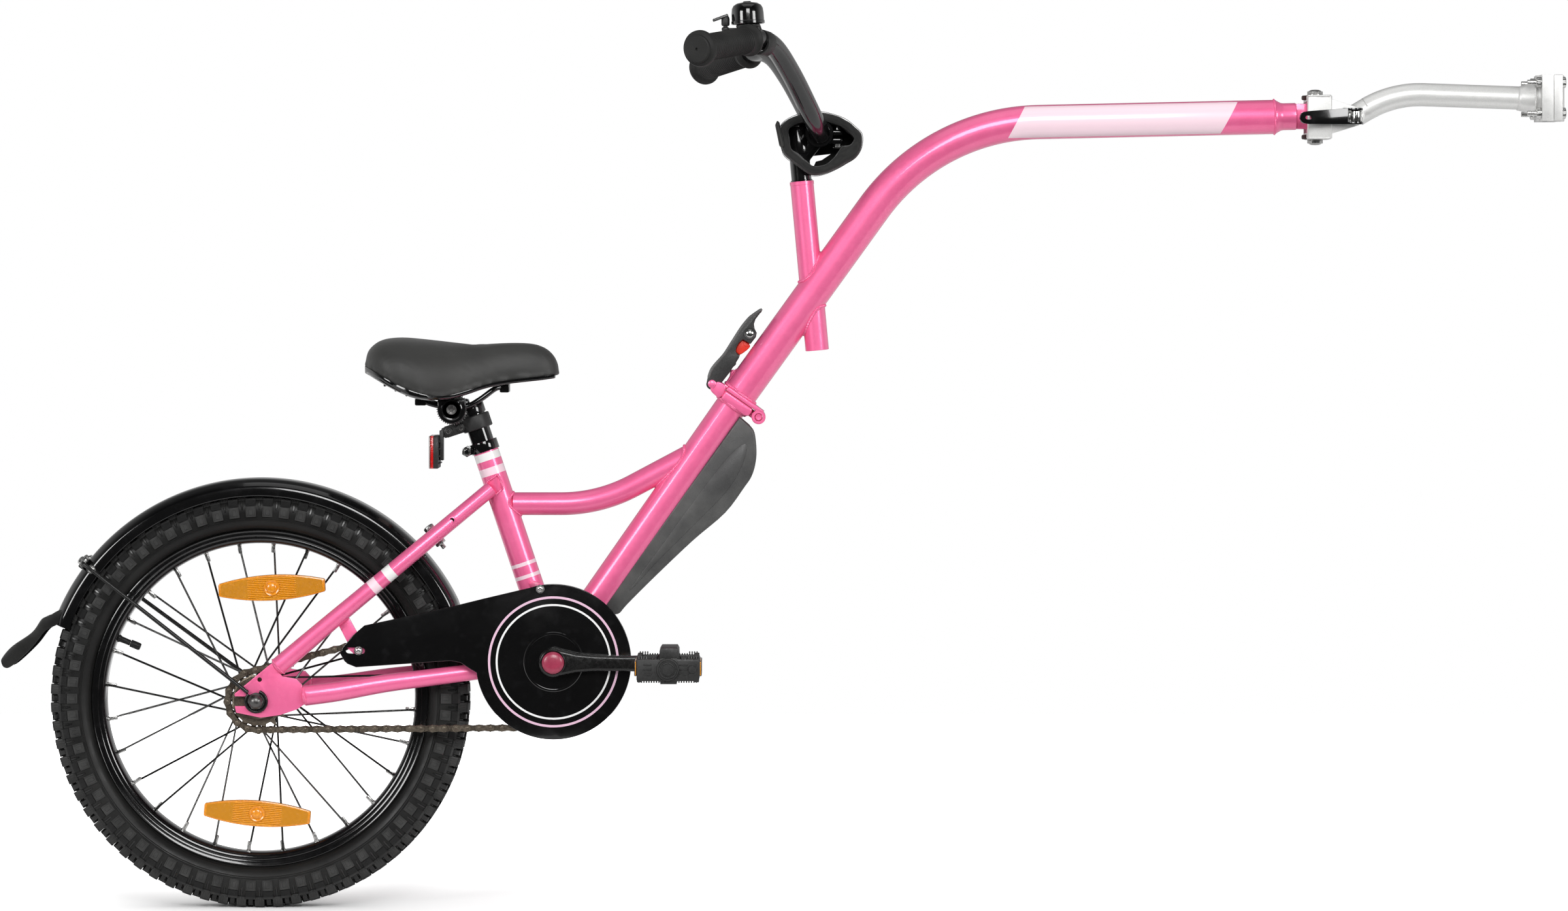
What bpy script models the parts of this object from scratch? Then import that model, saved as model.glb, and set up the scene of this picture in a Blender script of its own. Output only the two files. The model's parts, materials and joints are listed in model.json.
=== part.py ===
# Child bike trailer: a one-wheel trailer bike with a folding boom, at real size.
# Metres, +Z up, +X towards the bicycle that tows it, -Y is the chain side.
# While modelling, x is measured from the wheel axle and z from the ground.
# The last lines slide the whole model so that its origin lies under its middle.

from math import acos, atan2, cos, degrees, pi, radians, sin, sqrt, tan

import bmesh
import bpy
from mathutils import Matrix, Vector

for old in list(bpy.data.objects):
    bpy.data.objects.remove(old)

# Driving sizes: general
gap = 0.0003               # between pieces that touch
pivot_gap = 0.0003         # round pins that turn

# Driving sizes: wheel
tyre_outer_radius = 0.23125
tyre_width = 0.054
lug_count = 70
lug_height = 0.0042
rim_outer_radius = 0.1855
rim_inner_radius = 0.1705
rim_width = 0.034
spoke_count = 28
rim_segments = 28
spoke_radius = 0.0009
spoke_side_step = 0.0010   # spokes that cross pass each other by this much, each way
hub_barrel_radius = 0.0135
flange_radius = 0.024
flange_spread = 0.028      # flange centre to the wheel's mid-plane
flange_thickness = 0.0040
hub_neck_radius = 0.0105
hub_end_length = 0.009     # hub end outside its far flange
cone_radius = 0.0085
valve_radius = 0.0043
valve_length = 0.034
reflector_length = 0.118
reflector_height = 0.029
reflector_thickness = 0.010
reflector_y = -0.0105      # where the near side's spokes pass through them
axle_radius = 0.005
dropout_spacing = 0.110    # between the inner faces of the dropouts

# Driving sizes: drive
bracket_x = 0.3257         # bottom bracket, ahead of the wheel axle
bracket_z = 0.2740
sprocket_teeth = 16
chainring_teeth = 36
link_pitch = 0.0127
chain_line = 0.045
hub_drive_end = chain_line + 0.0065
hub_drive_face = 0.0315    # hub end beside the freewheel, from the mid-plane
chain_width = 0.0078
chain_plate = 0.0012
chain_plate_height = 0.0082
bracket_shell_radius = 0.020
bracket_shell_width = 0.068
bracket_axle_radius = 0.0085
crank_length = 0.127
crank_offset = 0.063       # middle of a crank arm, from the mid-plane
crank_thickness = 0.012
crank_boss_radius = 0.016
spindle_radius = 0.0050
guard_y = 0.0515           # inner face of the chain guard, from the mid-plane
guard_thickness = 0.0028
guard_radius = 0.0854
guard_hole_radius = 0.030
pedal_width = 0.078
pedal_depth = 0.072
pedal_height = 0.030

# Driving sizes: frame tubes
seat_tube_lean = radians(18.5)
seat_tube_length = 0.2530
seat_tube_radius = 0.0143
seatpost_radius = 0.0127
post_bore_depth = 0.150
down_tube_slope = radians(55.1)
down_tube_radius = 0.01745
hinge_reach = 0.3483       # bottom bracket to hinge pin, along the down tube
hinge_offset = 0.0316      # hinge pin from the down tube's axis
boom_radius = 0.01905
boom_slope = radians(54.2)
boom_bend_radius = 0.230
boom_corner_reach = 0.3732 # hinge end to the corner of the bend, along the lower leg
boom_upper_slope = radians(1.25)
boom_upper_length = 0.3760 # corner of the bend to the shoulder
neck_radius = 0.0150
neck_length = 0.0248
mid_tube_radius = 0.0127
dropout_thickness = 0.0060

# Driving sizes: hinge and latch
flange_width = 0.040
front_flange_thickness = 0.0052
rear_flange_thickness = 0.0100
hinge_pin_radius = 0.0040
knuckle_radius = 0.0078
latch_reach = 0.3490       # latch pin along the down tube
latch_offset = 0.0315      # latch pin from the down tube's axis
latch_pin_radius = 0.0030
lever_width = 0.026

# Driving sizes: steering bar
head_tube_radius = 0.0130
head_tube_length = 0.188
head_tube_lean = radians(5.25)
quill_radius = 0.0111
bar_radius = 0.0111
grip_length = 0.120

# Driving sizes: hitch
yaw_x = 1.1674
hitch_z = 0.8730
hitch_block_height = 0.0490
hitch_block_length = 0.0275
pitch_x = 1.2100
tow_arm_radius = 0.0127
clamp_height = 0.0510
clamp_z = 0.8940
clamp_bore_radius = 0.0136
half_block_back = 1.4085    # rear face of the clamp's fixed half
clamp_bore_x = half_block_back + 0.0190

# Places that follow from the sizes above
hub = Vector((0, 0, tyre_outer_radius))
bracket = Vector((bracket_x, 0, bracket_z))
across = Vector((0, 1, 0))
down_dir = Vector((cos(down_tube_slope), 0, sin(down_tube_slope)))
down_side = Vector((sin(down_tube_slope), 0, -cos(down_tube_slope)))
seat_dir = Vector((-sin(seat_tube_lean), 0, cos(seat_tube_lean)))
seat_side = Vector((cos(seat_tube_lean), 0, sin(seat_tube_lean)))


def at_down_tube(along, side, y=0.0):
    """A point given along the down tube from the bottom bracket and off its axis."""
    return bracket + down_dir * along + down_side * side + across * y


hinge = at_down_tube(hinge_reach, hinge_offset)
latch = at_down_tube(latch_reach, -latch_offset)

# Materials


def make_material(name, colour, roughness, metallic=0.0, coat=0.0):
    material = bpy.data.materials.new(name)
    material.use_nodes = True
    shader = material.node_tree.nodes["Principled BSDF"]
    shader.inputs["Base Color"].default_value = (*colour, 1.0)
    shader.inputs["Roughness"].default_value = roughness
    shader.inputs["Metallic"].default_value = metallic
    shader.inputs["Coat Weight"].default_value = coat
    material.diffuse_color = (*colour, 1.0)
    return material


finishes = {
    "pink": ((0.86, 0.09, 0.26), 0.28, 0.0, 1.0),
    "black_paint": ((0.015, 0.015, 0.016), 0.35, 0.0, 0.3),
    "black_plastic": ((0.022, 0.022, 0.023), 0.55, 0.0, 0.0),
    "rubber": ((0.020, 0.020, 0.021), 0.80, 0.0, 0.0),
    "silver": ((0.72, 0.72, 0.71), 0.32, 1.0, 0.0),
    "chrome": ((0.85, 0.85, 0.85), 0.08, 1.0, 0.0),
    "silver_paint": ((0.70, 0.70, 0.69), 0.40, 0.6, 0.2),
    "red_plastic": ((0.75, 0.02, 0.03), 0.30, 0.0, 0.3),
    "amber_plastic": ((0.95, 0.28, 0.02), 0.22, 0.0, 0.3),
    "leather": ((0.030, 0.030, 0.031), 0.50, 0.0, 0.0),
    "fabric": ((0.020, 0.020, 0.021), 0.90, 0.0, 0.0),
}

# Bodies: an empty stands at each joint and carries the pieces that move with it


class Body:
    def __init__(self, name, place, parent=None):
        self.place = Vector(place)
        self.empty = bpy.data.objects.new(name, None)
        self.empty.empty_display_size = 0.03
        bpy.context.collection.objects.link(self.empty)
        self.empty.location = self.place
        if parent:
            self.empty.parent = parent.empty
            self.empty.location = self.place - parent.place


def add_piece(name, mesh_data, body, finish):
    """Turns a bmesh drawn in place into a named object whose origin is its body's joint."""
    bmesh.ops.translate(mesh_data, verts=mesh_data.verts, vec=-body.place)
    bmesh.ops.dissolve_limit(mesh_data, angle_limit=radians(0.05), verts=mesh_data.verts,
                             edges=mesh_data.edges)
    bmesh.ops.recalc_face_normals(mesh_data, faces=mesh_data.faces)
    mesh = bpy.data.meshes.new(name)
    mesh_data.to_mesh(mesh)
    mesh_data.free()
    piece = bpy.data.objects.new(name, mesh)
    bpy.context.collection.objects.link(piece)
    piece.parent = body.empty
    mesh.materials.append(make_material(name, *finishes[finish]))
    mesh.shade_smooth()
    mesh.set_sharp_from_angle(angle=radians(35))
    return piece

# Shapes


def direction_frame(direction):
    """Two unit vectors square to a direction, the first as near to +Y as it can be."""
    direction = direction.normalized()
    first = across - direction * across.dot(direction)
    if first.length < 1e-4:
        first = Vector((0, 0, 1))
    first.normalize()
    return first, direction.cross(first)


def join_rings(mesh_data, first, second):
    count = len(first)
    for index in range(count):
        follow = (index + 1) % count
        mesh_data.faces.new((first[index], first[follow], second[follow], second[index]))


def turned(profile, base, direction, segments=16, closed=False):
    """Turns (radius, height) points round an axis; radius 0 closes an end at the axis."""
    mesh_data = bmesh.new()
    first, second = direction_frame(direction)
    direction = direction.normalized()
    rings = []
    for radius, height in profile:
        middle = base + direction * height
        if radius == 0:
            rings.append(mesh_data.verts.new(middle))
            continue
        ring = []
        for index in range(segments):
            angle = 2 * pi * index / segments
            ring.append(mesh_data.verts.new(middle + (first * cos(angle) + second * sin(angle)) * radius))
        rings.append(ring)
    pairs = list(zip(rings, rings[1:]))
    if closed:
        pairs.append((rings[-1], rings[0]))
    for one, other in pairs:
        if isinstance(one, list) and isinstance(other, list):
            join_rings(mesh_data, one, other)
            continue
        pole, ring = (other, one) if isinstance(one, list) else (one, other)
        for index in range(segments):
            mesh_data.faces.new((pole, ring[index], ring[(index + 1) % segments]))
    if not closed:
        for ring in (rings[0], rings[-1]):
            if isinstance(ring, list):
                mesh_data.faces.new(ring)
    return mesh_data


def rod(start, end, radius, segments=10, bevel=0.0, end_radius=None):
    """A round bar between two points, with its rims broken where a bevel is given."""
    start = Vector(start)
    end = Vector(end)
    length = (end - start).length
    last = radius if end_radius is None else end_radius
    if bevel:
        profile = [(radius - bevel, 0), (radius, bevel), (last, length - bevel), (last - bevel, length)]
    else:
        profile = [(radius, 0), (last, length)]
    return turned(profile, start, end - start, segments)


def sweep(points, radii, sides=16, flatness=1.0, closed=False):
    """A tube along points with a radius at each; flatness squeezes it sideways."""
    mesh_data = bmesh.new()
    points = [Vector(point) for point in points]
    if not isinstance(radii, (list, tuple)):
        radii = [radii] * len(points)
    rings = []
    previous = None
    for index, point in enumerate(points):
        before = points[index - 1] if index > 0 or closed else point
        after = points[(index + 1) % len(points)] if index < len(points) - 1 or closed else point
        direction = (after - before).normalized()
        if previous is None:
            first, _ = direction_frame(direction)
        else:
            first = (previous - direction * previous.dot(direction)).normalized()
        previous = first
        second = direction.cross(first)
        ring = []
        for side in range(sides):
            angle = 2 * pi * side / sides
            offset = first * cos(angle) * flatness + second * sin(angle)
            ring.append(mesh_data.verts.new(point + offset * radii[index]))
        rings.append(ring)
    for one, other in zip(rings, rings[1:]):
        join_rings(mesh_data, one, other)
    if closed:
        join_rings(mesh_data, rings[-1], rings[0])
    else:
        mesh_data.faces.new(rings[0])
        mesh_data.faces.new(rings[-1])
    return mesh_data


def extruded(outline, y_low, y_high, bevel=0.0):
    """A plate from an (x, z) outline, between two y values, with its rims broken."""
    mesh_data = bmesh.new()
    near = [mesh_data.verts.new((x, y_low, z)) for x, z in outline]
    far = [mesh_data.verts.new((x, y_high, z)) for x, z in outline]
    near_face = mesh_data.faces.new(near)
    far_face = mesh_data.faces.new(far)
    join_rings(mesh_data, near, far)
    if bevel:
        rims = set(near_face.edges) | set(far_face.edges)
        bmesh.ops.bevel(mesh_data, geom=list(rims), offset=bevel, segments=1, affect="EDGES",
                        clamp_overlap=True)
    return mesh_data


def block(centre, size, axes=None, bevel=0.0):
    """A box about a centre, along three axes, with its edges broken."""
    mesh_data = bmesh.new()
    bmesh.ops.create_cube(mesh_data, size=1.0)
    bmesh.ops.scale(mesh_data, verts=mesh_data.verts, vec=size)
    if bevel:
        bmesh.ops.bevel(mesh_data, geom=mesh_data.edges[:], offset=bevel, segments=1, affect="EDGES")
    if axes:
        turn = Matrix([[axis[row] for axis in axes] for row in range(3)])
        bmesh.ops.transform(mesh_data, verts=mesh_data.verts, matrix=turn.to_4x4())
    bmesh.ops.translate(mesh_data, verts=mesh_data.verts, vec=centre)
    return mesh_data


def combine(main, others, operation):
    """Cuts shapes out of a main one, or joins them to it, and returns the result."""
    bmesh.ops.recalc_face_normals(main, faces=main.faces)
    main_mesh = bpy.data.meshes.new("main")
    main.to_mesh(main_mesh)
    main.free()
    holder = bpy.data.objects.new("main", main_mesh)
    bpy.context.collection.objects.link(holder)
    helpers = []
    for other in others:
        bmesh.ops.recalc_face_normals(other, faces=other.faces)
        mesh = bpy.data.meshes.new("tool")
        other.to_mesh(mesh)
        other.free()
        tool = bpy.data.objects.new("tool", mesh)
        bpy.context.collection.objects.link(tool)
        helpers.append(tool)
        modifier = holder.modifiers.new("step", "BOOLEAN")
        modifier.operation = operation
        modifier.object = tool
    depsgraph = bpy.context.evaluated_depsgraph_get()
    result = bmesh.new()
    result.from_object(holder, depsgraph)
    for helper in [holder] + helpers:
        mesh = helper.data
        bpy.data.objects.remove(helper)
        bpy.data.meshes.remove(mesh)
    bmesh.ops.dissolve_degenerate(result, dist=1e-6, edges=result.edges)
    return result


def cut(main, *tools):
    return combine(main, tools, "DIFFERENCE")


def joined(main, *others):
    return combine(main, others, "UNION")


def arc(centre, radius, start, end, steps):
    """(x, z) points on an arc; angles in degrees, anticlockwise from +X."""
    points = []
    for index in range(steps + 1):
        angle = radians(start + (end - start) * index / steps)
        points.append((centre[0] + radius * cos(angle), centre[1] + radius * sin(angle)))
    return points


def smooth_path(points, steps):
    """Points on a smooth curve through the given ones."""
    points = [Vector(point) for point in points]
    ends = [points[0] * 2 - points[1]] + points + [points[-1] * 2 - points[-2]]
    path = []
    for index in range(1, len(ends) - 2):
        before, here, there, after = ends[index - 1:index + 3]
        for step in range(steps):
            t = step / steps
            path.append(0.5 * (2 * here + (there - before) * t
                               + (2 * before - 5 * here + 4 * there - after) * t * t
                               + (3 * here - before - 3 * there + after) * t ** 3))
    path.append(points[-1])
    return path

# The bodies of the trailer, root first

rear_frame = Body("rear_frame", (0, 0, 0))
wheel = Body("wheel_spin", hub, rear_frame)
sprocket = Body("sprocket_spin", hub, rear_frame)
crank = Body("crank_spin", bracket, rear_frame)
crank_angle = atan2(1018.3 - 1016, 1019.5 - 844)   # the near crank points just below forward
crank_dir = Vector((cos(crank_angle), 0, -sin(crank_angle)))
right_pedal_axle = bracket + crank_dir * crank_length
left_pedal_axle = bracket - crank_dir * crank_length
pedal_right = Body("pedal_right_spin", right_pedal_axle, crank)
pedal_left = Body("pedal_left_spin", left_pedal_axle, crank)

# Wheel


def tyre():
    """A hollow carcass, open at its beads, with lugs that alternate across its crown."""
    half = tyre_width / 2
    crown = tyre_outer_radius - lug_height
    middle = (crown + rim_outer_radius) / 2
    tall = (crown - middle) / sin(radians(58))
    outer = []
    for degree in (-56, -5, 58, 122, 185, 236):
        angle = radians(degree)
        outer.append((middle + tall * sin(angle), half * cos(angle)))
    wall = 0.0032
    inner = []
    for degree in (228, 135, 45, -48):
        angle = radians(degree)
        inner.append((middle + (tall - wall) * sin(angle), (half - wall) * cos(angle)))
    carcass = turned(outer + inner, hub, across, lug_count // 2, closed=True)
    crown_edge = half * cos(radians(58))
    lugs = bmesh.new()
    pitch = 2 * pi / lug_count
    for index in range(lug_count):
        side = 1 if index % 2 else -1
        corners = []
        for drop, spread in ((lug_height + 0.0022, 0.36), (0.0, 0.26)):
            for y, share in ((-0.0040, 1), (crown_edge - 0.0015, 1), (crown_edge - 0.0015, -1),
                             (-0.0040, -1)):
                shoulder = 0.0045 if drop == 0 and y > 0.01 else 0
                turn = pitch * (index + 1 + spread * share)
                radius = tyre_outer_radius - drop - shoulder
                corners.append(lugs.verts.new(hub + Vector((radius * cos(turn), side * y,
                                                            radius * sin(turn)))))
        lugs.faces.new(corners[0:4])
        lugs.faces.new(corners[4:8])
        join_rings(lugs, corners[0:4], corners[4:8])
    return joined(carcass, lugs)


def rim():
    """A box-section rim with a drop well, and a hole for the valve."""
    half = rim_width / 2
    edge = rim_outer_radius - 2 * gap
    profile = [(edge, half - 0.0022), (edge, half), (rim_inner_radius, half - 0.005),
               (rim_inner_radius, 0.005 - half), (edge, -half),
               (edge, 0.0022 - half), (edge - 0.0105, 0.005 - half), (edge - 0.0105, half - 0.005)]
    ring = turned(profile, hub, across, rim_segments, closed=True)
    hole = rod(hub + valve_dir * (rim_inner_radius - 0.01), hub + valve_dir * rim_outer_radius,
               valve_radius + gap, 8)
    return cut(ring, hole)


valve_angle = atan2(1386 - 976.5 - tyre_outer_radius * 1381.7, 182 - 399.85)
valve_dir = Vector((cos(valve_angle), 0, sin(valve_angle)))


def inner_tube():
    """The air tube in the tyre, with its valve through the rim."""
    middle = (tyre_outer_radius - lug_height + rim_outer_radius) / 2
    size = 0.0125
    section = []
    for index in range(5):
        angle = 2 * pi * index / 5
        section.append((middle + size * sin(angle), size * cos(angle)))
    ring = turned(section, hub, across, 14, closed=True)
    stem_end = rim_inner_radius - valve_length + 0.012
    valve = rod(hub + valve_dir * (middle - 0.010), hub + valve_dir * stem_end, valve_radius, 8)
    return joined(ring, valve)


def spoke_ends(index):
    """A spoke leaves its flange at a tangent and meets the rim near the mid-plane."""
    rim_angle = radians(8.2) + 2 * pi * index / spoke_count
    flange = flange_spread if index % 2 else -flange_spread
    lean = 1 if (index // 2) % 2 else -1
    flange_angle = rim_angle + lean * radians(62)
    inner = hub + Vector((cos(flange_angle), 0, sin(flange_angle))) * (flange_radius - 0.0025)
    inner.y = flange + lean * spoke_side_step
    reach = rim_inner_radius * cos(pi / rim_segments) - gap
    outer = hub + Vector((cos(rim_angle), 0, sin(rim_angle))) * reach
    outer.y = flange * 0.10 + lean * spoke_side_step
    return inner, outer


def wheel_hub():
    """Barrel, two flanges, and spokes that leave the flanges at a tangent."""
    side = flange_spread
    half = flange_thickness / 2
    end = side + hub_end_length
    bore = axle_radius + pivot_gap
    neck = hub_neck_radius
    profile = [(bore, -hub_drive_face), (neck, -hub_drive_face), (neck, -side - half),
               (flange_radius, -side - half),
               (flange_radius, half - side), (hub_barrel_radius, half - side),
               (hub_barrel_radius, side - half), (flange_radius, side - half),
               (flange_radius, side + half), (neck, side + half), (neck, end), (bore, end)]
    body = turned(profile, hub, across, 10, closed=True)
    spokes = []
    for index in range(spoke_count):
        inner, outer = spoke_ends(index)
        spokes.append(rod(inner, outer, spoke_radius, 3))
    return joined(body, *spokes)


def axle():
    """The fixed axle with its cones against the hub, and washers and acorn nuts outside."""
    inner_face = dropout_spacing / 2
    outer_face = inner_face + dropout_thickness
    radius = axle_radius

    def half(hub_end):
        return [(radius, hub_end + gap), (cone_radius, hub_end + gap), (cone_radius, inner_face - gap),
                (radius, inner_face - gap), (radius, outer_face + gap), (0.0095, outer_face + gap),
                (0.0095, outer_face + 0.0020), (0.0078, outer_face + 0.0020),
                (0.0078, outer_face + 0.0095), (0, outer_face + 0.0135)]

    profile = [(r, -y) for r, y in reversed(half(hub_drive_end))] + half(flange_spread + hub_end_length)
    return turned(profile, hub, across, 8)


def spoke_reflector(centre):
    """A flat reflector clipped between the spokes, curved to follow the rim."""
    outward = centre - hub
    outward.y = 0
    outward.normalize()
    along = outward.cross(across)
    body = block(centre, (reflector_length, reflector_thickness, reflector_height),
                 (along, across, outward), bevel=0.003)
    slots = []
    for index in range(spoke_count):
        inner, outer = spoke_ends(index)
        step = (outer - inner).normalized()
        nearest = inner + step * (centre - inner).dot(step)
        if (nearest - centre).length < reflector_length / 2:
            slots.append(rod(inner, outer + step * 0.01, spoke_radius + gap, 6))
    return cut(body, *slots)

# Drive


def pitch_radius(teeth):
    return link_pitch / (2 * sin(pi / teeth))


def toothed(centre, teeth, thickness, phase, y):
    """A toothed plate; each gap between teeth faces phase plus whole steps."""
    radius = pitch_radius(teeth)
    step = 2 * pi / teeth
    outline = []
    for index in range(teeth):
        angle = phase + step * index
        for share, reach in ((-0.24, -0.0046), (0.24, -0.0046), (0.50, 0.0036)):
            turn = angle + step * share
            outline.append((centre.x + (radius + reach) * cos(turn),
                            centre.z + (radius + reach) * sin(turn)))
    return extruded(outline, y - thickness / 2, y + thickness / 2)


def chain_path():
    """Straight runs and arcs round both toothed wheels, as a function of the length run."""
    small = pitch_radius(sprocket_teeth)
    large = pitch_radius(chainring_teeth)
    reach = bracket - hub
    distance = reach.length
    base = atan2(reach.z, reach.x)
    spread = acos((large - small) / distance)
    run = sqrt(distance ** 2 - (large - small) ** 2)

    def ring_point(centre, radius, angle):
        return Vector((centre.x + radius * cos(angle), 0, centre.z + radius * sin(angle)))

    top_angle = base + pi - spread
    large_wrap = 2 * pi - 2 * spread
    small_wrap = 2 * spread
    lengths = (run, large * large_wrap, run, small * small_wrap)
    total = sum(lengths)

    def place(length):
        length %= total
        if length < lengths[0]:
            start = ring_point(hub, small, top_angle)
            end = ring_point(bracket, large, top_angle)
            return start.lerp(end, length / lengths[0]), (end - start).normalized()
        length -= lengths[0]
        if length < lengths[1]:
            angle = top_angle - length / large
            return ring_point(bracket, large, angle), Vector((sin(angle), 0, -cos(angle)))
        length -= lengths[1]
        bottom_angle = top_angle - large_wrap
        if length < lengths[2]:
            start = ring_point(bracket, large, bottom_angle)
            end = ring_point(hub, small, bottom_angle)
            return start.lerp(end, length / lengths[2]), (end - start).normalized()
        length -= lengths[2]
        angle = bottom_angle - length / small
        return ring_point(hub, small, angle), Vector((sin(angle), 0, -cos(angle)))

    return place, lengths, total


def chain():
    """Pin blocks joined by two plates each, every other link on the outside.

    The inner links of the straight runs, where no tooth enters, are solid between their plates."""
    place, lengths, total = chain_path()
    count = 2 * round(total / link_pitch / 2)
    inside = chain_width / 2 - 2 * chain_plate - 0.0002
    half_height = chain_plate_height / 2
    half_block = 0.0024
    mesh_data = bmesh.new()
    sections = []
    for index in range(count):
        middle, tangent = place(total * (index + 0.5) / count)
        normal = Vector((-tangent.z, 0, tangent.x))
        for end in (-1, 1):
            outer_link = (index + (1 if end > 0 else 0)) % 2
            low = inside + (chain_plate if outer_link else 0)
            high = low + chain_plate
            rows = []
            for height in (-half_height, half_height):
                for y in (-high, -low, low, high):
                    point = middle + tangent * end * half_block + normal * height
                    rows.append(mesh_data.verts.new((point.x, y - chain_line, point.z)))
            sections.append(rows)
    solid = []
    for number in range(count):
        _, behind = place(total * (number - 0.5) / count)
        _, ahead = place(total * (number + 3.5) / count)
        solid.append(number % 2 == 1 and behind.dot(ahead) > 0.99999)
    for number in range(count):
        back = sections[2 * number]
        front = sections[2 * number + 1]
        following = sections[(2 * number + 2) % len(sections)]
        behind = (0, 3) if solid[number - 1] else (0, 1, 2, 3)
        forward = (3, 0) if solid[number] else (3, 2, 1, 0)
        for shift in (0, 4):
            mesh_data.faces.new([back[a + shift] for a in behind] + [front[a + shift] for a in forward])
        mesh_data.faces.new((back[0], back[4], front[4], front[0]))
        mesh_data.faces.new((back[3], back[7], front[7], front[3]))
        if not solid[number - 1]:
            mesh_data.faces.new((back[1], back[2], back[6], back[5]))
        if solid[number]:
            rings = [(0, 3, 7, 4)]
        else:
            mesh_data.faces.new((front[1], front[2], front[6], front[5]))
            rings = [(left, left + 1, left + 5, left + 4) for left in (0, 2)]
        for ring in rings:
            join_rings(mesh_data, [front[a] for a in ring], [following[a] for a in ring])
    loose = [vertex for vertex in mesh_data.verts if not vertex.link_faces]
    bmesh.ops.delete(mesh_data, geom=loose, context="VERTS")
    return mesh_data


def tooth_phase(centre, teeth, arc_number):
    """Turns a toothed wheel so that a gap faces the chain pin nearest its arc's middle."""
    place, lengths, total = chain_path()
    count = 2 * round(total / link_pitch / 2)
    middle = sum(lengths[:arc_number]) + lengths[arc_number] / 2
    index = round(middle * count / total - 0.5)
    point, _ = place(total * (index + 0.5) / count)
    return atan2(point.z - centre.z, point.x - centre.x)


freewheel_core_radius = 0.0215


def freewheel_sprocket():
    """The toothed ring on its ratchet body, which stands beside the hub on the axle."""
    plate = toothed(hub, sprocket_teeth, 0.0020, tooth_phase(hub, sprocket_teeth, 3), -chain_line)
    neck = hub_neck_radius
    wide = freewheel_core_radius
    core = turned([(neck, hub_drive_face + gap), (neck, chain_line - 0.0070), (wide, chain_line - 0.0070),
                   (wide, chain_line + 0.0055), (neck, chain_line + 0.0055), (neck, hub_drive_end)],
                  hub, -across, 12)
    bore = rod(hub - across * 0.070, hub - across * 0.020, axle_radius + pivot_gap, 16)
    return cut(joined(plate, core), bore)


def chainring():
    plate = toothed(bracket, chainring_teeth, 0.0022, tooth_phase(bracket, chainring_teeth, 1), -chain_line)
    return cut(plate, rod(bracket - across * 0.060, bracket - across * 0.030, crank_boss_radius + gap, 12))


def crank_arm(side, pedal_axle):
    """A tapered arm with a boss for the axle, and the pedal's spindle."""
    arm = (pedal_axle - bracket).normalized()
    turn = degrees(atan2(arm.z, arm.x))
    outline = arc((bracket.x, bracket.z), 0.0150, turn + 95, turn + 265, 4)
    outline += arc((pedal_axle.x, pedal_axle.z), 0.0115, turn - 92, turn + 92, 5)
    inner = crank_offset - crank_thickness / 2
    outer = crank_offset + crank_thickness / 2
    low, high = (inner, outer) if side > 0 else (-outer, -inner)
    plate = extruded(outline, low, high, bevel=0.0015)
    out = across * side
    boss_start = bracket_shell_width / 2 + 0.004
    boss = turned([(crank_boss_radius, 0), (crank_boss_radius, inner + 0.002 - boss_start)],
                  bracket + out * boss_start, out, 12)
    cap = turned([(0.0123, 0), (0.0123, 0.0045), (0.0100, 0.0062), (0, 0.0068)],
                 bracket + out * (outer - 0.001), out, 12)
    spindle_end = outer + pedal_width + 0.001
    spindle = rod(pedal_axle + out * (crank_offset), pedal_axle + out * spindle_end, spindle_radius, 8)
    bore = rod(bracket, bracket + out * (crank_offset + gap), bracket_axle_radius + gap, 12)
    return cut(joined(plate, boss, cap, spindle), bore)


def pedal(side, pedal_axle):
    """A moulded platform with four wells, and a barrel through it that turns on the spindle."""
    inner = crank_offset + crank_thickness / 2 + 0.0025
    outer = inner + pedal_width
    out = across * side
    middle = pedal_axle + out * (inner + outer) / 2
    body = block(middle, (pedal_depth, pedal_width, pedal_height), bevel=0.004)
    well = ((pedal_depth / 2 - 0.011 - 0.0135), (pedal_width - 0.033) / 2)
    wells = []
    for x in (-1, 1):
        for y in (-1, 1):
            place = Vector((x * (0.0135 + well[0] / 2), y * (0.0055 + well[1] / 2), 0))
            wells.append(block(middle + place, (well[0], well[1], 0.06)))
    barrel = turned([(0.0160, 0), (0.0160, 0.008), (0.0125, 0.014), (0.0125, pedal_width + 0.003),
                     (0, pedal_width + 0.005)],
                    pedal_axle + out * inner, out, 10)
    sides = 8
    bore = rod(pedal_axle + out * (inner - 0.01), pedal_axle + out * (outer - 0.0005 + 0.001),
               (spindle_radius + pivot_gap) / cos(pi / sides), sides)
    return cut(joined(cut(body, *wells), barrel), bore)


def bracket_axle():
    half = crank_offset
    radius = bracket_axle_radius
    return turned([(radius - 0.001, -half), (radius, -half + 0.001), (radius, half - 0.001),
                   (radius - 0.001, half)], bracket, across, 12)

# Rear frame


def filleted(points, radius, steps):
    """A path through corner points, with each inner corner rounded to a bend radius."""
    points = [Vector(point) for point in points]
    path = [points[0]]
    for before, corner, after in zip(points, points[1:], points[2:]):
        back = (before - corner).normalized()
        front = (after - corner).normalized()
        half = back.angle(front) / 2
        reach = radius / tan(half)
        centre = corner + (back + front).normalized() * (radius / sin(half))
        start = corner + back * reach - centre
        end = corner + front * reach - centre
        for step in range(steps + 1):
            path.append(centre + start.normalized().slerp(end.normalized(), step / steps) * radius)
    path.append(points[-1])
    return path


def shell_space():
    half = bracket_shell_width / 2 + 0.02
    return rod(bracket - across * half, bracket + across * half, bracket_shell_radius + gap, 14)


def bracket_shell():
    half = bracket_shell_width / 2
    outer = bracket_shell_radius
    seat = bracket_axle_radius + pivot_gap
    cup = 0.009
    profile = [(seat, -half), (outer, -half), (outer, half), (seat, half), (seat, half - cup),
               (0.015, half - cup), (0.015, cup - half), (seat, cup - half)]
    return turned(profile, bracket, across, 14, closed=True)


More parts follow.
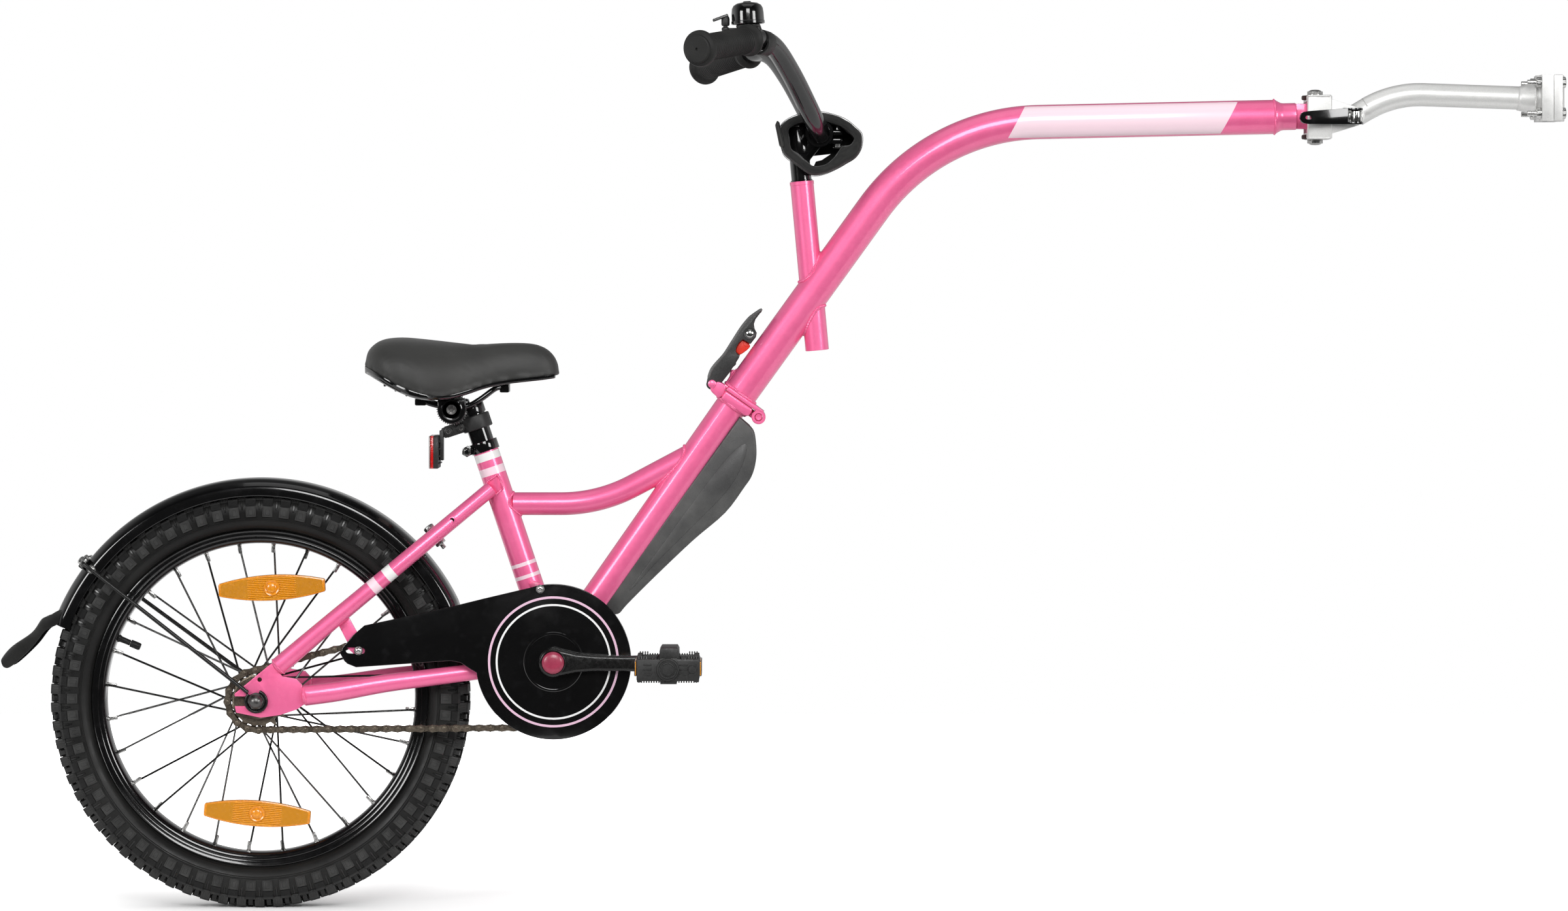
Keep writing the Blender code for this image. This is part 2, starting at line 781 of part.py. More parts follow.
guard_screw_high = Vector((0.3112, -guard_y, 0.3570))
guard_screw_low = Vector((0.1116, -guard_y, 0.2862))


def seat_tube():
    """The seat tube, open at the top for the post, with the chain guard's upper peg."""
    outer = seat_tube_radius
    bore = seatpost_radius + gap
    top = seat_tube_length
    tube = turned([(0, 0), (outer, 0), (outer, top), (bore, top), (bore, top - post_bore_depth),
                   (0, top - post_bore_depth)], bracket, seat_dir, 16)
    height = (guard_screw_high.z - bracket.z) / seat_dir.z
    root = bracket + seat_dir * height
    peg = rod(root, guard_screw_high + across * 0.0008, 0.003, 8)
    relief = rod(bracket + seat_dir * (top - post_bore_depth), bracket + seat_dir * (top + 0.01), bore, 16)
    return cut(joined(tube, peg), shell_space(), relief)


flange_split = hinge_reach + 0.0037
rear_flange_top = flange_split - gap / 2
front_flange_base = flange_split + gap / 2


def seat_tube_space():
    return rod(bracket, bracket + seat_dir * seat_tube_length, seat_tube_radius + gap, 16)


def down_tube():
    end = rear_flange_top - rear_flange_thickness - gap
    tube = rod(bracket, bracket + down_dir * end, down_tube_radius, 16)
    return cut(tube, shell_space(), seat_tube_space())


def down_tube_space():
    return rod(bracket, bracket + down_dir * rear_flange_top, down_tube_radius + gap, 16)


mid_tube_height = 0.4453
mid_tube_corner_x = 0.3748
mid_tube_rise = radians(28)
mid_tube_bend = 0.170


def mid_tube():
    """The curved tube between the seat tube and the down tube."""
    seat_share = (mid_tube_height - bracket.z) / seat_dir.z
    start = bracket + seat_dir * seat_share
    corner = Vector((mid_tube_corner_x, 0, mid_tube_height))
    rise = Vector((cos(mid_tube_rise), 0, sin(mid_tube_rise)))
    offset = (corner - bracket).dot(down_side)
    end = corner + rise * (offset / -rise.dot(down_side))
    path = filleted([start, corner, end], mid_tube_bend, 4)
    return cut(sweep(path, mid_tube_radius, 12), seat_tube_space(), down_tube_space())


dropout_y = dropout_spacing / 2 + dropout_thickness / 2
axle_slot_half = axle_radius + 0.0003


def dropout(side):
    """A plate with a rearward slot for the axle and an eye for the mudguard stay."""
    z = hub.z
    slot = axle_slot_half
    outline = [(-0.0235, z + slot), (-0.0240, z + 0.0080), (0.0140, z + 0.0395), (0.0175, z + 0.0420),
               (0.0285, z + 0.0270), (0.0440, z + 0.0245), (0.0500, z + 0.0180), (0.0525, z - 0.0035),
               (0.0450, z - 0.0088), (0.0260, z - 0.0152), (0.0050, z - 0.0180), (-0.0220, z - 0.0125),
               (-0.0235, z - slot)]
    outline += [(0.0010 + slot * cos(radians(a)), z + slot * sin(radians(a))) for a in range(-90, 91, 30)]
    centre = dropout_y * side
    plate = extruded(outline, centre - dropout_thickness / 2, centre + dropout_thickness / 2)
    eye = rod(stay_eye(side, 0.045), stay_eye(side, 0.075), 0.0026, 10)
    return cut(plate, eye)


def stay_eye(side, y):
    return Vector((0.0036, side * y, 0.2550))


def dropout_space(side):
    """Room for a dropout inside the end of a stay that is slotted over it."""
    y = dropout_y * side
    half = dropout_thickness / 2 + gap
    z = hub.z
    outline = [(-0.0240, z - 0.018), (0.0528, z - 0.018), (0.0528, z + 0.0192), (0.0458, z + 0.0252),
               (0.0293, z + 0.0277), (0.0180, z + 0.0428), (-0.0240, z + 0.0428)]
    return extruded(outline, y - half, y + half)


chainstay_route = ((0.0532, 0.0580, 0.2372), (0.0900, 0.0560, 0.2418), (0.1400, 0.0505, 0.2500),
                   (0.1900, 0.0425, 0.2560), (0.2400, 0.0340, 0.2620), (0.2850, 0.0265, 0.2680),
                   (0.3257, 0.0215, 0.2740))
chainstay_radii = (0.0112, 0.0108, 0.0099, 0.0094, 0.0091, 0.0090, 0.0088)
seatstay_route = ((0.0370, 0.0580, 0.2805), (0.0755, 0.0560, 0.3127), (0.1179, 0.0515, 0.3480),
                  (0.1616, 0.0445, 0.3845), (0.2000, 0.0340, 0.4165), (0.2380, 0.0215, 0.4480),
                  (0.2650, 0.0115, 0.4705))
seatstay_radii = (0.0102, 0.0094, 0.0090, 0.0087, 0.0084, 0.0083, 0.0083)


def stay_path(route, radii, side, steps):
    points = [(x, y * side, z) for x, y, z in route]
    path = smooth_path(points, steps)
    values = smooth_path([(radius, 0, 0) for radius in radii], steps)
    return path, [value.x for value in values]


def chainstay(side):
    path, radii = stay_path(chainstay_route, chainstay_radii, side, 1)
    tube = sweep(path, radii, 12, flatness=0.85)
    return cut(tube, dropout_space(side), shell_space())


def seatstay(side):
    """A tapering stay; the near one carries the chain guard's tab, the far one the bridge."""
    path, radii = stay_path(seatstay_route, seatstay_radii, side, 1)
    tube = sweep(path, radii, 12)
    if side < 0:
        low = -(guard_y - gap)
        outline = [(0.0860, 0.3190), (0.1010, 0.3310), (0.1190, 0.2900)]
        outline += arc((guard_screw_low.x, guard_screw_low.z), 0.0070, 20, -140, 4)
        tube = joined(tube, extruded(outline, low, low + 0.0020))
    else:
        tube = joined(tube, rod(bridge_end(1), bridge_end(-1), bridge_radius, 8))
        path, radii = stay_path(seatstay_route, seatstay_radii, -side, 1)
        tube = cut(tube, sweep(path, [radius + gap for radius in radii], 12))
    return cut(tube, dropout_space(side), seat_tube_space(), mirror_plane(side))


def mirror_plane(side):
    """Everything of a stay that would cross the mid-plane near the seat tube."""
    return block(Vector((0.262, -0.025 * side, 0.470)), (0.06, 0.05 - 2 * gap, 0.08))


bridge_radius = 0.0050


def bridge_end(side):
    return Vector((0.1960, 0.0350 * side, 0.4130))

# Hinge and latch

centre_knuckle_half = 0.0072
knuckle_gap = 0.0003
tongue_half = 0.0120
lug_half = 0.0040
cheek_inner = lever_width / 2 + gap
cheek_thickness = 0.0034
front_flange_top = front_flange_base + front_flange_thickness


def along_tube(points):
    """(x, z) points from places along and off the down tube."""
    return [(place.x, place.z) for place in (at_down_tube(along, side) for along, side in points)]


def hinge_barrel(radius, y_low, y_high, segments=10):
    return rod(hinge + across * y_low, hinge + across * y_high, radius, segments)


def rear_flange():
    """The lower half of the hinge: a thick plate with the middle knuckle and a latch tongue."""
    top = rear_flange_top
    base = top - rear_flange_thickness
    half = flange_width / 2
    far = hinge_offset - knuckle_radius - 0.0016
    plate = extruded(along_tube([(base, -0.0148), (top, -0.0148), (top, far), (base, far)]),
                     -half, half, bevel=0.0012)
    inset = 0.0002
    tongue = extruded(along_tube([(base + 0.002, -0.0195), (top - inset, -0.0195), (top - inset, -0.010),
                                  (base + 0.002, -0.010)]), -tongue_half, tongue_half)
    web = extruded(along_tube([(base + 0.001, far - 0.004), (top, far - 0.004), (top, hinge_offset),
                               (base + 0.001, hinge_offset)]), -centre_knuckle_half, centre_knuckle_half)
    barrel = hinge_barrel(knuckle_radius, -centre_knuckle_half, centre_knuckle_half)
    bore = hinge_barrel(hinge_pin_radius + pivot_gap, -half, half, 12)
    return cut(joined(plate, tongue, web, barrel), bore)


def front_flange():
    """The upper half: a thin plate, two outer knuckles, the latch lug and a small rib."""
    base = front_flange_base
    top = front_flange_top
    half = flange_width / 2
    plate = extruded(along_tube([(base, -0.0148), (top, -0.0148), (top, hinge_offset - 0.001),
                                 (base, hinge_offset - 0.001)]), -half, half)
    inset = 0.0002
    tongue = extruded(along_tube([(base + inset, -0.0200), (top - inset, -0.0200), (top - inset, -0.010),
                                  (base + inset, -0.010)]), -tongue_half, tongue_half)
    lug = extruded(along_tube([(base + 0.0008, -0.0205), (base + 0.0008, -0.015), (top - 0.0008, -0.015),
                               (latch_reach + 0.0044, -latch_offset - 0.001),
                               (latch_reach - 0.0044, -latch_offset + 0.001)]),
                   0.0002 - lug_half, lug_half - 0.0002)
    eye = rod(latch - across * lug_half, latch + across * lug_half, 0.0056, 10)
    rib = extruded(along_tube([(top - 0.0025, -0.0192), (0.3729, -0.0215), (0.3751, -0.0156),
                               (top - 0.0025, -0.0125)]), -0.0035, 0.0035)
    start = centre_knuckle_half + knuckle_gap
    barrel = hinge_barrel(knuckle_radius, 0.0002 - half, half - 0.0002)
    room = extruded(along_tube([(base - 0.02, 0.0190), (top + 0.02, 0.0190), (top + 0.02, 0.060),
                                (base - 0.02, 0.060)]), -start, start)
    bore = hinge_barrel(hinge_pin_radius + pivot_gap, -half - 0.01, half + 0.01, 12)
    latch_bore = rod(latch - across * 0.02, latch + across * 0.02, latch_pin_radius + pivot_gap, 10)
    body = joined(plate, barrel)
    body = joined(body, tongue)
    body = joined(body, lug, eye)
    body = joined(body, rib)
    return cut(body, room, bore, latch_bore, boom_space())


def hinge_pin():
    half = flange_width / 2
    radius = hinge_pin_radius
    return turned([(radius - 0.0008, -half - 0.0006), (radius, -half + 0.0004), (radius, half - 0.0004),
                   (radius - 0.0008, half + 0.0006)], hinge, across, 12)


catch_pivot = Vector((0.5413, 0, 0.6338))
catch_bolt_radius = 0.0020
catch_slot_half = 0.0042
catch_half = 0.0080


def latch_lever():
    """A cast lever along the boom, forked round the latch lug, with a pocket for the catch."""
    base = arc((latch.x, latch.z), 0.0066, 185, 325, 5)
    edge = [(0.5104, 0.5805), (0.5227, 0.5966), (0.5275, 0.6040), (0.5222, 0.6110), (0.5315, 0.6262),
            (0.5415, 0.6215), (0.5480, 0.6298), (0.5487, 0.6356), (0.5458, 0.6414), (0.5473, 0.6486),
            (0.5545, 0.6580), (0.5538, 0.6616), (0.5465, 0.6580), (0.5357, 0.6471), (0.5068, 0.6089),
            (0.4981, 0.5980), (0.4940, 0.5872)]
    half = lever_width / 2
    body = extruded(base + edge, -half, half)
    bolt = turned([(0.0034, -half - 0.0016), (0.0040, -half), (catch_bolt_radius, -half),
                   (catch_bolt_radius, half), (0.0040, half), (0.0034, half + 0.0016)],
                  catch_pivot, across, 8)
    fork = extruded([(0.485, 0.565), (0.512, 0.565), (0.512, 0.589), (0.485, 0.589)],
                    -lug_half - gap, lug_half + gap)
    slot = extruded([(0.5190, 0.6075), (0.5485, 0.6105), (0.5520, 0.6380), (0.5440, 0.6425),
                     (0.5330, 0.6385)], -catch_slot_half, catch_slot_half)
    bore = rod(latch - across * 0.02, latch + across * 0.02, latch_pin_radius + pivot_gap, 10)
    return joined(cut(body, fork, slot, bore), bolt)


def safety_catch():
    """The sprung catch: a wide thumb pad on a narrow arm that turns on the lever's bolt."""
    pad = extruded([(0.5285, 0.6058), (0.5248, 0.6108), (0.5333, 0.6235), (0.5408, 0.6195),
                    (0.5350, 0.6085)], -catch_half, catch_half, bevel=0.0010)
    half = catch_slot_half - gap
    arm = extruded([(0.5330, 0.6180), (0.5385, 0.6160), (0.5450, 0.6335), (0.5375, 0.6345)], -half, half)
    eye = rod(catch_pivot - across * half, catch_pivot + across * half, 0.0042, 10)
    bore = rod(catch_pivot - across * 0.02, catch_pivot + across * 0.02, catch_bolt_radius + pivot_gap, 8)
    return cut(joined(pad, arm, eye), bore)


def latch_clasp():
    """Two cheeks on one pin that close over the flange tongues from both sides."""
    outline = along_tube([(0.3414, -0.0297), (0.3400, -0.0191), (0.3417, -0.0160), (0.3503, -0.0156),
                          (0.3548, -0.0170), (0.3561, -0.0250), (0.3530, -0.0350), (0.3460, -0.0355)])
    outer = cheek_inner + cheek_thickness
    near = extruded(outline, -outer, -cheek_inner)
    far = extruded(outline, cheek_inner, outer)
    end = outer + 0.0022
    radius = latch_pin_radius
    pin = turned([(0.0038, -end), (0.0046, -outer), (radius, -outer), (radius, outer), (0.0046, outer),
                  (0.0038, end)], latch, across, 8)
    return joined(near, far, pin)

# Front frame

boom_dir = Vector((cos(boom_slope), 0, sin(boom_slope)))
boom_upper_dir = Vector((cos(boom_upper_slope), 0, sin(boom_upper_slope)))
boom_start = at_down_tube(flange_split, 0)
boom_corner = boom_start + boom_dir * boom_corner_reach
shoulder = boom_corner + boom_upper_dir * boom_upper_length


def boom_space():
    low = boom_start + boom_dir * (front_flange_thickness + 0.0004)
    return rod(low, boom_start + boom_dir * 0.2, boom_radius + gap, 12)


head_dir = Vector((-sin(head_tube_lean), 0, cos(head_tube_lean)))
head_top = Vector((0.5987, 0, 0.8023))
head_bottom = head_top - head_dir * head_tube_length
yaw = Vector((yaw_x, 0, hitch_z))
pitch = Vector((pitch_x, 0, hitch_z + 0.0006))
tongue_thickness = 0.0100
barrel_radius = 0.0095
cavity_half_height = 0.0175


def front_tube():
    """The bent boom, its stepped neck, and the flat tongue with the yaw barrel."""
    start = boom_start + boom_dir * (front_flange_thickness + 0.0007)
    radius = boom_radius
    path = filleted([start, boom_corner, shoulder], boom_bend_radius, 4)
    radii = [radius] * len(path)
    step = boom_upper_dir * 0.006
    path += [shoulder + step * 1.6, shoulder + boom_upper_dir * neck_length]
    radii += [neck_radius, neck_radius]
    boom = sweep(path, radii, 12)
    neck_end = path[-1]
    tongue = block((neck_end + yaw) / 2 + Vector((-0.004, 0, 0)),
                   ((yaw - neck_end).x + 0.012, tongue_thickness, 2 * neck_radius - 0.002))
    barrel = rod(yaw - Vector((0, 0, cavity_half_height - gap)),
                 yaw + Vector((0, 0, cavity_half_height - gap)),
                 barrel_radius, 14)
    head_space = rod(head_bottom - head_dir * 0.02, head_top + head_dir * 0.02, head_tube_radius + gap, 16)
    bolt = rod(yaw - Vector((0, 0, 0.04)), yaw + Vector((0, 0, 0.04)), yaw_bolt_radius + pivot_gap, 12)
    return cut(joined(boom, tongue, barrel), head_space, bolt)


yaw_bolt_radius = 0.0042


def head_tube():
    bore = quill_radius + gap
    outer = head_tube_radius
    length = head_tube_length
    return turned([(bore, 0), (outer - 0.0006, 0), (outer, 0.0006), (outer, length - 0.0006),
                   (outer - 0.0006, length), (bore, length)], head_bottom, head_dir, 16, closed=True)

# Steering bar

bar_centre = Vector((0.6180, 0, 0.8555))
stem_clamp_half = 0.0200
quill_depth = 0.100
quill_rise = 0.0270


def stem_path():
    start = head_top - head_dir * quill_depth
    turn = head_top + head_dir * quill_rise
    return filleted([start, turn, bar_centre], 0.020, 3)


def stem():
    """A bent quill with its wedge end below and the bar's split clamp above."""
    post = sweep(stem_path(), quill_radius, 12)
    clamp = rod(bar_centre - across * stem_clamp_half, bar_centre + across * stem_clamp_half, 0.0158, 14)
    ear = block(bar_centre + Vector((0.017, 0, -0.004)), (0.016, 0.018, 0.014))
    sides = 16
    reach = across * (stem_clamp_half + 0.01)
    bore = rod(bar_centre - reach, bar_centre + reach, (bar_radius + gap) / cos(pi / sides), sides)
    return cut(joined(post, clamp, ear), bore)


bar_route = ((0.6180, 0.0, 0.8555), (0.6180, 0.0240, 0.8555), (0.6178, 0.0310, 0.8562),
             (0.6080, 0.0640, 0.8760),
             (0.5850, 0.1050, 0.9200), (0.5640, 0.1400, 0.9480), (0.5400, 0.1720, 0.9510),
             (0.4880, 0.2700, 0.9380))


def bar_path(side, steps):
    return smooth_path([(x, y * side, z) for x, y, z in bar_route], steps)


def bar_sweep(radius):
    near = bar_path(-1, 2)
    far = bar_path(1, 2)
    return sweep(list(reversed(near))[:-1] + far, radius, 8)


def handlebar():
    return bar_sweep(bar_radius)


def grip(side):
    """A rubber grip with a guard at each end and ribs between them, closed over the bar's end."""
    end = Vector(bar_route[-1])
    inner = Vector(bar_route[-2])
    end.y *= side
    inner.y *= side
    inward = (inner - end).normalized()
    profile = [(0.0138, 0), (0.0195, 0.0040), (0.0195, 0.0086), (0.0142, 0.0095)]
    ribs = 3
    for index in range(ribs):
        height = 0.0200 + index * (grip_length - 0.040) / (ribs - 1)
        profile += [(0.0134, height - 0.0060), (0.0143, height)]
    profile += [(0.0140, grip_length - 0.0095), (0.0175, grip_length - 0.0080),
                (0.0175, grip_length - 0.0045), (0.0138, grip_length)]
    body = turned([(0, 0)] + profile + [(0, grip_length)], end - inward * 0.0060, inward, 8)
    return cut(body, bar_sweep(bar_radius + gap))


bell_dome_radius = 0.0178


def stem_pad():
    """A quilted band wrapped round the clamp, open at both sides, with its overlap at the back."""
    centre = Vector((0.6200, 0, 0.8420))
    count = 20
    outer = []
    inner = []
    for index in range(count):
        angle = 2 * pi * index / count
        reach = 0.0400 + 0.0042 * cos(2 * angle) - 0.0035 * sin(3 * angle)
        puff = 0.0010 * cos(6 * angle)
        outer.append((reach + puff, angle))
        inner.append((reach - pad_thickness, angle))
    rows = []
    mesh_data = bmesh.new()
    half = pad_width / 2
    bulge = ((-1.0, 0.0026), (-0.86, 0.0), (0.86, 0.0), (1.0, 0.0026))
    for y, drop in bulge:
        rows.append([mesh_data.verts.new(centre + Vector(((r - drop) * cos(a), y * half,
                                                          (r - drop) * sin(a))))
                     for r, a in outer])
    for y, drop in reversed(bulge[::3]):
        rise = drop * 0.8
        rows.append([mesh_data.verts.new(centre + Vector(((r + rise) * cos(a), y * half,
                                                          (r + rise) * sin(a))))
                     for r, a in inner])
    for one, other in zip(rows, rows[1:] + rows[:1]):
        join_rings(mesh_data, one, other)
    room = sweep(stem_path(), quill_radius + 0.0010, 12)
    return cut(mesh_data, room)


pad_thickness = 0.0085
pad_width = 0.0560

# Bell

bell_centre = Vector((0.5394, -0.1490, 0.9694))
bell_bar_point = Vector((0.5562, -0.1490, 0.9480))
bell_pivot = Vector((0.5310, -0.1490, 0.9660))


def bell():
    """A hollow dome on a stud, its base plate, its foot and the clip round the bar."""
    radius = bell_dome_radius
    up = Vector((0, 0, 1))
    outer = [(0, 0.0250), (radius * 0.45, 0.0228), (radius * 0.85, 0.0140), (radius, 0)]
    inner = [(r - 0.0012 * (r > 0), h - 0.0014 * (h > 0)) for r, h in reversed(outer)]
    dome = turned(outer + inner, bell_centre, up, 10)
    stud = rod(bell_centre - up * 0.0030, bell_centre + up * 0.0244, 0.0028, 6)
    base = rod(bell_centre - up * 0.0036, bell_centre - up * 0.0004, 0.0130, 10)
    foot = rod(bell_centre + Vector((0.0085, 0, -0.002)), bell_bar_point, 0.0042, 6)
    path = bar_path(-1, 2)
    nearest = min(range(1, len(path) - 1), key=lambda i: (path[i] - bell_bar_point).length)
    along = (path[nearest + 1] - path[nearest - 1]).normalized()
    middle = path[nearest]
    clip = rod(middle - along * 0.0060, middle + along * 0.0060, bar_radius + 0.0028, 8)
    peg = rod(bell_pivot + up * 0.001, bell_pivot - up * 0.0040, 0.0018, 8)
    return cut(joined(dome, stud, base, foot, clip, peg), bar_sweep(bar_radius + gap))


def bell_lever():
    """A thumb lever under the bell's base plate; it turns on an upright peg."""
    y = bell_pivot.y
    low = bell_pivot.z - 0.0031
    high = bell_centre.z - 0.0036 - gap
    hub_ring = rod(Vector((bell_pivot.x, y, low)), Vector((bell_pivot.x, y, high)), 0.0042, 8)
    arm = block(Vector((0.5215, y, (low + high) / 2)), (0.019, 0.0044, high - low))
    post = block(Vector((0.5135, y, (low + 0.9795) / 2)), (0.0034, 0.0032, 0.9795 - low))
    paddle = block(Vector((0.5098, y, 0.9762)), (0.0160, 0.0034, 0.0092))
    bore = rod(bell_pivot - Vector((0, 0, 0.01)), bell_pivot + Vector((0, 0, 0.01)), 0.0018 + pivot_gap, 8)
    return cut(joined(hub_ring, arm, post, paddle), bore)

# Seat

collar_height = 0.0124
collar_radius = 0.0158
post_top = 0.2985          # along the seat tube, from the bottom bracket
sleeve_radius = 0.0143
saddle_pivot = Vector((0.2122, 0, 0.5500))
cheek_radius = 0.0156
clamp_core_radius = 0.0115
clamp_core_half = 0.0136
rail_radius = 0.0028


def seat_point(along, back=0.0, y=0.0):
    return bracket + seat_dir * along - seat_side * back + across * y


def seat_collar():
    """A split ring round the top of the seat tube, with its bolt lug behind."""
    low = seat_tube_length - collar_height + 0.0014
    ring = turned([(seat_tube_radius + gap, low), (collar_radius, low),
                   (collar_radius, low + collar_height - 0.0014),
                   (seat_tube_radius + gap, low + collar_height - 0.0014)], bracket, seat_dir, 16,
                   closed=True)
    middle = low + collar_height / 2
    lug = seat_point(middle, collar_radius + 0.0038)
    ears = [rod(lug + across * y * 0.0010, lug + across * y * 0.0085, 0.0061, 6) for y in (-1, 1)]
    web = [block(seat_point(middle, collar_radius, y * 0.0046), (0.009, 0.0072, 0.0100),
                 (seat_side, across, seat_dir)) for y in (-1, 1)]
    bolt = rod(lug - across * 0.0105, lug + across * 0.0105, 0.0038, 6)
    room = rod(bracket, seat_point(0.3), seat_tube_radius + gap, 16)
    return cut(joined(ring, *ears, *web, bolt), room)


def seatpost():
    """The post, its sleeve at the top and the cross barrel that the saddle clamp grips."""
    start = seat_tube_length - post_bore_depth + 0.012
    post = turned([(seatpost_radius - 0.0016, start), (seatpost_radius, start + 0.0016),
                   (seatpost_radius, post_top - 0.001), (seatpost_radius - 0.001, post_top)],
                  bracket, seat_dir, 16)
    sleeve = turned([(sleeve_radius, post_top - 0.0138), (sleeve_radius, post_top - 0.0022),
                     (sleeve_radius - 0.001, post_top - 0.0012)],
                    bracket, seat_dir, 12)
    barrel = rod(saddle_pivot - across * clamp_core_half, saddle_pivot + across * clamp_core_half,
                 clamp_core_radius, 12)
    neck = block(saddle_pivot + seat_side * 0.008, (0.018, 0.020, 0.0116), (seat_side, across, seat_dir))
    bore = rod(saddle_pivot - across * 0.03, saddle_pivot + across * 0.03, 0.0030 + pivot_gap, 12)
    return cut(joined(post, sleeve, barrel, neck), bore)


def saddle_clamp():
    """Two serrated cheeks on the cross bolt, grooved for the rails."""
    start = clamp_core_half + gap
    end = 0.0265
    cheeks = []
    for side in (-1, 1):
        centre = saddle_pivot + across * side * start
        out = across * side
        wide = end - start
        profile = [(cheek_radius, 0), (cheek_radius, wide), (0.0060, wide), (0.0060, wide + 0.0024)]
        cheeks.append(turned(profile, centre, out, 12))
    bolt = rod(saddle_pivot - across * (start + 0.004), saddle_pivot + across * (start + 0.004), 0.0030, 12)
    rails = sweep(rail_path(), rail_radius + gap, 5)
    return cut(joined(bolt, *cheeks), rails)


rail_route = ((0.1790, 0.0225, 0.5606), (0.1900, 0.0215, 0.5562), (0.2060, 0.0205, 0.5530),
              (0.2280, 0.0200, 0.5535), (0.2430, 0.0190, 0.5610), (0.2590, 0.0150, 0.5725),
              (0.2690, 0.0080, 0.5752))


def rail_path():
    near = [Vector((x, -y, z)) for x, y, z in rail_route]
    far = [Vector((x, y, z)) for x, y, z in reversed(rail_route)]
    return smooth_path(near + far, 2)


def saddle_rails():
    return sweep(rail_path(), rail_radius, 5)


saddle_sections = ((0.1163, 0.6050, 0.5975, 0.030), (0.1185, 0.6150, 0.5962, 0.044),
                   (0.1240, 0.6217, 0.5935, 0.055), (0.1330, 0.6275, 0.5885, 0.065),
                   (0.1450, 0.6300, 0.5820, 0.072), (0.1600, 0.6304, 0.5745, 0.0745),
                   (0.1780, 0.6284, 0.5675, 0.071), (0.1950, 0.6262, 0.5640, 0.062),
                   (0.2120, 0.6240, 0.5648, 0.051), (0.2300, 0.6226, 0.5695, 0.041),
                   (0.2480, 0.6226, 0.5755, 0.034), (0.2660, 0.6240, 0.5795, 0.029),
                   (0.2850, 0.6246, 0.5822, 0.026), (0.3020, 0.6235, 0.5840, 0.0235),
                   (0.3150, 0.6190, 0.5855, 0.0200), (0.3240, 0.6115, 0.5868, 0.0155),
                   (0.3290, 0.6030, 0.5880, 0.0105), (0.3308, 0.5955, 0.5890, 0.0050))


def section_ring(mesh_data, x, top, bottom, half):
    """One cross section of the cushion: a crowned top over sides that tuck in below."""
    ring = []
    count = 10
    tall = top - bottom
    for index in range(count + 1):
        angle = pi * index / count
        y = half * abs(cos(angle)) ** 0.72 * (1 if cos(angle) >= 0 else -1)
        z = bottom + tall * (0.16 + 0.84 * abs(sin(angle)) ** 0.80)
        ring.append(mesh_data.verts.new((x, y, z)))
    for share, height in ((-0.97, 0.0), (-0.45, 0.0), (0.45, 0.0), (0.97, 0.0)):
        ring.append(mesh_data.verts.new((x, half * share, bottom + tall * height)))
    return ring


def saddle_cover():
    mesh_data = bmesh.new()
    rings = [section_ring(mesh_data, *section) for section in saddle_sections]
    for one, other in zip(rings, rings[1:]):
        join_rings(mesh_data, one, other)
    mesh_data.faces.new(rings[0])
    mesh_data.faces.new(rings[-1])
    return cut(mesh_data, cheek_room())


def cheek_room():
    """The hollow under the saddle that clears the clamp."""
    half = 0.0300
    return rod(saddle_pivot - across * half, saddle_pivot + across * half, cheek_radius + 0.0012, 16)


def saddle_shell():
    """The moulded base under the cushion: thick at the back, thin at the nose, with rail sockets."""
    mesh_data = bmesh.new()
    rings = []
    for x, top, bottom, half in saddle_sections[1:-2]:
        deep = 0.0062 if x < 0.19 else 0.0026
        high = bottom - gap
        width = half * 0.94
        ring = [mesh_data.verts.new((x, y * width, high)) for y in (-1, 1)]
        ring += [mesh_data.verts.new((x, y * width * 0.93, high - deep)) for y in (1, -1)]
        rings.append(ring)
    for one, other in zip(rings, rings[1:]):
        join_rings(mesh_data, one, other)
    mesh_data.faces.new(rings[0])
    mesh_data.faces.new(rings[-1])
    sockets = []
    for side in (-1, 1):
        x, y, z = rail_route[0]
        sockets.append(block(Vector((x - 0.001, y * side, z - 0.0004)), (0.012, 0.012, 0.0112)))
    nose = Vector((0.2700, 0, 0.5735))
    sockets.append(block(nose, (0.010, 0.030, 0.0105)))
    rails = sweep(rail_path(), rail_radius + gap, 5)
    return cut(joined(mesh_data, *sockets), rails, cheek_room())


reflector_along = 0.2757
band_height = 0.0160


def reflector_bracket():
    """A band round the post with an arm behind it, and a plate that carries the reflector."""
    low = reflector_along - band_height / 2
    band = turned([(0.0155, low), (0.0167, low + 0.001), (0.0167, low + band_height - 0.001),
                   (0.0155, low + band_height)], bracket, seat_dir, 12)
    arm_end = Vector((0.2050, 0, 0.5245))
    middle = seat_point(reflector_along)
    direction = (arm_end - middle).normalized()
    square = across.cross(direction)
    arm = block((middle + arm_end) / 2, ((middle - arm_end).length, 0.014, 0.0128),
                (direction, across, square))
    end = rod(arm_end - across * 0.007, arm_end + across * 0.007, 0.0064, 8)
    plate = block(Vector((0.2000, 0, 0.5100)), (0.0040, 0.020, 0.0330))
    bolts = []
    for place in (Vector((0.2076, 0, 0.5252)), Vector((0.2218, 0, 0.5292))):
        bolts.append(rod(place - across * 0.0092, place + across * 0.0092, 0.0032, 6))
    room = rod(seat_point(0.20), seat_point(0.35), seatpost_radius + gap, 16)
    return cut(joined(band, arm, end, plate, *bolts), room)


def rear_reflector():
    """A red lens in a shallow dark case, upright behind the seatpost."""
    return block(Vector((0.1926, 0, 0.5030)), (0.0102, 0.056, 0.0360), bevel=0.0015)

# Mudguard, guards

mudguard_outer_radius = 0.2433
mudguard_wall = 0.0018
mudguard_half_width = 0.0300
mudguard_front = 24        # degrees up from straight ahead, round the axle
mudguard_back = 160


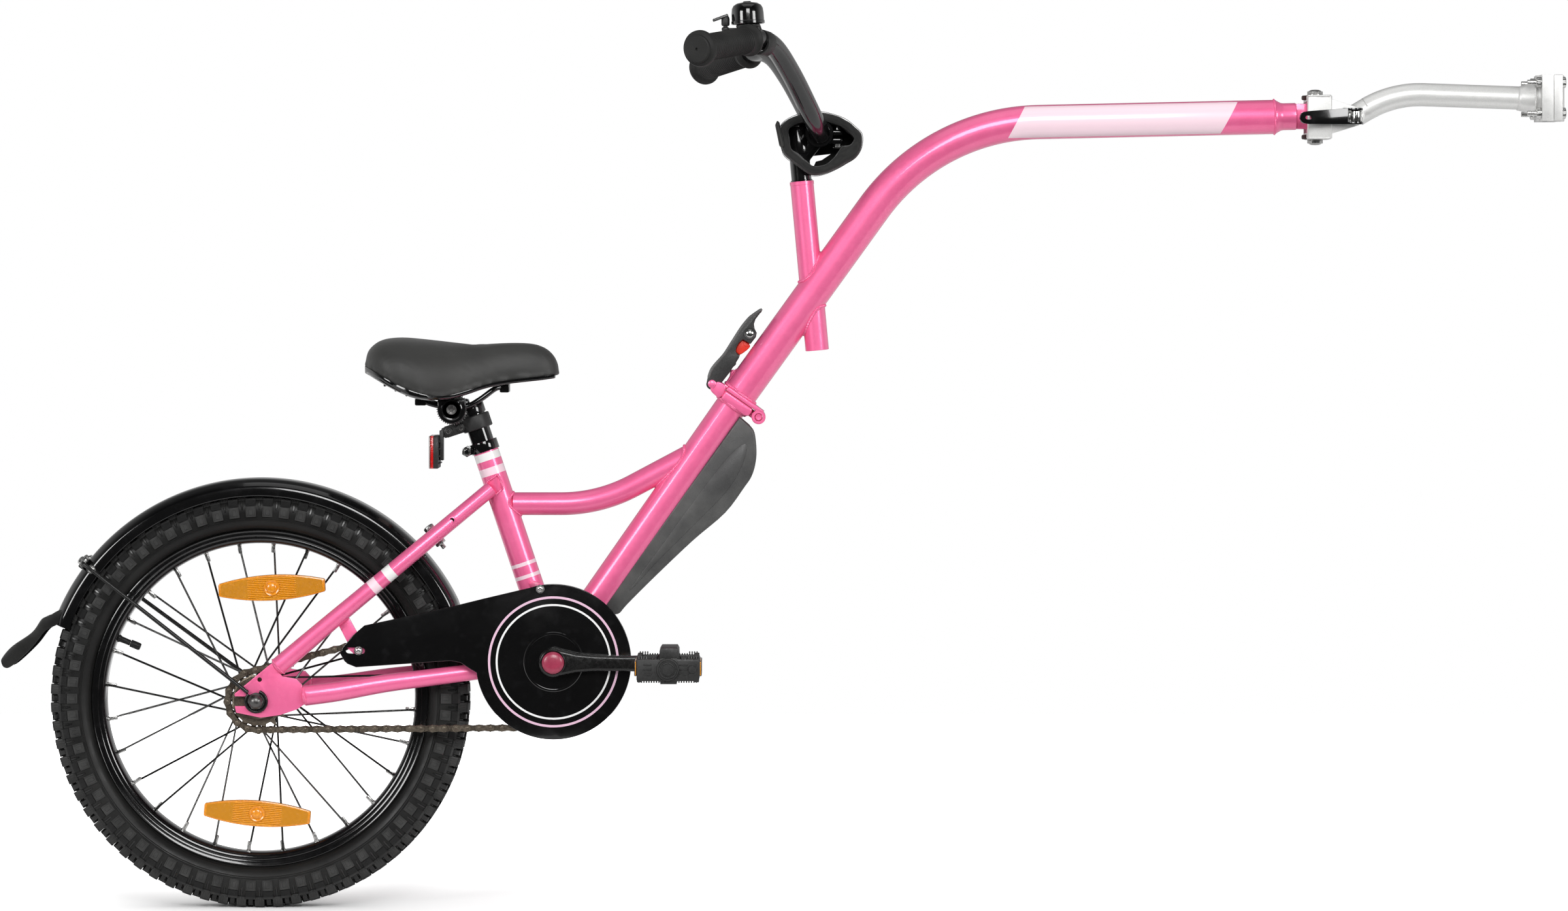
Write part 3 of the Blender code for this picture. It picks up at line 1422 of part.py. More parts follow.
def mudguard_shape(margin=0.0, back=mudguard_back):
    """A channel swept round the wheel; a margin makes the room that it needs."""
    outer = [(-0.0300, 0.2235), (-0.0300, 0.2355), (-0.0160, 0.2433),
             (0.0160, 0.2433), (0.0300, 0.2355), (0.0300, 0.2235)]
    section = [(y + margin * (1 if y > 0 else -1), r + margin) for y, r in outer]
    wall = mudguard_wall + 2 * margin
    inner = [((abs(y) - wall) * (1 if y > 0 else -1), r - wall) for y, r in section[1:-1]]
    inner = [(section[0][0] + wall, section[0][1] - margin)] + inner
    inner.append((section[-1][0] - wall, section[-1][1] - margin))
    section = section + list(reversed(inner))
    mesh_data = bmesh.new()
    rings = []
    steps = 13
    for index in range(steps + 1):
        angle = radians(mudguard_front + (back - mudguard_front) * index / steps)
        out = Vector((cos(angle), 0, sin(angle)))
        rings.append([mesh_data.verts.new(hub + out * r + across * y) for y, r in section])
    for one, other in zip(rings, rings[1:]):
        join_rings(mesh_data, one, other)
    mesh_data.faces.new(rings[0])
    mesh_data.faces.new(rings[-1])
    return mesh_data


def mudguard():
    """The guard with the block that sits on the stay bridge, and two rivets at the wire stay."""
    bridge = (bridge_end(1) + bridge_end(-1)) / 2
    out = (bridge - hub).normalized()
    start = mudguard_outer_radius - 0.001
    end = (bridge - hub).length - bridge_radius - gap
    tangent = Vector((-out.z, 0, out.x))
    mount = block(hub + out * (start + end) / 2, (end - start, 0.022, 0.026), (out, across, tangent))
    return joined(mudguard_shape(), mount)


def mudflap():
    """A soft flap that continues the guard: a curved tongue with a lip down each side."""
    outline = [(-0.2200, 0.3290), (-0.2330, 0.3200), (-0.2395, 0.3210), (-0.2505, 0.3046), (-0.2722, 0.2894),
               (-0.2830, 0.2772), (-0.2845, 0.2714), (-0.2808, 0.2656), (-0.2722, 0.2678),
               (-0.2505, 0.2880), (-0.2361, 0.3060), (-0.2230, 0.3132), (-0.2130, 0.3250)]
    inside = [(-0.2290, 0.3165), (-0.2400, 0.3125), (-0.2480, 0.3010), (-0.2700, 0.2855), (-0.2795, 0.2740),
              (-0.2700, 0.2600), (-0.2350, 0.2900), (-0.2250, 0.3000)]
    body = extruded(outline, -0.0265, 0.0265)
    return cut(body, extruded(inside, -0.0240, 0.0240), mudguard_shape(gap))


stay_wire_radius = 0.0022


def mudguard_stay():
    """One bent wire: pegged in both dropout eyes, and over the guard between its two legs."""
    angle = radians(142.3)
    out = Vector((cos(angle), 0, sin(angle)))
    reach = mudguard_outer_radius + stay_wire_radius + gap
    lift = 0.0640
    half = mudguard_half_width + stay_wire_radius + 0.0012
    points = []
    for side in (-1, 1):
        low = stay_eye(side, lift)
        high = hub + out * (reach - 0.006) + across * side * half
        turn = hub + out * reach + across * side * (half - 0.007)
        legs = [low, low.lerp(high, 0.5), high, turn]
        points += legs if side < 0 else list(reversed(legs))
    wire = sweep(points, stay_wire_radius, 6)
    ends = []
    for side in (-1, 1):
        ends.append(rod(stay_eye(side, dropout_y - 0.002), stay_eye(side, lift + 0.003), 0.0022, 8))
        ends.append(rod(stay_eye(side, dropout_y + dropout_thickness / 2 + gap),
                        stay_eye(side, lift + 0.002),
                        0.0048, 6))
    return joined(wire, *ends)


def chain_guard():
    """A flat guard: a disc over the chainring and a tapering tail along the upper chain run."""
    outline = arc((bracket.x, bracket.z), guard_radius, 108, -172, 22)
    outline += [(0.2345, 0.2660), (0.2237, 0.2730), (0.2129, 0.2752), (0.1089, 0.2680)]
    outline += [(0.0960, 0.2750), (0.0915, 0.2831), (0.0946, 0.2902), (0.1060, 0.3035), (0.1180, 0.3139)]
    outline += [(0.1484, 0.3204), (0.2201, 0.3362), (0.2488, 0.3433)]
    outer = -(guard_y + guard_thickness)
    plate = extruded(outline, outer, -guard_y)
    hole = rod(bracket - across * 0.03, bracket - across * 0.08, guard_hole_radius, 14)
    screws = []
    for place in (guard_screw_low, Vector((0.3112, -guard_y, 0.3540))):
        start = Vector((place.x, outer + 0.0006, place.z))
        screws.append(turned([(0.0038, 0), (0.0038, 0.0012), (0.0024, 0.0022)], start, -across, 6))
    return joined(cut(plate, hole), *screws)


frame_guard_half = 0.0125


def frame_guard():
    """A moulded panel under the down tube, hollowed along the tube's curve."""
    outline = [(0.3805, 0.3346), (0.5300, 0.5420), (0.5405, 0.5330), (0.5465, 0.5240), (0.5487, 0.5042),
               (0.5472, 0.4883), (0.5429, 0.4753), (0.5357, 0.4645), (0.5140, 0.4356), (0.4779, 0.4046),
               (0.4346, 0.3634), (0.4058, 0.3346), (0.3975, 0.3250), (0.3913, 0.3230)]
    half = frame_guard_half
    body = extruded(outline, -half, half, bevel=0.003)
    flange_room = extruded(along_tube([(0.3405, -0.02), (0.36, -0.02), (0.36, 0.0500), (0.3405, 0.0500)]),
                           -0.03, 0.03)
    barrel_room = hinge_barrel(knuckle_radius + 0.0018, -0.03, 0.03)
    return cut(body, down_tube_space(), flange_room, barrel_room)

# Hitch

cavity_half_width = 0.0190
hitch_block_half_width = 0.0225
cheek_start = 0.0132
cheek_end = 0.0176
skewer_radius = 0.0030
eye_radius = 0.0105
head_y = cheek_end + 0.0112


def hitch_block():
    """A yoke over the yaw barrel, with two tapering cheeks for the tow arm's pivot."""
    back = yaw.x - 0.0107
    front = back + hitch_block_length
    half = hitch_block_half_width
    tall = hitch_block_height / 2
    body = block(Vector(((back + front) / 2, 0, yaw.z)), (hitch_block_length, 2 * half, 2 * tall),
                 bevel=0.0014)
    depth = front - 0.0062
    cavity = block(Vector(((back - 0.01 + depth) / 2, 0, yaw.z)),
                   (depth - back + 0.01, 2 * cavity_half_width, 2 * cavity_half_height))
    outline = [(front - 0.002, pitch.z - 0.0195), (front - 0.002, pitch.z + 0.0195)]
    outline += arc((pitch.x, pitch.z), eye_radius, 70, -70, 5)
    cheeks = [extruded(outline, cheek_start, cheek_end), extruded(outline, -cheek_end, -cheek_start)]
    bolt = rod(yaw - Vector((0, 0, 0.05)), yaw + Vector((0, 0, 0.05)), yaw_bolt_radius + pivot_gap, 12)
    bore = rod(pitch - across * 0.04, pitch + across * 0.04, skewer_radius + pivot_gap, 12)
    return cut(joined(body, *cheeks), cavity, bolt, bore)


def yaw_bolt():
    tall = hitch_block_height / 2 + gap
    radius = yaw_bolt_radius
    profile = [(0.0072, -tall - 0.0052), (0.0085, -tall - 0.0040), (0.0085, -tall), (radius, -tall),
               (radius, tall), (0.0085, tall), (0.0085, tall + 0.0040), (0.0072, tall + 0.0052)]
    return turned(profile, yaw, Vector((0, 0, 1)), 8)


def qr_skewer():
    """The pivot rod: a domed nut on the far side, a cup and an upright cam head on the near side."""
    near = -(cheek_end + gap)
    far = cheek_end + gap
    start = pitch + across * near
    nut = turned([(0.0074, 0), (0.0074, 0.0040), (0.0056, 0.0085), (0.0030, 0.0095)], pitch + across * far,
                 across, 8)
    rod_part = rod(start - across * 0.004, pitch + across * (far + 0.002), skewer_radius, 8)
    cup = rod(start, start - across * 0.0028, 0.0080, 10)
    head = turned([(0.0056, -0.0060), (0.0066, -0.0050), (0.0066, 0.0050), (0.0056, 0.0060)],
                  pitch - across * head_y, Vector((0, 0, 1)), 10)
    neck = block(pitch - across * (cheek_end + 0.0062), (0.0090, 0.0100, 0.0090))
    bore = rod(pitch - across * head_y - Vector((0, 0, 0.02)),
               pitch - across * head_y + Vector((0, 0, 0.02)),
               0.0022 + pivot_gap, 10)
    return cut(joined(rod_part, nut, cup, neck, head), bore)


qr_pivot = pitch - across * head_y
qr_splay = radians(9)


def qr_lever():
    """A thin lever with two tines over and under the cam head, joined by the cam's pin."""
    up = Vector((0, 0, 1))
    tip = qr_pivot + Vector((-0.0580, 0, -0.0018))
    low, high = 0.0063, 0.0090
    pin = rod(qr_pivot - up * high, qr_pivot + up * high, 0.0022, 8)
    parts = []
    for side in (-1, 1):
        parts.append(rod(qr_pivot + up * side * low, qr_pivot + up * side * high, 0.0074, 8))
        parts.append(block(qr_pivot + Vector((-0.0075, 0, side * (low + high) / 2)),
                           (0.0150, 0.0060, high - low)))
    arm_start = qr_pivot.x - 0.0100
    outline = [(arm_start, qr_pivot.z + high), (arm_start, qr_pivot.z - high)]
    outline += [(tip.x + 0.004, tip.z - 0.0072)] + arc((tip.x, tip.z), 0.0066, 250, 110, 5)
    outline += [(tip.x + 0.004, tip.z + 0.0072)]
    arm = extruded(outline, qr_pivot.y - 0.0022, qr_pivot.y + 0.0022)
    bmesh.ops.rotate(arm, cent=qr_pivot, matrix=Matrix.Rotation(qr_splay, 3, "Z"), verts=arm.verts)
    return joined(pin, arm, *parts)


tow_arm_rise = radians(31)
tow_arm_fall = radians(2.0)
tow_corner_reach = 0.0501
tow_arm_bend = 0.117
tow_arm_end = half_block_back + 0.0035
cap_thickness = 0.0095
clamp_split = clamp_bore_x
clamp_half_width = 0.0325
clamp_bolt_y = 0.0240
clamp_bolt_z = 0.0170
clamp_bolt_radius = 0.0030
clamp_wall = 0.0025


def clamp_post_space():
    middle = Vector((clamp_bore_x, 0, clamp_z))
    return rod(middle - Vector((0, 0, 0.05)), middle + Vector((0, 0, 0.05)), clamp_bore_radius, 12)


def clamp_bolt_places():
    return [(y, clamp_z + z) for y in (-clamp_bolt_y, clamp_bolt_y) for z in (-clamp_bolt_z, clamp_bolt_z)]


def clamp_body():
    middle = Vector((clamp_bore_x, 0, clamp_z))
    half = Vector((0, 0, clamp_height / 2))
    return rod(middle - half, middle + half, clamp_bore_radius + clamp_wall, 12)


def tow_arm():
    """The bent tube with its pivot eye behind and the fixed half of the clamp in front."""
    start = pitch
    rise = Vector((cos(tow_arm_rise), 0, sin(tow_arm_rise)))
    fall = Vector((cos(tow_arm_fall), 0, -sin(tow_arm_fall)))
    corner = start + rise * tow_corner_reach
    end = corner + fall * ((tow_arm_end - corner.x) / fall.x)
    path = filleted([start + rise * 0.004, corner, end], tow_arm_bend, 4)
    tube = sweep(path, tow_arm_radius, 12)
    trim = [block(Vector((pitch.x, side * (cheek_start + 0.0098), pitch.z)), (0.030, 0.02, 0.05))
            for side in (-1, 1)]
    eye_half = cheek_start - gap
    eye = rod(pitch - across * eye_half, pitch + across * eye_half, 0.0098, 10)
    ear = block(Vector(((half_block_back + clamp_split - gap) / 2 + 0.003, 0, clamp_z)),
                (clamp_split - gap - half_block_back - 0.006, 2 * clamp_half_width, clamp_height))
    boss = rod(Vector((half_block_back - 0.009, 0, end.z)), Vector((half_block_back + 0.010, 0, end.z)),
               0.0150, 12,
               end_radius=0.0190)
    front_room = block(Vector((clamp_split - gap + 0.03, 0, clamp_z)), (0.06, 0.09, 0.09))
    holes = [rod(Vector((clamp_split - 0.04, y, z)), Vector((clamp_split + 0.02, y, z)),
                 clamp_bolt_radius + gap, 6)
             for y, z in clamp_bolt_places()]
    bore = rod(pitch - across * 0.04, pitch + across * 0.04, skewer_radius + pivot_gap, 12)
    body = cut(joined(tube, eye), *trim)
    return cut(joined(body, boss, ear, clamp_body()), front_room, clamp_post_space(), bore, *holes)


def clamp_cap():
    """The loose half of the clamp, with its four bolts and their nuts."""
    back = clamp_split + gap
    ear = block(Vector((back + cap_thickness / 2, 0, clamp_z)),
                (cap_thickness, 2 * clamp_half_width, clamp_height))
    rear_room = block(Vector((back - 0.03, 0, clamp_z)), (0.06, 0.09, 0.09))
    shell = cut(joined(ear, clamp_body()), rear_room, clamp_post_space())
    bolts = []
    for y, z in clamp_bolt_places():
        head = Vector((back + cap_thickness - 0.0005, y, z))
        nut = Vector((half_block_back + 0.0060 - gap, y, z))
        forward = Vector((1, 0, 0))
        bolts.append(rod(nut - forward * 0.0125, head, clamp_bolt_radius, 6))
        bolts.append(rod(head, head + forward * 0.0046, 0.0058, 6))
        bolts.append(rod(nut - forward * 0.0052, nut, 0.0056, 6))
    return joined(shell, *bolts)

# The pieces, body by body

fold = Body("frame_fold", hinge, rear_frame)
lever_body = Body("latch_lever_turn", latch, fold)
clasp_body = Body("latch_clasp_turn", latch, fold)
catch_body = Body("safety_catch_turn", catch_pivot, lever_body)
stem_body = Body("stem_slide", head_top, fold)
bar_body = Body("handlebar_tilt", bar_centre, stem_body)
bell_body = Body("bell_lever_turn", bell_pivot, bar_body)
yaw_body = Body("hitch_yaw", yaw, fold)
tow_body = Body("tow_arm_pitch", pitch, yaw_body)
qr_body = Body("qr_lever_turn", qr_pivot, yaw_body)
post_body = Body("seatpost_slide", seat_point(seat_tube_length), rear_frame)
saddle_body = Body("saddle_tilt", saddle_pivot, post_body)

add_piece("seat_tube", seat_tube(), rear_frame, "pink")
add_piece("bb_shell", bracket_shell(), rear_frame, "pink")
add_piece("down_tube", down_tube(), rear_frame, "pink")
add_piece("mid_tube", mid_tube(), rear_frame, "pink")
for side, name in ((-1, "right"), (1, "left")):
    add_piece("chainstay_" + name, chainstay(side), rear_frame, "pink")
    add_piece("seatstay_" + name, seatstay(side), rear_frame, "pink")
    add_piece("dropout_" + name, dropout(side), rear_frame, "pink")
add_piece("rear_flange", rear_flange(), rear_frame, "pink")
add_piece("hinge_pin", hinge_pin(), rear_frame, "pink")
add_piece("wheel_axle", axle(), rear_frame, "black_paint")
add_piece("seat_collar", seat_collar(), rear_frame, "black_paint")
add_piece("frame_guard", frame_guard(), rear_frame, "black_plastic")
add_piece("chain_guard", chain_guard(), rear_frame, "black_plastic")
add_piece("chain", chain(), rear_frame, "silver")
add_piece("mudguard", mudguard(), rear_frame, "black_plastic")
add_piece("mudflap", mudflap(), rear_frame, "rubber")
add_piece("mudguard_stay", mudguard_stay(), rear_frame, "black_paint")

add_piece("tyre", tyre(), wheel, "rubber")
add_piece("inner_tube", inner_tube(), wheel, "rubber")
add_piece("rim", rim(), wheel, "black_paint")
add_piece("wheel_hub", wheel_hub(), wheel, "black_paint")
upper_place = hub + Vector((0.0129, reflector_y, 0.12175))
add_piece("wheel_reflector_upper", spoke_reflector(upper_place), wheel, "amber_plastic")
lower_place = hub + Vector((-0.0032, reflector_y, -0.12775))
add_piece("wheel_reflector_lower", spoke_reflector(lower_place), wheel, "amber_plastic")

add_piece("freewheel_sprocket", freewheel_sprocket(), sprocket, "silver")
add_piece("chainring", chainring(), crank, "black_paint")
add_piece("bb_axle", bracket_axle(), crank, "silver")
add_piece("crank_right", crank_arm(-1, right_pedal_axle), crank, "black_paint")
add_piece("crank_left", crank_arm(1, left_pedal_axle), crank, "black_paint")
add_piece("pedal_right", pedal(-1, right_pedal_axle), pedal_right, "black_plastic")
add_piece("pedal_left", pedal(1, left_pedal_axle), pedal_left, "black_plastic")

add_piece("front_tube", front_tube(), fold, "pink")
add_piece("front_flange", front_flange(), fold, "pink")
add_piece("head_tube", head_tube(), fold, "pink")
add_piece("latch_lever", latch_lever(), lever_body, "black_plastic")
add_piece("latch_clasp", latch_clasp(), clasp_body, "pink")
add_piece("safety_catch", safety_catch(), catch_body, "red_plastic")

add_piece("stem", stem(), stem_body, "black_paint")
add_piece("stem_pad", stem_pad(), stem_body, "fabric")
add_piece("handlebar", handlebar(), bar_body, "black_paint")
add_piece("grip_right", grip(-1), bar_body, "rubber")
add_piece("grip_left", grip(1), bar_body, "rubber")
add_piece("bell", bell(), bar_body, "black_plastic")
add_piece("bell_lever", bell_lever(), bell_body, "black_plastic")

add_piece("hitch_block", hitch_block(), yaw_body, "silver_paint")
add_piece("yaw_bolt", yaw_bolt(), yaw_body, "silver")
add_piece("qr_skewer", qr_skewer(), yaw_body, "chrome")
add_piece("qr_lever", qr_lever(), qr_body, "black_plastic")
add_piece("tow_arm", tow_arm(), tow_body, "silver_paint")
add_piece("clamp_cap", clamp_cap(), tow_body, "silver_paint")

add_piece("seatpost", seatpost(), post_body, "chrome")
add_piece("reflector_bracket", reflector_bracket(), post_body, "black_plastic")
add_piece("rear_reflector", rear_reflector(), post_body, "red_plastic")
add_piece("saddle_clamp", saddle_clamp(), saddle_body, "black_paint")
add_piece("saddle_rails", saddle_rails(), saddle_body, "black_paint")
add_piece("saddle_shell", saddle_shell(), saddle_body, "black_plastic")
add_piece("saddle_cover", saddle_cover(), saddle_body, "leather")

# The origin goes under the middle of the whole trailer


def settle():
    bpy.context.view_layer.update()
    corners = [piece.matrix_world @ vertex.co for piece in bpy.data.objects if piece.type == "MESH"
               for vertex in piece.data.vertices]
    low = Vector([min(corner[axis] for corner in corners) for axis in range(3)])
    high = Vector([max(corner[axis] for corner in corners) for axis in range(3)])
    middle = (low + high) / 2
    rear_frame.empty.location = Vector((-middle.x, -middle.y, -low.z))
    bpy.context.view_layer.update()
    print("size", [round(value, 4) for value in high - low], "axle x", round(-middle.x, 5))


settle()
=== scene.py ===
import bmesh
import bpy
import json
from math import acos, atan2, cos, degrees, exp, pi, radians, sin, sqrt
from mathutils import Matrix, Vector, noise


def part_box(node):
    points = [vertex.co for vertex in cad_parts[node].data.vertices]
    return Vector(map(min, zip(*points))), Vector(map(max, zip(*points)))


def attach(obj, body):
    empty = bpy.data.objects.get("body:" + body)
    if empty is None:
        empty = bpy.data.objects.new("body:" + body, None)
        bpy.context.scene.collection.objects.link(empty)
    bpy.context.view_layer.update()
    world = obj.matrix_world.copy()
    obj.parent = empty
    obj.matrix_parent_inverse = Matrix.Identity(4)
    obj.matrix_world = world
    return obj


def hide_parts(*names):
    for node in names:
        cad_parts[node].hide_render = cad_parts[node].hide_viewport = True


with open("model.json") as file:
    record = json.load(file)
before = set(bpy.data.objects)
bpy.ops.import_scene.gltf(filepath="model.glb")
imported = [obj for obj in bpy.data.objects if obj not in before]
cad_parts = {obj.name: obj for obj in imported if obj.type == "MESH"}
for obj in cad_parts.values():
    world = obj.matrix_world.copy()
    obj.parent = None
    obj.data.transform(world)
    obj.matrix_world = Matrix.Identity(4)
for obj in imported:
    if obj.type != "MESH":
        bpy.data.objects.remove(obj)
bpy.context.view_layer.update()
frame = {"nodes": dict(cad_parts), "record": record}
print("frame loaded:", len(frame["nodes"]), "nodes")

# Places are drawn from the wheel's foot, as in the part, and moved to the frame when a piece is finished
joints = {joint["name"]: joint for joint in frame["record"]["behaviour"]["joints"]}
tyreRadius = 0.23125
home = Vector(joints["wheel_spin"]["pos_m"]) - Vector((0, 0, tyreRadius))
across = Vector((0, 1, 0))
upward = Vector((0, 0, 1))


def jointPlace(name):
    return Vector(joints[name]["pos_m"]) - home


hub = jointPlace("wheel_spin")
bracket = jointPlace("crank_spin")
hinge = jointPlace("frame_fold")
latch = jointPlace("latch_lever_turn")
yaw = jointPlace("hitch_yaw")
pitch = jointPlace("tow_arm_pitch")


def polar(centre, reach, angle, y=0.0):
    return centre + Vector((cos(angle) * reach, y, sin(angle) * reach))


def mm(*places):
    # outlines, profiles and routes are written in millimetres
    return [tuple(value / 1000 for value in place) for place in places]


def at(x, y, z):
    return Vector(*mm((x, y, z)))


# Node trees: a wrapped socket takes part in sums, and one call adds any node


def maths(kind, swapped=False):
    def act(one, other=0.0):
        first, second = (other, one) if swapped else (one, other)
        node = "ShaderNodeVectorMath" if one.socket.type == "VECTOR" else "ShaderNodeMath"
        return addNode(one.tree, node, {"operation": kind}, {0: first, 1: second})
    return act


class Tap:
    def __init__(self, tree, socket):
        self.tree = tree
        self.socket = socket

    __add__ = maths("ADD")
    __radd__ = maths("ADD", True)
    __sub__ = maths("SUBTRACT")
    __rsub__ = maths("SUBTRACT", True)
    __mul__ = maths("MULTIPLY")
    __rmul__ = maths("MULTIPLY", True)
    __truediv__ = maths("DIVIDE")
    __pow__ = maths("POWER")
    __gt__ = maths("GREATER_THAN")
    __lt__ = maths("LESS_THAN")
    __abs__ = maths("ABSOLUTE")


def addNode(tree, kind, settings=None, sockets=None, output=0):
    node = tree.nodes.new(kind)
    for name, value in (settings or {}).items():
        setattr(node, name, value)
    for name, value in (sockets or {}).items():
        if isinstance(value, Tap):
            tree.links.new(value.socket, node.inputs[name])
        else:
            node.inputs[name].default_value = value
    return Tap(tree, node.outputs[output])


class Finish:
    def __init__(self, name, fixed):
        self.material = bpy.data.materials.new(name)
        self.material.use_nodes = True
        self.tree = self.material.node_tree
        self.shader = self.tree.nodes["Principled BSDF"]
        for socket, value in fixed.items():
            self.shader.inputs[socket].default_value = value
        self.spot = self.node("ShaderNodeTexCoord", output=3)

    def node(self, kind, settings=None, sockets=None, output=0):
        return addNode(self.tree, kind, settings, sockets, output)

    def drive(self, socket, value):
        self.tree.links.new(value.socket, self.shader.inputs[socket])

    def noise(self, scale, detail=2.0):
        return self.node("ShaderNodeTexNoise", None,
            {"Vector": self.spot, "Scale": scale, "Detail": detail})

    def cells(self, scale, feature="F1", output=0):
        return self.node("ShaderNodeTexVoronoi", {"feature": feature},
            {"Vector": self.spot, "Scale": scale}, output)

    def ramp(self, value, low, high, fromLow=0.0, fromHigh=1.0):
        return self.node("ShaderNodeMapRange", None,
            {"Value": value, "From Min": fromLow, "From Max": fromHigh, "To Min": low, "To Max": high})

    def mix(self, share, first, second):
        return self.node("ShaderNodeMix", {"data_type": "RGBA"}, {0: share, 6: first, 7: second}, 2)

    def tint(self, share, first, second):
        self.drive("Base Color", self.mix(share, first, second))

    def rough(self, pattern, low, high, fromLow=0.3, fromHigh=0.7):
        self.drive("Roughness", self.ramp(pattern, low, high, fromLow, fromHigh))

    def bump(self, height, distance, strength=1.0):
        self.drive("Normal", self.node("ShaderNodeBump", None,
            {"Height": height, "Distance": distance, "Strength": strength}))

    def design(self):
        return self.spot - tuple(home)

    def along(self, start, direction):
        offset = self.design() - tuple(start)
        return self.node("ShaderNodeVectorMath", {"operation": "DOT_PRODUCT"},
            {0: offset, 1: tuple(direction)}, 1)

    def round(self, centre):
        # distance from an axle along Y, and the angle about it
        split = self.node("ShaderNodeVectorMath", {"operation": "SUBTRACT"},
            {0: self.design(), 1: tuple(centre)})
        parts = self.tree.nodes.new("ShaderNodeSeparateXYZ")
        self.tree.links.new(split.socket, parts.inputs[0])
        x, z = Tap(self.tree, parts.outputs[0]), Tap(self.tree, parts.outputs[2])
        return (x * x + z * z) ** 0.5, self.node("ShaderNodeMath", {"operation": "ARCTAN2"}, {0: z, 1: x})

    def wave(self, value):
        return self.node("ShaderNodeMath", {"operation": "SINE"}, {0: value})

    def band(self, value, low, high):
        return (value > low) * (value < high)


def colour(red, green, blue):
    return (red, green, blue, 1.0)


# Finishes

pinkPaintLook = {"deep": colour(0.9, 0.12, 0.31), "bright": colour(0.97, 0.17, 0.38),
    "flake": colour(1.0, 0.5, 0.68), "flakeSize": 0.00075, "rough": 0.42, "metal": 0.36,
    "white": colour(0.86, 0.85, 0.84), "pale": colour(0.93, 0.7, 0.78)}


def pinkPaint(name, marks=()):
    look = pinkPaintLook
    paint = Finish(name, {"Metallic": look["metal"], "Coat Weight": 0.8, "Coat Roughness": 0.09,
        "IOR": 1.5})
    flake = paint.cells(1 / look["flakeSize"], output=1)
    sparkle = paint.node("ShaderNodeSeparateColor", None, {0: flake})
    cloudy = paint.noise(38.0, 3.0)
    base = paint.mix(paint.ramp(cloudy, 0.55, 1.0, 0.3, 0.7), look["deep"], look["bright"])
    base = paint.mix((sparkle > 0.93) * 0.08, base, look["flake"])
    painted = None
    for maskOf, shade in marks:
        mask = maskOf(paint)
        base = paint.mix(mask, base, look[shade])
        painted = mask if painted is None else painted + mask
    paint.drive("Base Color", base)
    paint.rough(paint.noise(210.0), look["rough"] - 0.05, look["rough"] + 0.05)
    if painted:
        paint.drive("Metallic", (1 - painted) * look["metal"])
    paint.bump(paint.noise(260.0, 1.0), 0.00008, 0.16)
    return paint


def glossBlack(name, marks=()):
    paint = Finish(name, {"IOR": 1.48, "Coat Weight": 0.6, "Coat Roughness": 0.03})
    dust = paint.ramp(paint.noise(90.0, 5.0), 0.0, 1.0, 0.56, 0.74)
    base = paint.mix(dust * 0.35, colour(0.003, 0.003, 0.0032), colour(0.016, 0.016, 0.017))
    for maskOf, shade in marks:
        base = paint.mix(maskOf(paint), base, shade)
    paint.drive("Base Color", base)
    paint.rough(paint.noise(26.0, 4.0), 0.09, 0.2)
    paint.bump(paint.noise(120.0, 1.0), 0.00012, 0.25)
    return paint


def satinBlack(name, tone=0.012, rough=0.38, grain=700.0, depth=0.00006):
    paint = Finish(name, {"IOR": 1.48})
    worn = paint.ramp(paint.noise(34.0, 4.0), 0.0, 1.0, 0.35, 0.75)
    paint.tint(worn, colour(tone, tone, tone), colour(tone * 1.9, tone * 1.9, tone * 1.85))
    fine = paint.noise(grain, 2.0)
    paint.rough(fine, rough - 0.06, rough + 0.1)
    paint.bump(fine, depth, 0.8)
    return paint


def rubber(name, tone, rough, pattern=None):
    rub = Finish(name, {"IOR": 1.45, "Specular IOR Level": 0.3})
    bloom = rub.ramp(rub.noise(19.0, 5.0), 0.0, 1.0, 0.38, 0.7)
    rub.tint(bloom, colour(tone, tone, tone * 0.98), colour(tone * 1.8, tone * 1.8, tone * 1.72))
    rub.rough(rub.noise(60.0, 3.0), rough - 0.08, rough + 0.08)
    grain = rub.noise(1300.0, 2.0) * 0.4
    if pattern:
        grain = grain + pattern(rub)
    rub.bump(grain, 0.00014, 0.6)
    return rub


def steel(name, tone=0.7, rough=0.3, tint=(1, 1, 0.98)):
    metal = Finish(name, {"Metallic": 1.0})
    grain = metal.noise(420.0, 3.0)
    patches = metal.noise(45.0, 4.0)
    light = colour(tone * tint[0], tone * tint[1], tone * tint[2])
    dark = colour(tone * 0.62 * tint[0], tone * 0.62 * tint[1], tone * 0.62 * tint[2])
    metal.tint(metal.ramp(patches, 0.35, 0.0, 0.3, 0.7), light, dark)
    metal.rough(grain, rough - 0.07, rough + 0.12)
    metal.bump(grain, 0.00005, 0.5)
    return metal


def silverPaint():
    paint = Finish("silverPaint", {"Metallic": 0.38, "Coat Weight": 0.4, "Coat Roughness": 0.18})
    glitter = paint.node("ShaderNodeSeparateColor", None, {0: paint.cells(1500.0, output=1)})
    paint.tint(glitter * 0.5, colour(0.72, 0.72, 0.705), colour(0.86, 0.86, 0.85))
    paint.rough(paint.noise(150.0, 3.0), 0.34, 0.46)
    paint.bump(paint.noise(260.0, 2.0), 0.00012, 0.35)
    return paint


def moulded(name, tint, rough=0.22, pitchSize=0.0021, depth=0.0007):
    lens = Finish(name, {"IOR": 1.49, "Coat Weight": 0.8, "Coat Roughness": 0.03})
    prism = lens.cells(1 / pitchSize, "DISTANCE_TO_EDGE")
    tone = lens.ramp(prism, 0.45, 1.0, 0.0, 0.35)
    dark = colour(tint[0] * 0.62, tint[1] * 0.5, tint[2] * 0.35)
    lens.tint(tone, dark, tint)
    lens.rough(lens.noise(200.0), rough - 0.05, rough + 0.08)
    lens.bump(prism, depth, 0.6)
    return lens


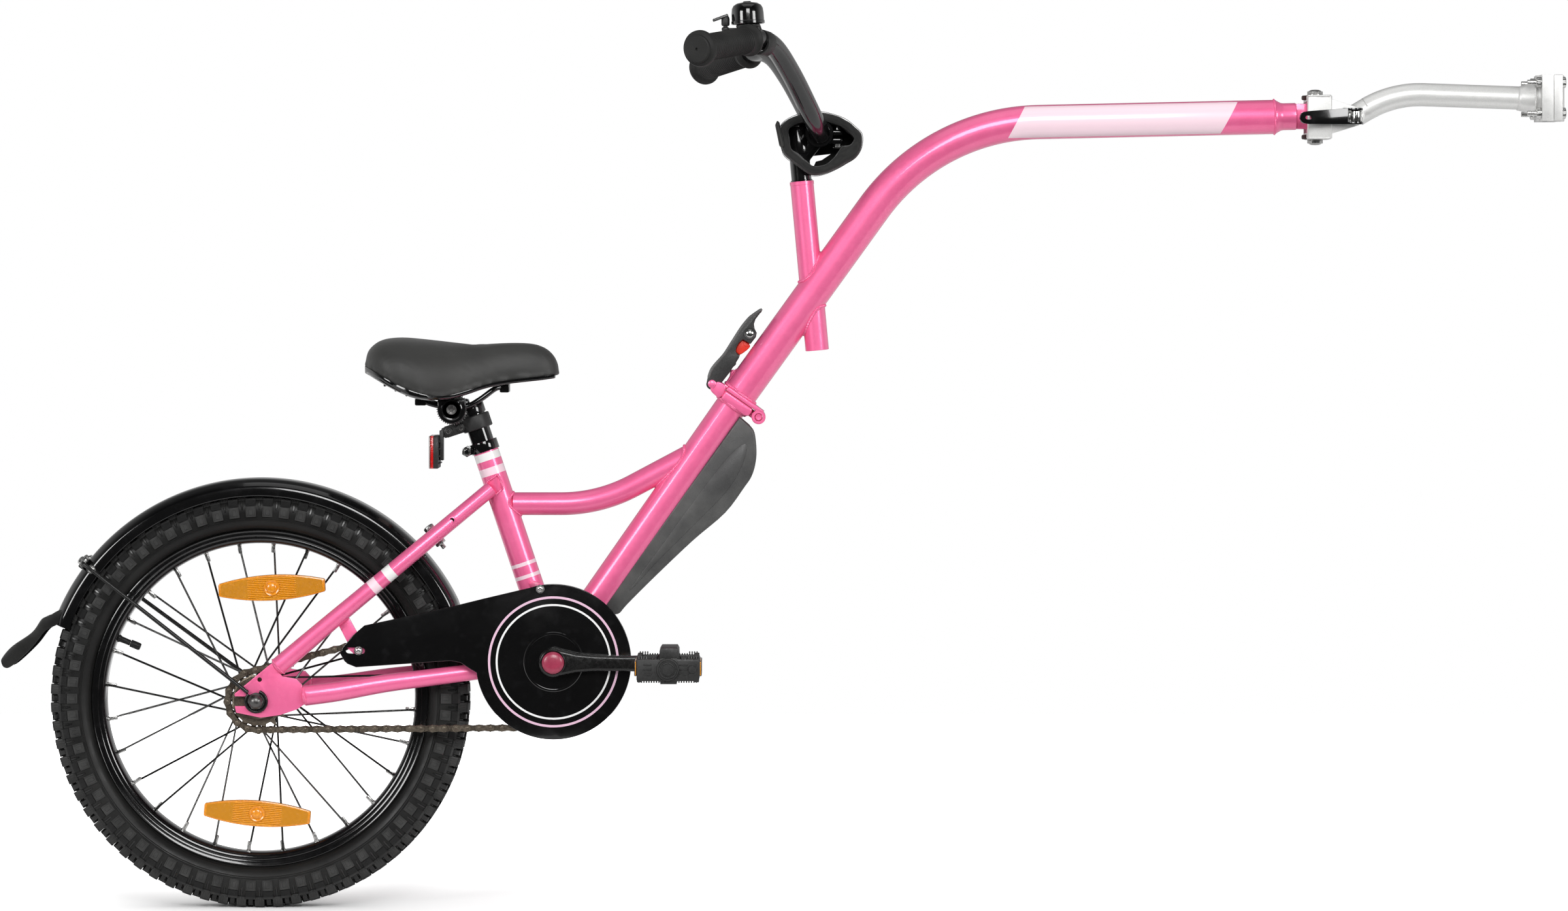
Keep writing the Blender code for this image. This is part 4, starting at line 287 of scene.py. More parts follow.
plainPink = pinkPaint("pinkPaint")
blackGloss = glossBlack("blackGloss")
blackPaint = satinBlack("blackPaint", 0.006, 0.24, 300.0, 0.00004)
blackPlastic = satinBlack("blackPlastic", 0.014, 0.46)
castGrey = satinBlack("castGrey", 0.026, 0.4, 500.0, 0.00012)
zinc = steel("zincSteel", 0.66, 0.26)
chrome = steel("chromeSteel", 0.82, 0.12)
gunmetal = steel("darkSteel", 0.16, 0.36, tint=(1, 0.98, 0.96))
# spoke finishes: lit and shaded copies of one steel, a painted highlight on one lean and painted shade on
# the other
litSpokeSteel = steel("litSpokeSteel", 0.17, 0.3)
shadedSpokeSteel = steel("shadedSpokeSteel", 0.035, 0.34)
chainSteel = steel("chainSteel", 0.2, 0.38, tint=(1, 0.84, 0.66))
silver = silverPaint()
amber = moulded("amberLens", colour(0.95, 0.4, 0.03))
redLens = moulded("redLens", colour(0.62, 0.012, 0.012), 0.18, 0.0026)
redPlastic = satinBlack("redPlastic", 0.02)
redPlastic.tint(redPlastic.noise(60.0), colour(0.62, 0.018, 0.012), colour(0.8, 0.045, 0.02))
print("finishes made")

# Shapes: each call adds faces to an open bmesh


def squareTo(direction):
    direction = direction.normalized()
    first = across - direction * across.dot(direction)
    if first.length < 1e-4:
        first = Vector(upward)
    first.normalize()
    return first, direction.cross(first)


def stitch(mesh, one, other):
    faces = []
    if len(one) == 1 and len(other) == 1:
        return faces
    count = max(len(one), len(other))
    for index in range(count):
        follow = (index + 1) % count
        if len(one) == 1:
            faces.append(mesh.faces.new((one[0], other[index], other[follow])))
        elif len(other) == 1:
            faces.append(mesh.faces.new((one[index], other[0], one[follow])))
        else:
            faces.append(mesh.faces.new((one[index], one[follow], other[follow], other[index])))
    return faces


def dress(mesh, faces, finish):
    bmesh.ops.recalc_face_normals(mesh, faces=faces)
    for face in faces:
        face.material_index = finish
    return faces


def loft(mesh, rings, finish=0, closed=False):
    # joins rings of vertices, and closes both ends
    faces = []
    for one, other in zip(rings, rings[1:] + (rings[:1] if closed else [])):
        faces += stitch(mesh, one, other)
    if not closed:
        for verts in (rings[0], rings[-1]):
            if len(verts) > 2:
                faces.append(mesh.faces.new(verts))
    return dress(mesh, faces, finish)


def roundEdges(mesh, edges, width, steps):
    if width:
        bmesh.ops.bevel(mesh, geom=edges, offset=width, segments=steps, profile=0.5, affect="EDGES",
            clamp_overlap=True)


def lathe(mesh, profile, base, direction, sides=40, finish=0, ring=False):
    # profile points are (radius, height), or (radius, height, corners) for a flat-sided ring
    first, second = squareTo(direction)
    direction = direction.normalized()
    rings = []
    for entry in profile:
        radius, height = entry[0], entry[1]
        corners = entry[2] if len(entry) > 2 else 0
        middle = base + direction * height
        if radius < 1e-7:
            rings.append([mesh.verts.new(middle)])
            continue
        verts = []
        for index in range(sides):
            angle = 2 * pi * index / sides
            reach = radius
            if corners:
                wedge = 2 * pi / corners
                reach = radius / cos((angle + wedge / 2) % wedge - wedge / 2)
            verts.append(mesh.verts.new(middle + (first * cos(angle) + second * sin(angle)) * reach))
        rings.append(verts)
    return loft(mesh, rings, finish, ring)


def rod(mesh, radius, low, high, base, direction, sides=28, finish=0):
    # a solid bar with its sizes in millimetres, as in tube
    lathe(mesh, mm((0, low), (radius, low), (radius, high), (0, high)), base, direction, sides, finish)


def tube(mesh, inner, outer, low, high, base, direction, sides=40, finish=0):
    profile = mm((inner, low), (outer, low), (outer, high), (inner, high))
    lathe(mesh, profile, base, direction, sides, finish, ring=True)


def sweep(mesh, path, radii, sides=28, finish=0, flat=1.0):
    # flat squeezes the section sideways
    path = [Vector(point) for point in path]
    if not isinstance(radii, (list, tuple)):
        radii = [radii] * len(path)
    rings = []
    previous = None
    for index, point in enumerate(path):
        before = path[max(index - 1, 0)]
        after = path[min(index + 1, len(path) - 1)]
        direction = (after - before).normalized()
        if previous is None:
            side = squareTo(direction)[0]
        else:
            side = (previous - direction * previous.dot(direction)).normalized()
        previous = side
        other = direction.cross(side)
        verts = []
        for corner in range(sides):
            angle = 2 * pi * corner / sides
            offset = side * cos(angle) * flat + other * sin(angle)
            verts.append(mesh.verts.new(point + offset * radii[index]))
        rings.append(verts)
    return loft(mesh, rings, finish)


quarter = Matrix.Rotation(pi / 2, 3, "Z")


def plate(mesh, outline, low, high, bevel=0.0, steps=2, finish=0, turn=None):
    # the outline lies in X and Z, or in Y and Z with turn=quarter
    turn = turn or Matrix.Identity(3)
    low, high = sorted((low, high))
    near = [mesh.verts.new(turn @ Vector((x, low, z))) for x, z in outline]
    far = [mesh.verts.new(turn @ Vector((x, high, z))) for x, z in outline]
    faces = [mesh.faces.new(near), mesh.faces.new(far)]
    rims = list(set(faces[0].edges) | set(faces[1].edges))
    faces += stitch(mesh, near, far)
    dress(mesh, faces, finish)
    roundEdges(mesh, rims, bevel, steps)


def block(mesh, centre, size, axes=None, bevel=0.0, steps=2, finish=0):
    verts = bmesh.ops.create_cube(mesh, size=1.0)["verts"]
    bmesh.ops.scale(mesh, verts=verts, vec=size)
    faces = list({face for vert in verts for face in vert.link_faces})
    for face in faces:
        face.material_index = finish
    if axes:
        turn = Matrix([[axis[row] for axis in axes] for row in range(3)])
        bmesh.ops.transform(mesh, verts=verts, matrix=turn.to_4x4())
    bmesh.ops.translate(mesh, verts=verts, vec=Vector(centre))
    roundEdges(mesh, list({edge for vert in verts for edge in vert.link_edges}), bevel, steps)


def mirrored(half):
    # goes back over a profile that ends on the middle, on its other side
    return half + [(r, -y) for r, y in reversed(half[:-1])]


def arc(centre, radius, start, end, steps):
    points = []
    for index in range(steps + 1):
        angle = radians(start + (end - start) * index / steps)
        points.append((centre[0] + radius * cos(angle), centre[1] + radius * sin(angle)))
    return points


def smoothPath(points, steps, ring=False):
    points = [Vector(point) for point in points]
    if ring:
        ends = [points[-1]] + points + points[:2]
    else:
        ends = [points[0] * 2 - points[1]] + points + [points[-1] * 2 - points[-2]]
    path = []
    for index in range(1, len(ends) - 2):
        before, here, there, after = ends[index - 1:index + 3]
        for step in range(steps):
            t = step / steps
            path.append(0.5 * (2 * here + (there - before) * t + (2 * before - 5 * here + 4 * there - after)
                * t * t + (3 * here - before - 3 * there + after) * t ** 3))
    if not ring:
        path.append(points[-1])
    return path


def smoothOutline(points, steps=4, ring=True):
    return [(point.x, point.y) for point in smoothPath([(x, z, 0) for x, z in points], steps, ring)]


def smoothValues(values, steps):
    return [point.x for point in smoothPath([(value, 0, 0) for value in values], steps)]


def rounded(points, radius, steps=16):
    # a polyline whose inner corners are arcs of one radius
    points = [Vector(point) for point in points]
    path = [points[0]]
    for before, here, after in zip(points, points[1:], points[2:]):
        back = (before - here).normalized()
        on = (after - here).normalized()
        half = back.angle(on) / 2
        reach = radius / (sin(half) / cos(half))
        middle = here + (back + on).normalized() * (radius / sin(half))
        first = here + back * reach - middle
        last = here + on * reach - middle
        for index in range(steps + 1):
            share = index / steps
            path.append(middle + first.normalized().slerp(last.normalized(), share) * radius)
    path.append(points[-1])
    return path


def hexNut(mesh, centre, direction, flat, height, finish=0, dome=0.0):
    edge = flat / 2
    rise = height * 0.1
    profile = [(0.0, 0.0), (edge * 0.94, 0.0), (edge, rise, 6), (edge, height - rise, 6),
        (edge * 0.94, height)]
    if dome:
        profile += [(edge * 0.86, height + dome * 0.35), (edge * 0.55, height + dome * 0.85)]
    profile.append((0.0, height + dome))
    lathe(mesh, profile, centre, direction, 24, finish)


def socketScrew(mesh, centre, direction, radius, height, finish=0, hexSize=0.5):
    well = radius * hexSize
    profile = [(0.0, 0.0), (radius, 0.0), (radius, height * 0.8), (radius * 0.93, height),
        (well * 1.16, height), (well, height * 0.93, 6), (well, height * 0.35, 6), (0.0, height * 0.3)]
    lathe(mesh, profile, centre, direction, 24, finish)


def crossScrew(mesh, centre, direction, radius, height, finish=0):
    profile = [(0.0, 0.0), (radius, 0.0), (radius, height * 0.25), (radius * 0.88, height * 0.62),
        (radius * 0.6, height * 0.92), (radius * 0.34, height), (radius * 0.26, height * 0.45, 4),
        (0.0, height * 0.35)]
    lathe(mesh, profile, centre, direction, 24, finish)


def thread(mesh, start, direction, radius, length, turns, finish=0):
    profile = [(0.0, 0.0), (radius * 0.86, 0.0)]
    for index in range(turns):
        profile.append((radius, length * (index + 0.35) / turns))
        profile.append((radius * 0.86, length * (index + 0.95) / turns))
    profile.append((0.0, length))
    lathe(mesh, profile, start, direction, 16, finish)


def drop(*helpers):
    for helper in helpers:
        data = helper.data
        bpy.data.objects.remove(helper)
        bpy.data.meshes.remove(data)


def applied(holder, *helpers):
    # the holder's mesh after its modifiers
    result = bmesh.new()
    result.from_object(holder, bpy.context.evaluated_depsgraph_get())
    drop(holder, *helpers)
    return result


def carve(mesh, *cutters):
    holder = meshObject("carveBody", mesh)
    tools = [meshObject("carveTool", cutter) for cutter in cutters]
    for tool in tools:
        step = holder.modifiers.new("carve", "BOOLEAN")
        step.operation = "DIFFERENCE"
        step.object = tool
    return applied(holder, *tools)


def meshObject(name, mesh):
    data = bpy.data.meshes.new(name)
    mesh.to_mesh(data)
    mesh.free()
    made = bpy.data.objects.new(name, data)
    bpy.context.scene.collection.objects.link(made)
    return made


def takeIn(mesh, data, finish=0):
    # adds a finished mesh to an open one
    before = len(mesh.faces)
    mesh.from_mesh(data)
    mesh.faces.ensure_lookup_table()
    for face in mesh.faces[before:]:
        face.material_index = finish
    bpy.data.meshes.remove(data)


def copyOfNode(node, bevel=0.0, steps=2, limit=32):
    # a CAD node's own shape, merged and with its edges rounded, in drawing places
    mesh = bmesh.new()
    mesh.from_mesh(frame["nodes"][node].data)
    bmesh.ops.translate(mesh, verts=mesh.verts, vec=-home)
    bmesh.ops.remove_doubles(mesh, verts=mesh.verts, dist=0.00002)
    bmesh.ops.dissolve_limit(mesh, angle_limit=radians(1.0), verts=mesh.verts, edges=mesh.edges)
    if bevel:
        holder = meshObject("edges", mesh)
        step = holder.modifiers.new("edges", "BEVEL")
        step.width = bevel
        step.segments = steps
        step.limit_method = "ANGLE"
        step.angle_limit = radians(limit)
        step.use_clamp_overlap = True
        mesh = applied(holder)
    for face in mesh.faces:
        face.material_index = 0
    return mesh


def finishPiece(name, mesh, body, finishes, nodes=(), angle=34):
    data = bpy.data.meshes.new(name)
    mesh.to_mesh(data)
    mesh.free()
    data.transform(Matrix.Translation(home))
    for finish in finishes:
        data.materials.append(finish.material)
    data.shade_smooth()
    data.set_sharp_from_angle(angle=radians(angle))
    piece = bpy.data.objects.new(name, data)
    bpy.context.scene.collection.objects.link(piece)
    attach(piece, body)
    if nodes:
        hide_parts(*nodes)
    return piece


# Geometry Nodes: copies round an axle, and copies along a path


def newTree(name, inputs):
    tree = bpy.data.node_groups.new(name, "GeometryNodeTree")
    tree.is_modifier = True
    for label, kind, value in inputs:
        socket = tree.interface.new_socket(name=label, in_out="INPUT", socket_type=kind)
        if value is not None:
            socket.default_value = value
    tree.interface.new_socket(name="Geometry", in_out="OUTPUT", socket_type="NodeSocketGeometry")
    inlet = tree.nodes.new("NodeGroupInput")
    taps = {label: Tap(tree, inlet.outputs[label]) for label, kind, value in inputs}
    return tree, taps


def endTree(tree, tap, points, turn):
    # puts the copies on the points, a little unequal in size where Jitter says so
    size = addNode(tree, "FunctionNodeRandomValue", {"data_type": "FLOAT"},
        {"Min": 1 - tap["Jitter"], "Max": 1 + tap["Jitter"], "Seed": tap["Seed"]}, 1)
    shape = addNode(tree, "GeometryNodeObjectInfo", None, {"Object": tap["Copy"]}, "Geometry")
    placed = addNode(tree, "GeometryNodeInstanceOnPoints", None,
        {"Points": points, "Instance": shape, "Rotation": turn, "Scale": size})
    real = addNode(tree, "GeometryNodeRealizeInstances", None, {0: placed})
    dressed = addNode(tree, "GeometryNodeSetMaterial", None, {0: real, "Material": tap["Material"]})
    outlet = tree.nodes.new("NodeGroupOutput")
    tree.links.new(dressed.socket, outlet.inputs["Geometry"])
    return tree


def ringTree():
    tree, tap = newTree("ringOfCopies", [("Copy", "NodeSocketObject", None), ("Count", "NodeSocketInt", 8),
        ("Radius", "NodeSocketFloat", 0.1), ("Offset", "NodeSocketFloat", 0.0),
        ("Phase", "NodeSocketFloat", 0.0), ("Tilt", "NodeSocketFloat", 0.0),
        ("Centre", "NodeSocketVector", (0, 0, 0)), ("Jitter", "NodeSocketFloat", 0.0),
        ("Seed", "NodeSocketInt", 3), ("Material", "NodeSocketMaterial", None)])
    index = addNode(tree, "GeometryNodeInputIndex")
    angle = index * (2 * pi) / tap["Count"] + tap["Phase"]
    cosine = addNode(tree, "ShaderNodeMath", {"operation": "COSINE"}, {0: angle})
    sine = addNode(tree, "ShaderNodeMath", {"operation": "SINE"}, {0: angle})
    place = addNode(tree, "ShaderNodeCombineXYZ", None,
        {0: cosine * tap["Radius"], 1: tap["Offset"], 2: sine * tap["Radius"]}) + tap["Centre"]
    points = addNode(tree, "GeometryNodePoints", None, {"Count": tap["Count"], "Position": place})
    euler = addNode(tree, "ShaderNodeCombineXYZ", None, {0: tap["Tilt"], 1: pi / 2 - angle, 2: 0.0})
    turn = addNode(tree, "FunctionNodeEulerToRotation", None, {0: euler})
    return endTree(tree, tap, points, turn)


def pathTree():
    tree, tap = newTree("copiesAlongPath", [("Path", "NodeSocketObject", None),
        ("Copy", "NodeSocketObject", None), ("Count", "NodeSocketInt", 8),
        ("Jitter", "NodeSocketFloat", 0.0), ("Seed", "NodeSocketInt", 5),
        ("Material", "NodeSocketMaterial", None)])
    path = addNode(tree, "GeometryNodeObjectInfo", None, {"Object": tap["Path"]}, "Geometry")
    spread = tree.nodes.new("GeometryNodeCurveToPoints")
    spread.mode = "COUNT"
    tree.links.new(path.socket, spread.inputs["Curve"])
    tree.links.new(tap["Count"].socket, spread.inputs["Count"])
    turn = addNode(tree, "FunctionNodeAlignRotationToVector", {"axis": "X", "pivot_axis": "AUTO"},
        {"Vector": Tap(tree, spread.outputs["Tangent"])})
    return endTree(tree, tap, Tap(tree, spread.outputs["Points"]), turn)


def runTree(tree, values):
    # sets the named inputs, and gives the result as a plain mesh
    host = bpy.data.objects.new("treeHost", bpy.data.meshes.new("treeHost"))
    bpy.context.scene.collection.objects.link(host)
    step = host.modifiers.new("copies", "NODES")
    step.node_group = tree
    for item in tree.interface.items_tree:
        if item.item_type == "SOCKET" and item.in_out == "INPUT" and item.name in values:
            step[item.identifier] = values[item.name]
    depsgraph = bpy.context.evaluated_depsgraph_get()
    data = bpy.data.meshes.new_from_object(host.evaluated_get(depsgraph), depsgraph=depsgraph)
    host.modifiers.remove(step)
    drop(host)
    data.materials.clear()
    return data


ringOfCopies = ringTree()
copiesAlongPath = pathTree()


def addRing(mesh, copyMesh, finish, count, phase=0.0, centre=hub):
    # copyMesh is drawn at the origin: Z outwards, Y along the axle
    shape = meshObject("copy", copyMesh)
    takeIn(mesh, runTree(ringOfCopies,
        {"Copy": shape, "Count": count, "Radius": 0.0, "Phase": phase, "Centre": tuple(centre)}), finish)
    drop(shape)


def addAlong(mesh, copyMesh, finish, points, count, ring=False, jitter=0.0):
    # copyMesh is drawn at the origin with X along the path
    shape = meshObject("copy", copyMesh)
    curve = bpy.data.curves.new("path", "CURVE")
    curve.dimensions = "3D"
    line = curve.splines.new("POLY")
    line.points.add(len(points) - 1)
    for slot, point in zip(line.points, points):
        slot.co = (*point, 1.0)
    line.use_cyclic_u = ring
    path = bpy.data.objects.new("path", curve)
    bpy.context.scene.collection.objects.link(path)
    takeIn(mesh, runTree(copiesAlongPath,
        {"Path": path, "Copy": shape, "Count": count, "Jitter": jitter, "Seed": 5}), finish)
    bpy.data.objects.remove(path)
    bpy.data.curves.remove(curve)
    drop(shape)


print("tools ready")

# Wheel

wheelValues = {"lugs": 70, "spokes": 28, "firstSpoke": 8.2, "lean": 62.0, "flange": 0.028, "holes": 0.0205,
    "rimInner": 0.1705, "spokeRadius": 0.00115, "tabHalf": 0.0057, "knobHalf": 0.0052}


def tyreMarks(rub):
    radius, angle = rub.round(hub)
    hatch = rub.wave(angle * 900.0 + radius * 4200.0) * rub.wave(angle * 900.0 - radius * 4200.0)
    return hatch * rub.band(radius, 0.2125, 0.2222) * 2.2


def makeTyre():
    values = wheelValues
    side = rubber("tyreRubber", 0.009, 0.5, tyreMarks)
    radius = side.round(hub)[0]
    # painted highlight: the side rubber is lighter, in patches, over the lug bands, standing in for light
    # catching the raised lugs
    lugHighlightPatches = side.noise(70.0, 4.0)
    lugHighlightBands = side.band(radius, 0.2002, 0.2122) + side.band(radius, 0.2195, 0.229) * 0.8
    side.tint(side.ramp(lugHighlightPatches, 0.35, 1.0, 0.3, 0.7) * lugHighlightBands, colour(0.009, 0.009, 0.009),
        colour(0.046, 0.046, 0.045))
    plain = rubber("sideRubber", 0.008, 0.4)
    shiny = satinBlack("treadFloor", 0.007, 0.2, 200.0, 0.0001)
    mesh = bmesh.new()
    half = mm((185.6, 12.8), (186.2, 15), (187.6, 18.2), (188.2, 19.2), (188.6, 18.9), (189, 19.6),
        (192.5, 22.2), (195.5, 23.7), (196.6, 24.1), (196.9, 24.7), (197.4, 24.7), (197.7, 24.3),
        (198.4, 24.5), (198.7, 25.1), (199.2, 25.1), (199.5, 24.8), (205, 25.6), (210, 25.6), (214, 24.6),
        (218, 22.6), (221.5, 18.8), (224, 13.5), (225.1, 7), (225.4, 0))
    inner = mm((187, 11), (198.5, 20), (208, 21.5), (216.5, 19), (221.5, 10), (222.2, 0))
    section = mirrored(half) + [(r, -y) for r, y in inner] + list(reversed(inner[:-1]))
    lathe(mesh, section, hub, across, 280, 1, ring=True)
    tabs, gaps, knobs, low = bmesh.new(), bmesh.new(), bmesh.new(), bmesh.new()
    for sign in (-1, 1):
        def flip(points):
            return [(y * sign, z) for y, z in points]
        wide = values["tabHalf"]
        plate(tabs, flip(mm((24, 200.4), (26.2, 200.6), (26.8, 206), (26.5, 212.2), (24, 212.2))), -wide,
            wide, 0.0004, 1, 0, quarter)
        for x in (-wide * 0.82, wide * 0.82):
            block(tabs, (x, sign * 0.0268, 0.2064), (0.0011, 0.001, 0.0106), None, 0.0003, 1)
        block(tabs, (0, sign * 0.0266, 0.2012), (wide * 1.8, 0.001, 0.0012), None, 0.0003, 1)
        block(tabs, (0, sign * 0.0269, 0.2062), (wide * 0.72, 0.0007, 0.0066), None, 0.0003, 1)
        plate(tabs, flip(mm((18, 213), (25.8, 213), (24.7, 217), (22.2, 221.8), (17, 221.8))), -wide, wide,
            0.0005, 1, 0, quarter)
        plate(gaps, flip(mm((20, 207), (25.8, 208.5), (25.6, 213), (22.8, 218.5), (18, 219))), -0.0016,
            0.0016, 0.0008, 1, 0, quarter)
        top = mm((8.5, 223), (22.2, 219), (21.4, 225.2), (19.6, 229.6), (17.2, 230.9), (10.8, 231.4),
            (8.8, 231))
        wide = values["knobHalf"]
        plate(knobs, flip(top), -wide, wide, 0.0005, 2, 0, quarter)
        for x in (-wide * 0.55, 0, wide * 0.55):
            plate(knobs, flip(mm((20.5, 220), (22.5, 220.3), (21.7, 225.5), (19.8, 229))), x - 0.0005,
                x + 0.0005, 0.0002, 1, 0, quarter)
        plate(low, flip(mm((10.5, 222.5), (19.6, 221.2), (18.4, 226.2), (16, 228.8), (11.2, 229.4))),
            -0.003, 0.003, 0.0006, 1, 0, quarter)
    plate(low, mm((-6.6, 224), (6.6, 224), (6, 231.4), (-6, 231.4)), -0.0048, 0.0048, 0.0006, 2, 0, quarter)
    step = 2 * pi / values["lugs"]
    for copy, phase, finish in ((tabs, 0.0, 0), (gaps, 0.5, 2), (knobs, 0.5, 0), (low, 0.0, 2)):
        addRing(mesh, copy, finish, values["lugs"], phase * step)
    finishPiece("tyreTread", mesh, "wheel", [side, plain, shiny], ["tyre"], 30)


def makeRim():
    mesh = bmesh.new()
    half = mm((185.3, 15.2), (185.7, 16.2), (185.5, 17.2), (184.8, 17.5), (183.8, 17), (181.2, 16.6),
        (179, 16.2), (178.6, 15.8), (178, 16), (174.5, 15), (172.2, 13), (171.1, 10), (170.6, 6),
        (170.5, 0))
    well = mm((184.5, 14.6), (182.2, 13.8), (180.6, 9.5), (179.6, 7.5), (179.2, 0))
    section = mirrored(half) + [(r, -y) for r, y in well] + list(reversed(well[:-1]))
    lathe(mesh, section, hub, across, 200, 0, ring=True)
    values = wheelValues
    eyelet = bmesh.new()
    lathe(eyelet, mm((0, 0), (3, 0), (3.2, 0.4), (2.4, 0.8), (0, 0.8)),
        Vector((0, 0, values["rimInner"] + 0.0003)), -upward, 12)
    nipple = bmesh.new()
    lathe(nipple, [(0.0, 0.0), (0.0026, 0.0), (0.0026, 0.0012), (0.0022, 0.0016), (0.0021, 0.005, 4),
        (0.002, 0.0098), (0.0011, 0.0104), (0.0, 0.0104)], Vector((0, 0, values["rimInner"] + 0.0002)),
        -upward, 16)
    phase = radians(values["firstSpoke"])
    for copy in (eyelet, nipple):
        addRing(mesh, copy, 1, values["spokes"], phase)
    finishPiece("rimHoop", mesh, "wheel", [blackGloss, zinc], ["rim"], 40)


def makeHub():
    values = wheelValues
    mesh = bmesh.new()
    face, far, flange = 0.0315, 0.037, values["flange"]
    section = [(0.0054, -face), (0.0098, -face), (0.0105, -face + 0.0007), (0.0106, -flange - 0.0026),
        (0.012, -flange - 0.0021), (0.0225, -flange - 0.0019), (0.0238, -flange - 0.0013),
        (0.024, -flange + 0.0006), (0.0232, -flange + 0.0018), (0.016, -flange + 0.0023),
        (0.0139, -flange + 0.0042), (0.0133, -flange + 0.0075), (0.0131, 0.0), (0.0133, flange - 0.0075),
        (0.0139, flange - 0.0042), (0.016, flange - 0.0023), (0.0232, flange - 0.0018),
        (0.024, flange - 0.0006), (0.0238, flange + 0.0013), (0.0225, flange + 0.0019),
        (0.012, flange + 0.0021), (0.0108, flange + 0.0028), (0.0105, far - 0.0007), (0.0098, far),
        (0.0054, far)]
    lathe(mesh, section, hub, across, 64, 0, ring=True)
    for y in (-face - 0.0002, far - 0.0014):
        tube(mesh, 5.4, 9.2, 0, 1.4, hub + across * y, across, 40, 2)
    for family in range(4):
        side = -1 if family % 2 else 1
        lean = 1 if (family // 2) % 2 else -1
        turn = radians(values["lean"]) * lean
        y = side * (flange + 0.001 * lean)
        spoke = bmesh.new()
        root = Vector((sin(turn) * values["holes"], y + side * 0.0016 * lean, cos(turn) * values["holes"]))
        tip = Vector((0, side * flange * 0.1, values["rimInner"] + 0.001))
        reach = (tip - root).normalized()
        bend = root + Vector((0, side * 0.0008 * lean, 0))
        path = [root - across * side * 0.0034 * lean, root - across * side * 0.0006 * lean,
            bend + reach * 0.0016, root.lerp(tip, 0.08), root.lerp(tip, 0.5), tip]
        # spokes leaning one way take the lighter steel and the others the darker one: painted light and
        # shade on one steel
        shade = 1 if lean > 0 else 3
        sweep(spoke, path, values["spokeRadius"], 8, shade)
        lathe(spoke, mm((0, 0), (1.9, 0), (1.8, 0.7), (0.9, 1.2), (0, 1.3)),
            root - across * side * 0.003 * lean, -across * side * lean, 10, shade)
        phase = radians(values["firstSpoke"]) + 2 * pi * family / values["spokes"]
        addRing(mesh, spoke, shade, values["spokes"] // 4, phase)
    finishPiece("hubAndSpokes", mesh, "wheel",
        [blackGloss, litSpokeSteel, gunmetal, shadedSpokeSteel], ["wheel_hub"], 40)
    valve = bmesh.new()
    angle = atan2((1386 - 976.5) / 1381.7 - tyreRadius, (182 - 399.85) / 1381.7)
    inward = -polar(Vector(), 1.0, angle)
    foot = polar(hub, 0.1716, angle)
    lathe(valve, mm((0, -6), (4.3, -6), (4.6, 0), (4.3, 2), (3.4, 3.6), (3.1, 13), (3.3, 13.4), (3.3, 14.2),
        (0, 14.2)), foot, inward, 28)
    thread(valve, foot + inward * 0.014, inward, 0.0029, 0.003, 3, 1)
    lathe(valve, [(0.0, 0.0152), (0.0038, 0.0152), (0.004, 0.0158, 12), (0.004, 0.025, 12),
        (0.0034, 0.0268), (0.0, 0.0272)], foot, inward, 48)
    lathe(valve, mm((198, -15), (212, -17), (219, -10), (219, 10), (212, 17), (198, 15), (185, 7),
        (185, -7)), hub, across, 60, 0, ring=True)
    finishPiece("valveAndTube", valve, "wheel", [rubber("valveRubber", 0.012, 0.42), zinc],
        ["inner_tube"])


def makeReflector(name, place, node, tilt):
    mesh = bmesh.new()
    outward = place - hub
    along = Vector((-outward.z, 0, outward.x)).normalized()
    along = (Matrix.Rotation(radians(-tilt), 3, "Y") @ along).normalized()
    outward = Vector((-along.z, 0, along.x)) if outward.z < 0 else Vector((along.z, 0, -along.x))
    turn = Matrix((along, across, outward)).transposed()
    crown = [(0.058 * step / 8, 0.0143 - 0.0072 * (step / 8) ** 2) for step in range(-8, 9)]
    boat = mm((-59, 5.8)) + crown + mm((59, 5.8), (59, -5.8))
    boat += [(x, -z) for x, z in reversed(crown)] + mm((-59, -5.8))
    plate(mesh, boat, -0.0048, 0.0048, 0.0012, 2)
    inner = [(x * 0.955, z * 0.86) for x, z in boat]
    for side in (-1, 1):
        plate(mesh, inner, side * 0.0046, side * 0.005, 0.0002, 1, 1)
        for index in range(-5, 6):
            block(mesh, (0.0, side * 0.005, index * 0.002), (0.052, 0.001, 0.0011), None, 0.0003, 1, 1)
        lathe(mesh, mm((0, 0), (8.8, 0), (9, 1.2), (8.4, 1.8), (6.6, 1.4), (6.2, 1), (5.8, 1.6), (4, 2.6),
            (0, 3)), Vector((0, side * 0.0046, 0)), across * side, 36)
    bmesh.ops.transform(mesh, verts=mesh.verts, matrix=Matrix.Translation(place) @ turn.to_4x4())
    lens = Finish(name + "Lens", {"IOR": 1.49, "Coat Weight": 0.35, "Coat Roughness": 0.05})
    u, v = lens.along(place, along), lens.along(place, outward)
    ends = abs(u) > 0.027
    hatch = lens.wave((u + v) * 3900.0) * lens.wave((u - v) * 3900.0)
    pattern = ends * hatch + (1 - ends) * lens.wave(v * 3141.6)
    lens.tint(lens.ramp(pattern, 0.0, 1.0, -0.8, 0.6), colour(0.5, 0.17, 0.004), colour(0.86, 0.36, 0.012))
    lens.rough(lens.noise(200.0), 0.18, 0.3)
    lens.bump(pattern, 0.0005, 0.6)
    rim = moulded(name + "Rim", colour(0.9, 0.33, 0.01), 0.25, 0.004, 0.0001)
    finishPiece(name, mesh, "wheel", [rim, lens], [node])


makeTyre()
makeRim()
makeHub()
for label, tilt in (("Upper", 9.0), ("Lower", -3.0)):
    node = "wheel_reflector_" + label.lower()
    low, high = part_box(node)
    makeReflector("reflector" + label, (Vector(low) + Vector(high)) / 2 - home, node, tilt)
print("wheel made")

# Frame


def leaning(slope):
    return Vector((cos(radians(slope)), 0, sin(radians(slope))))


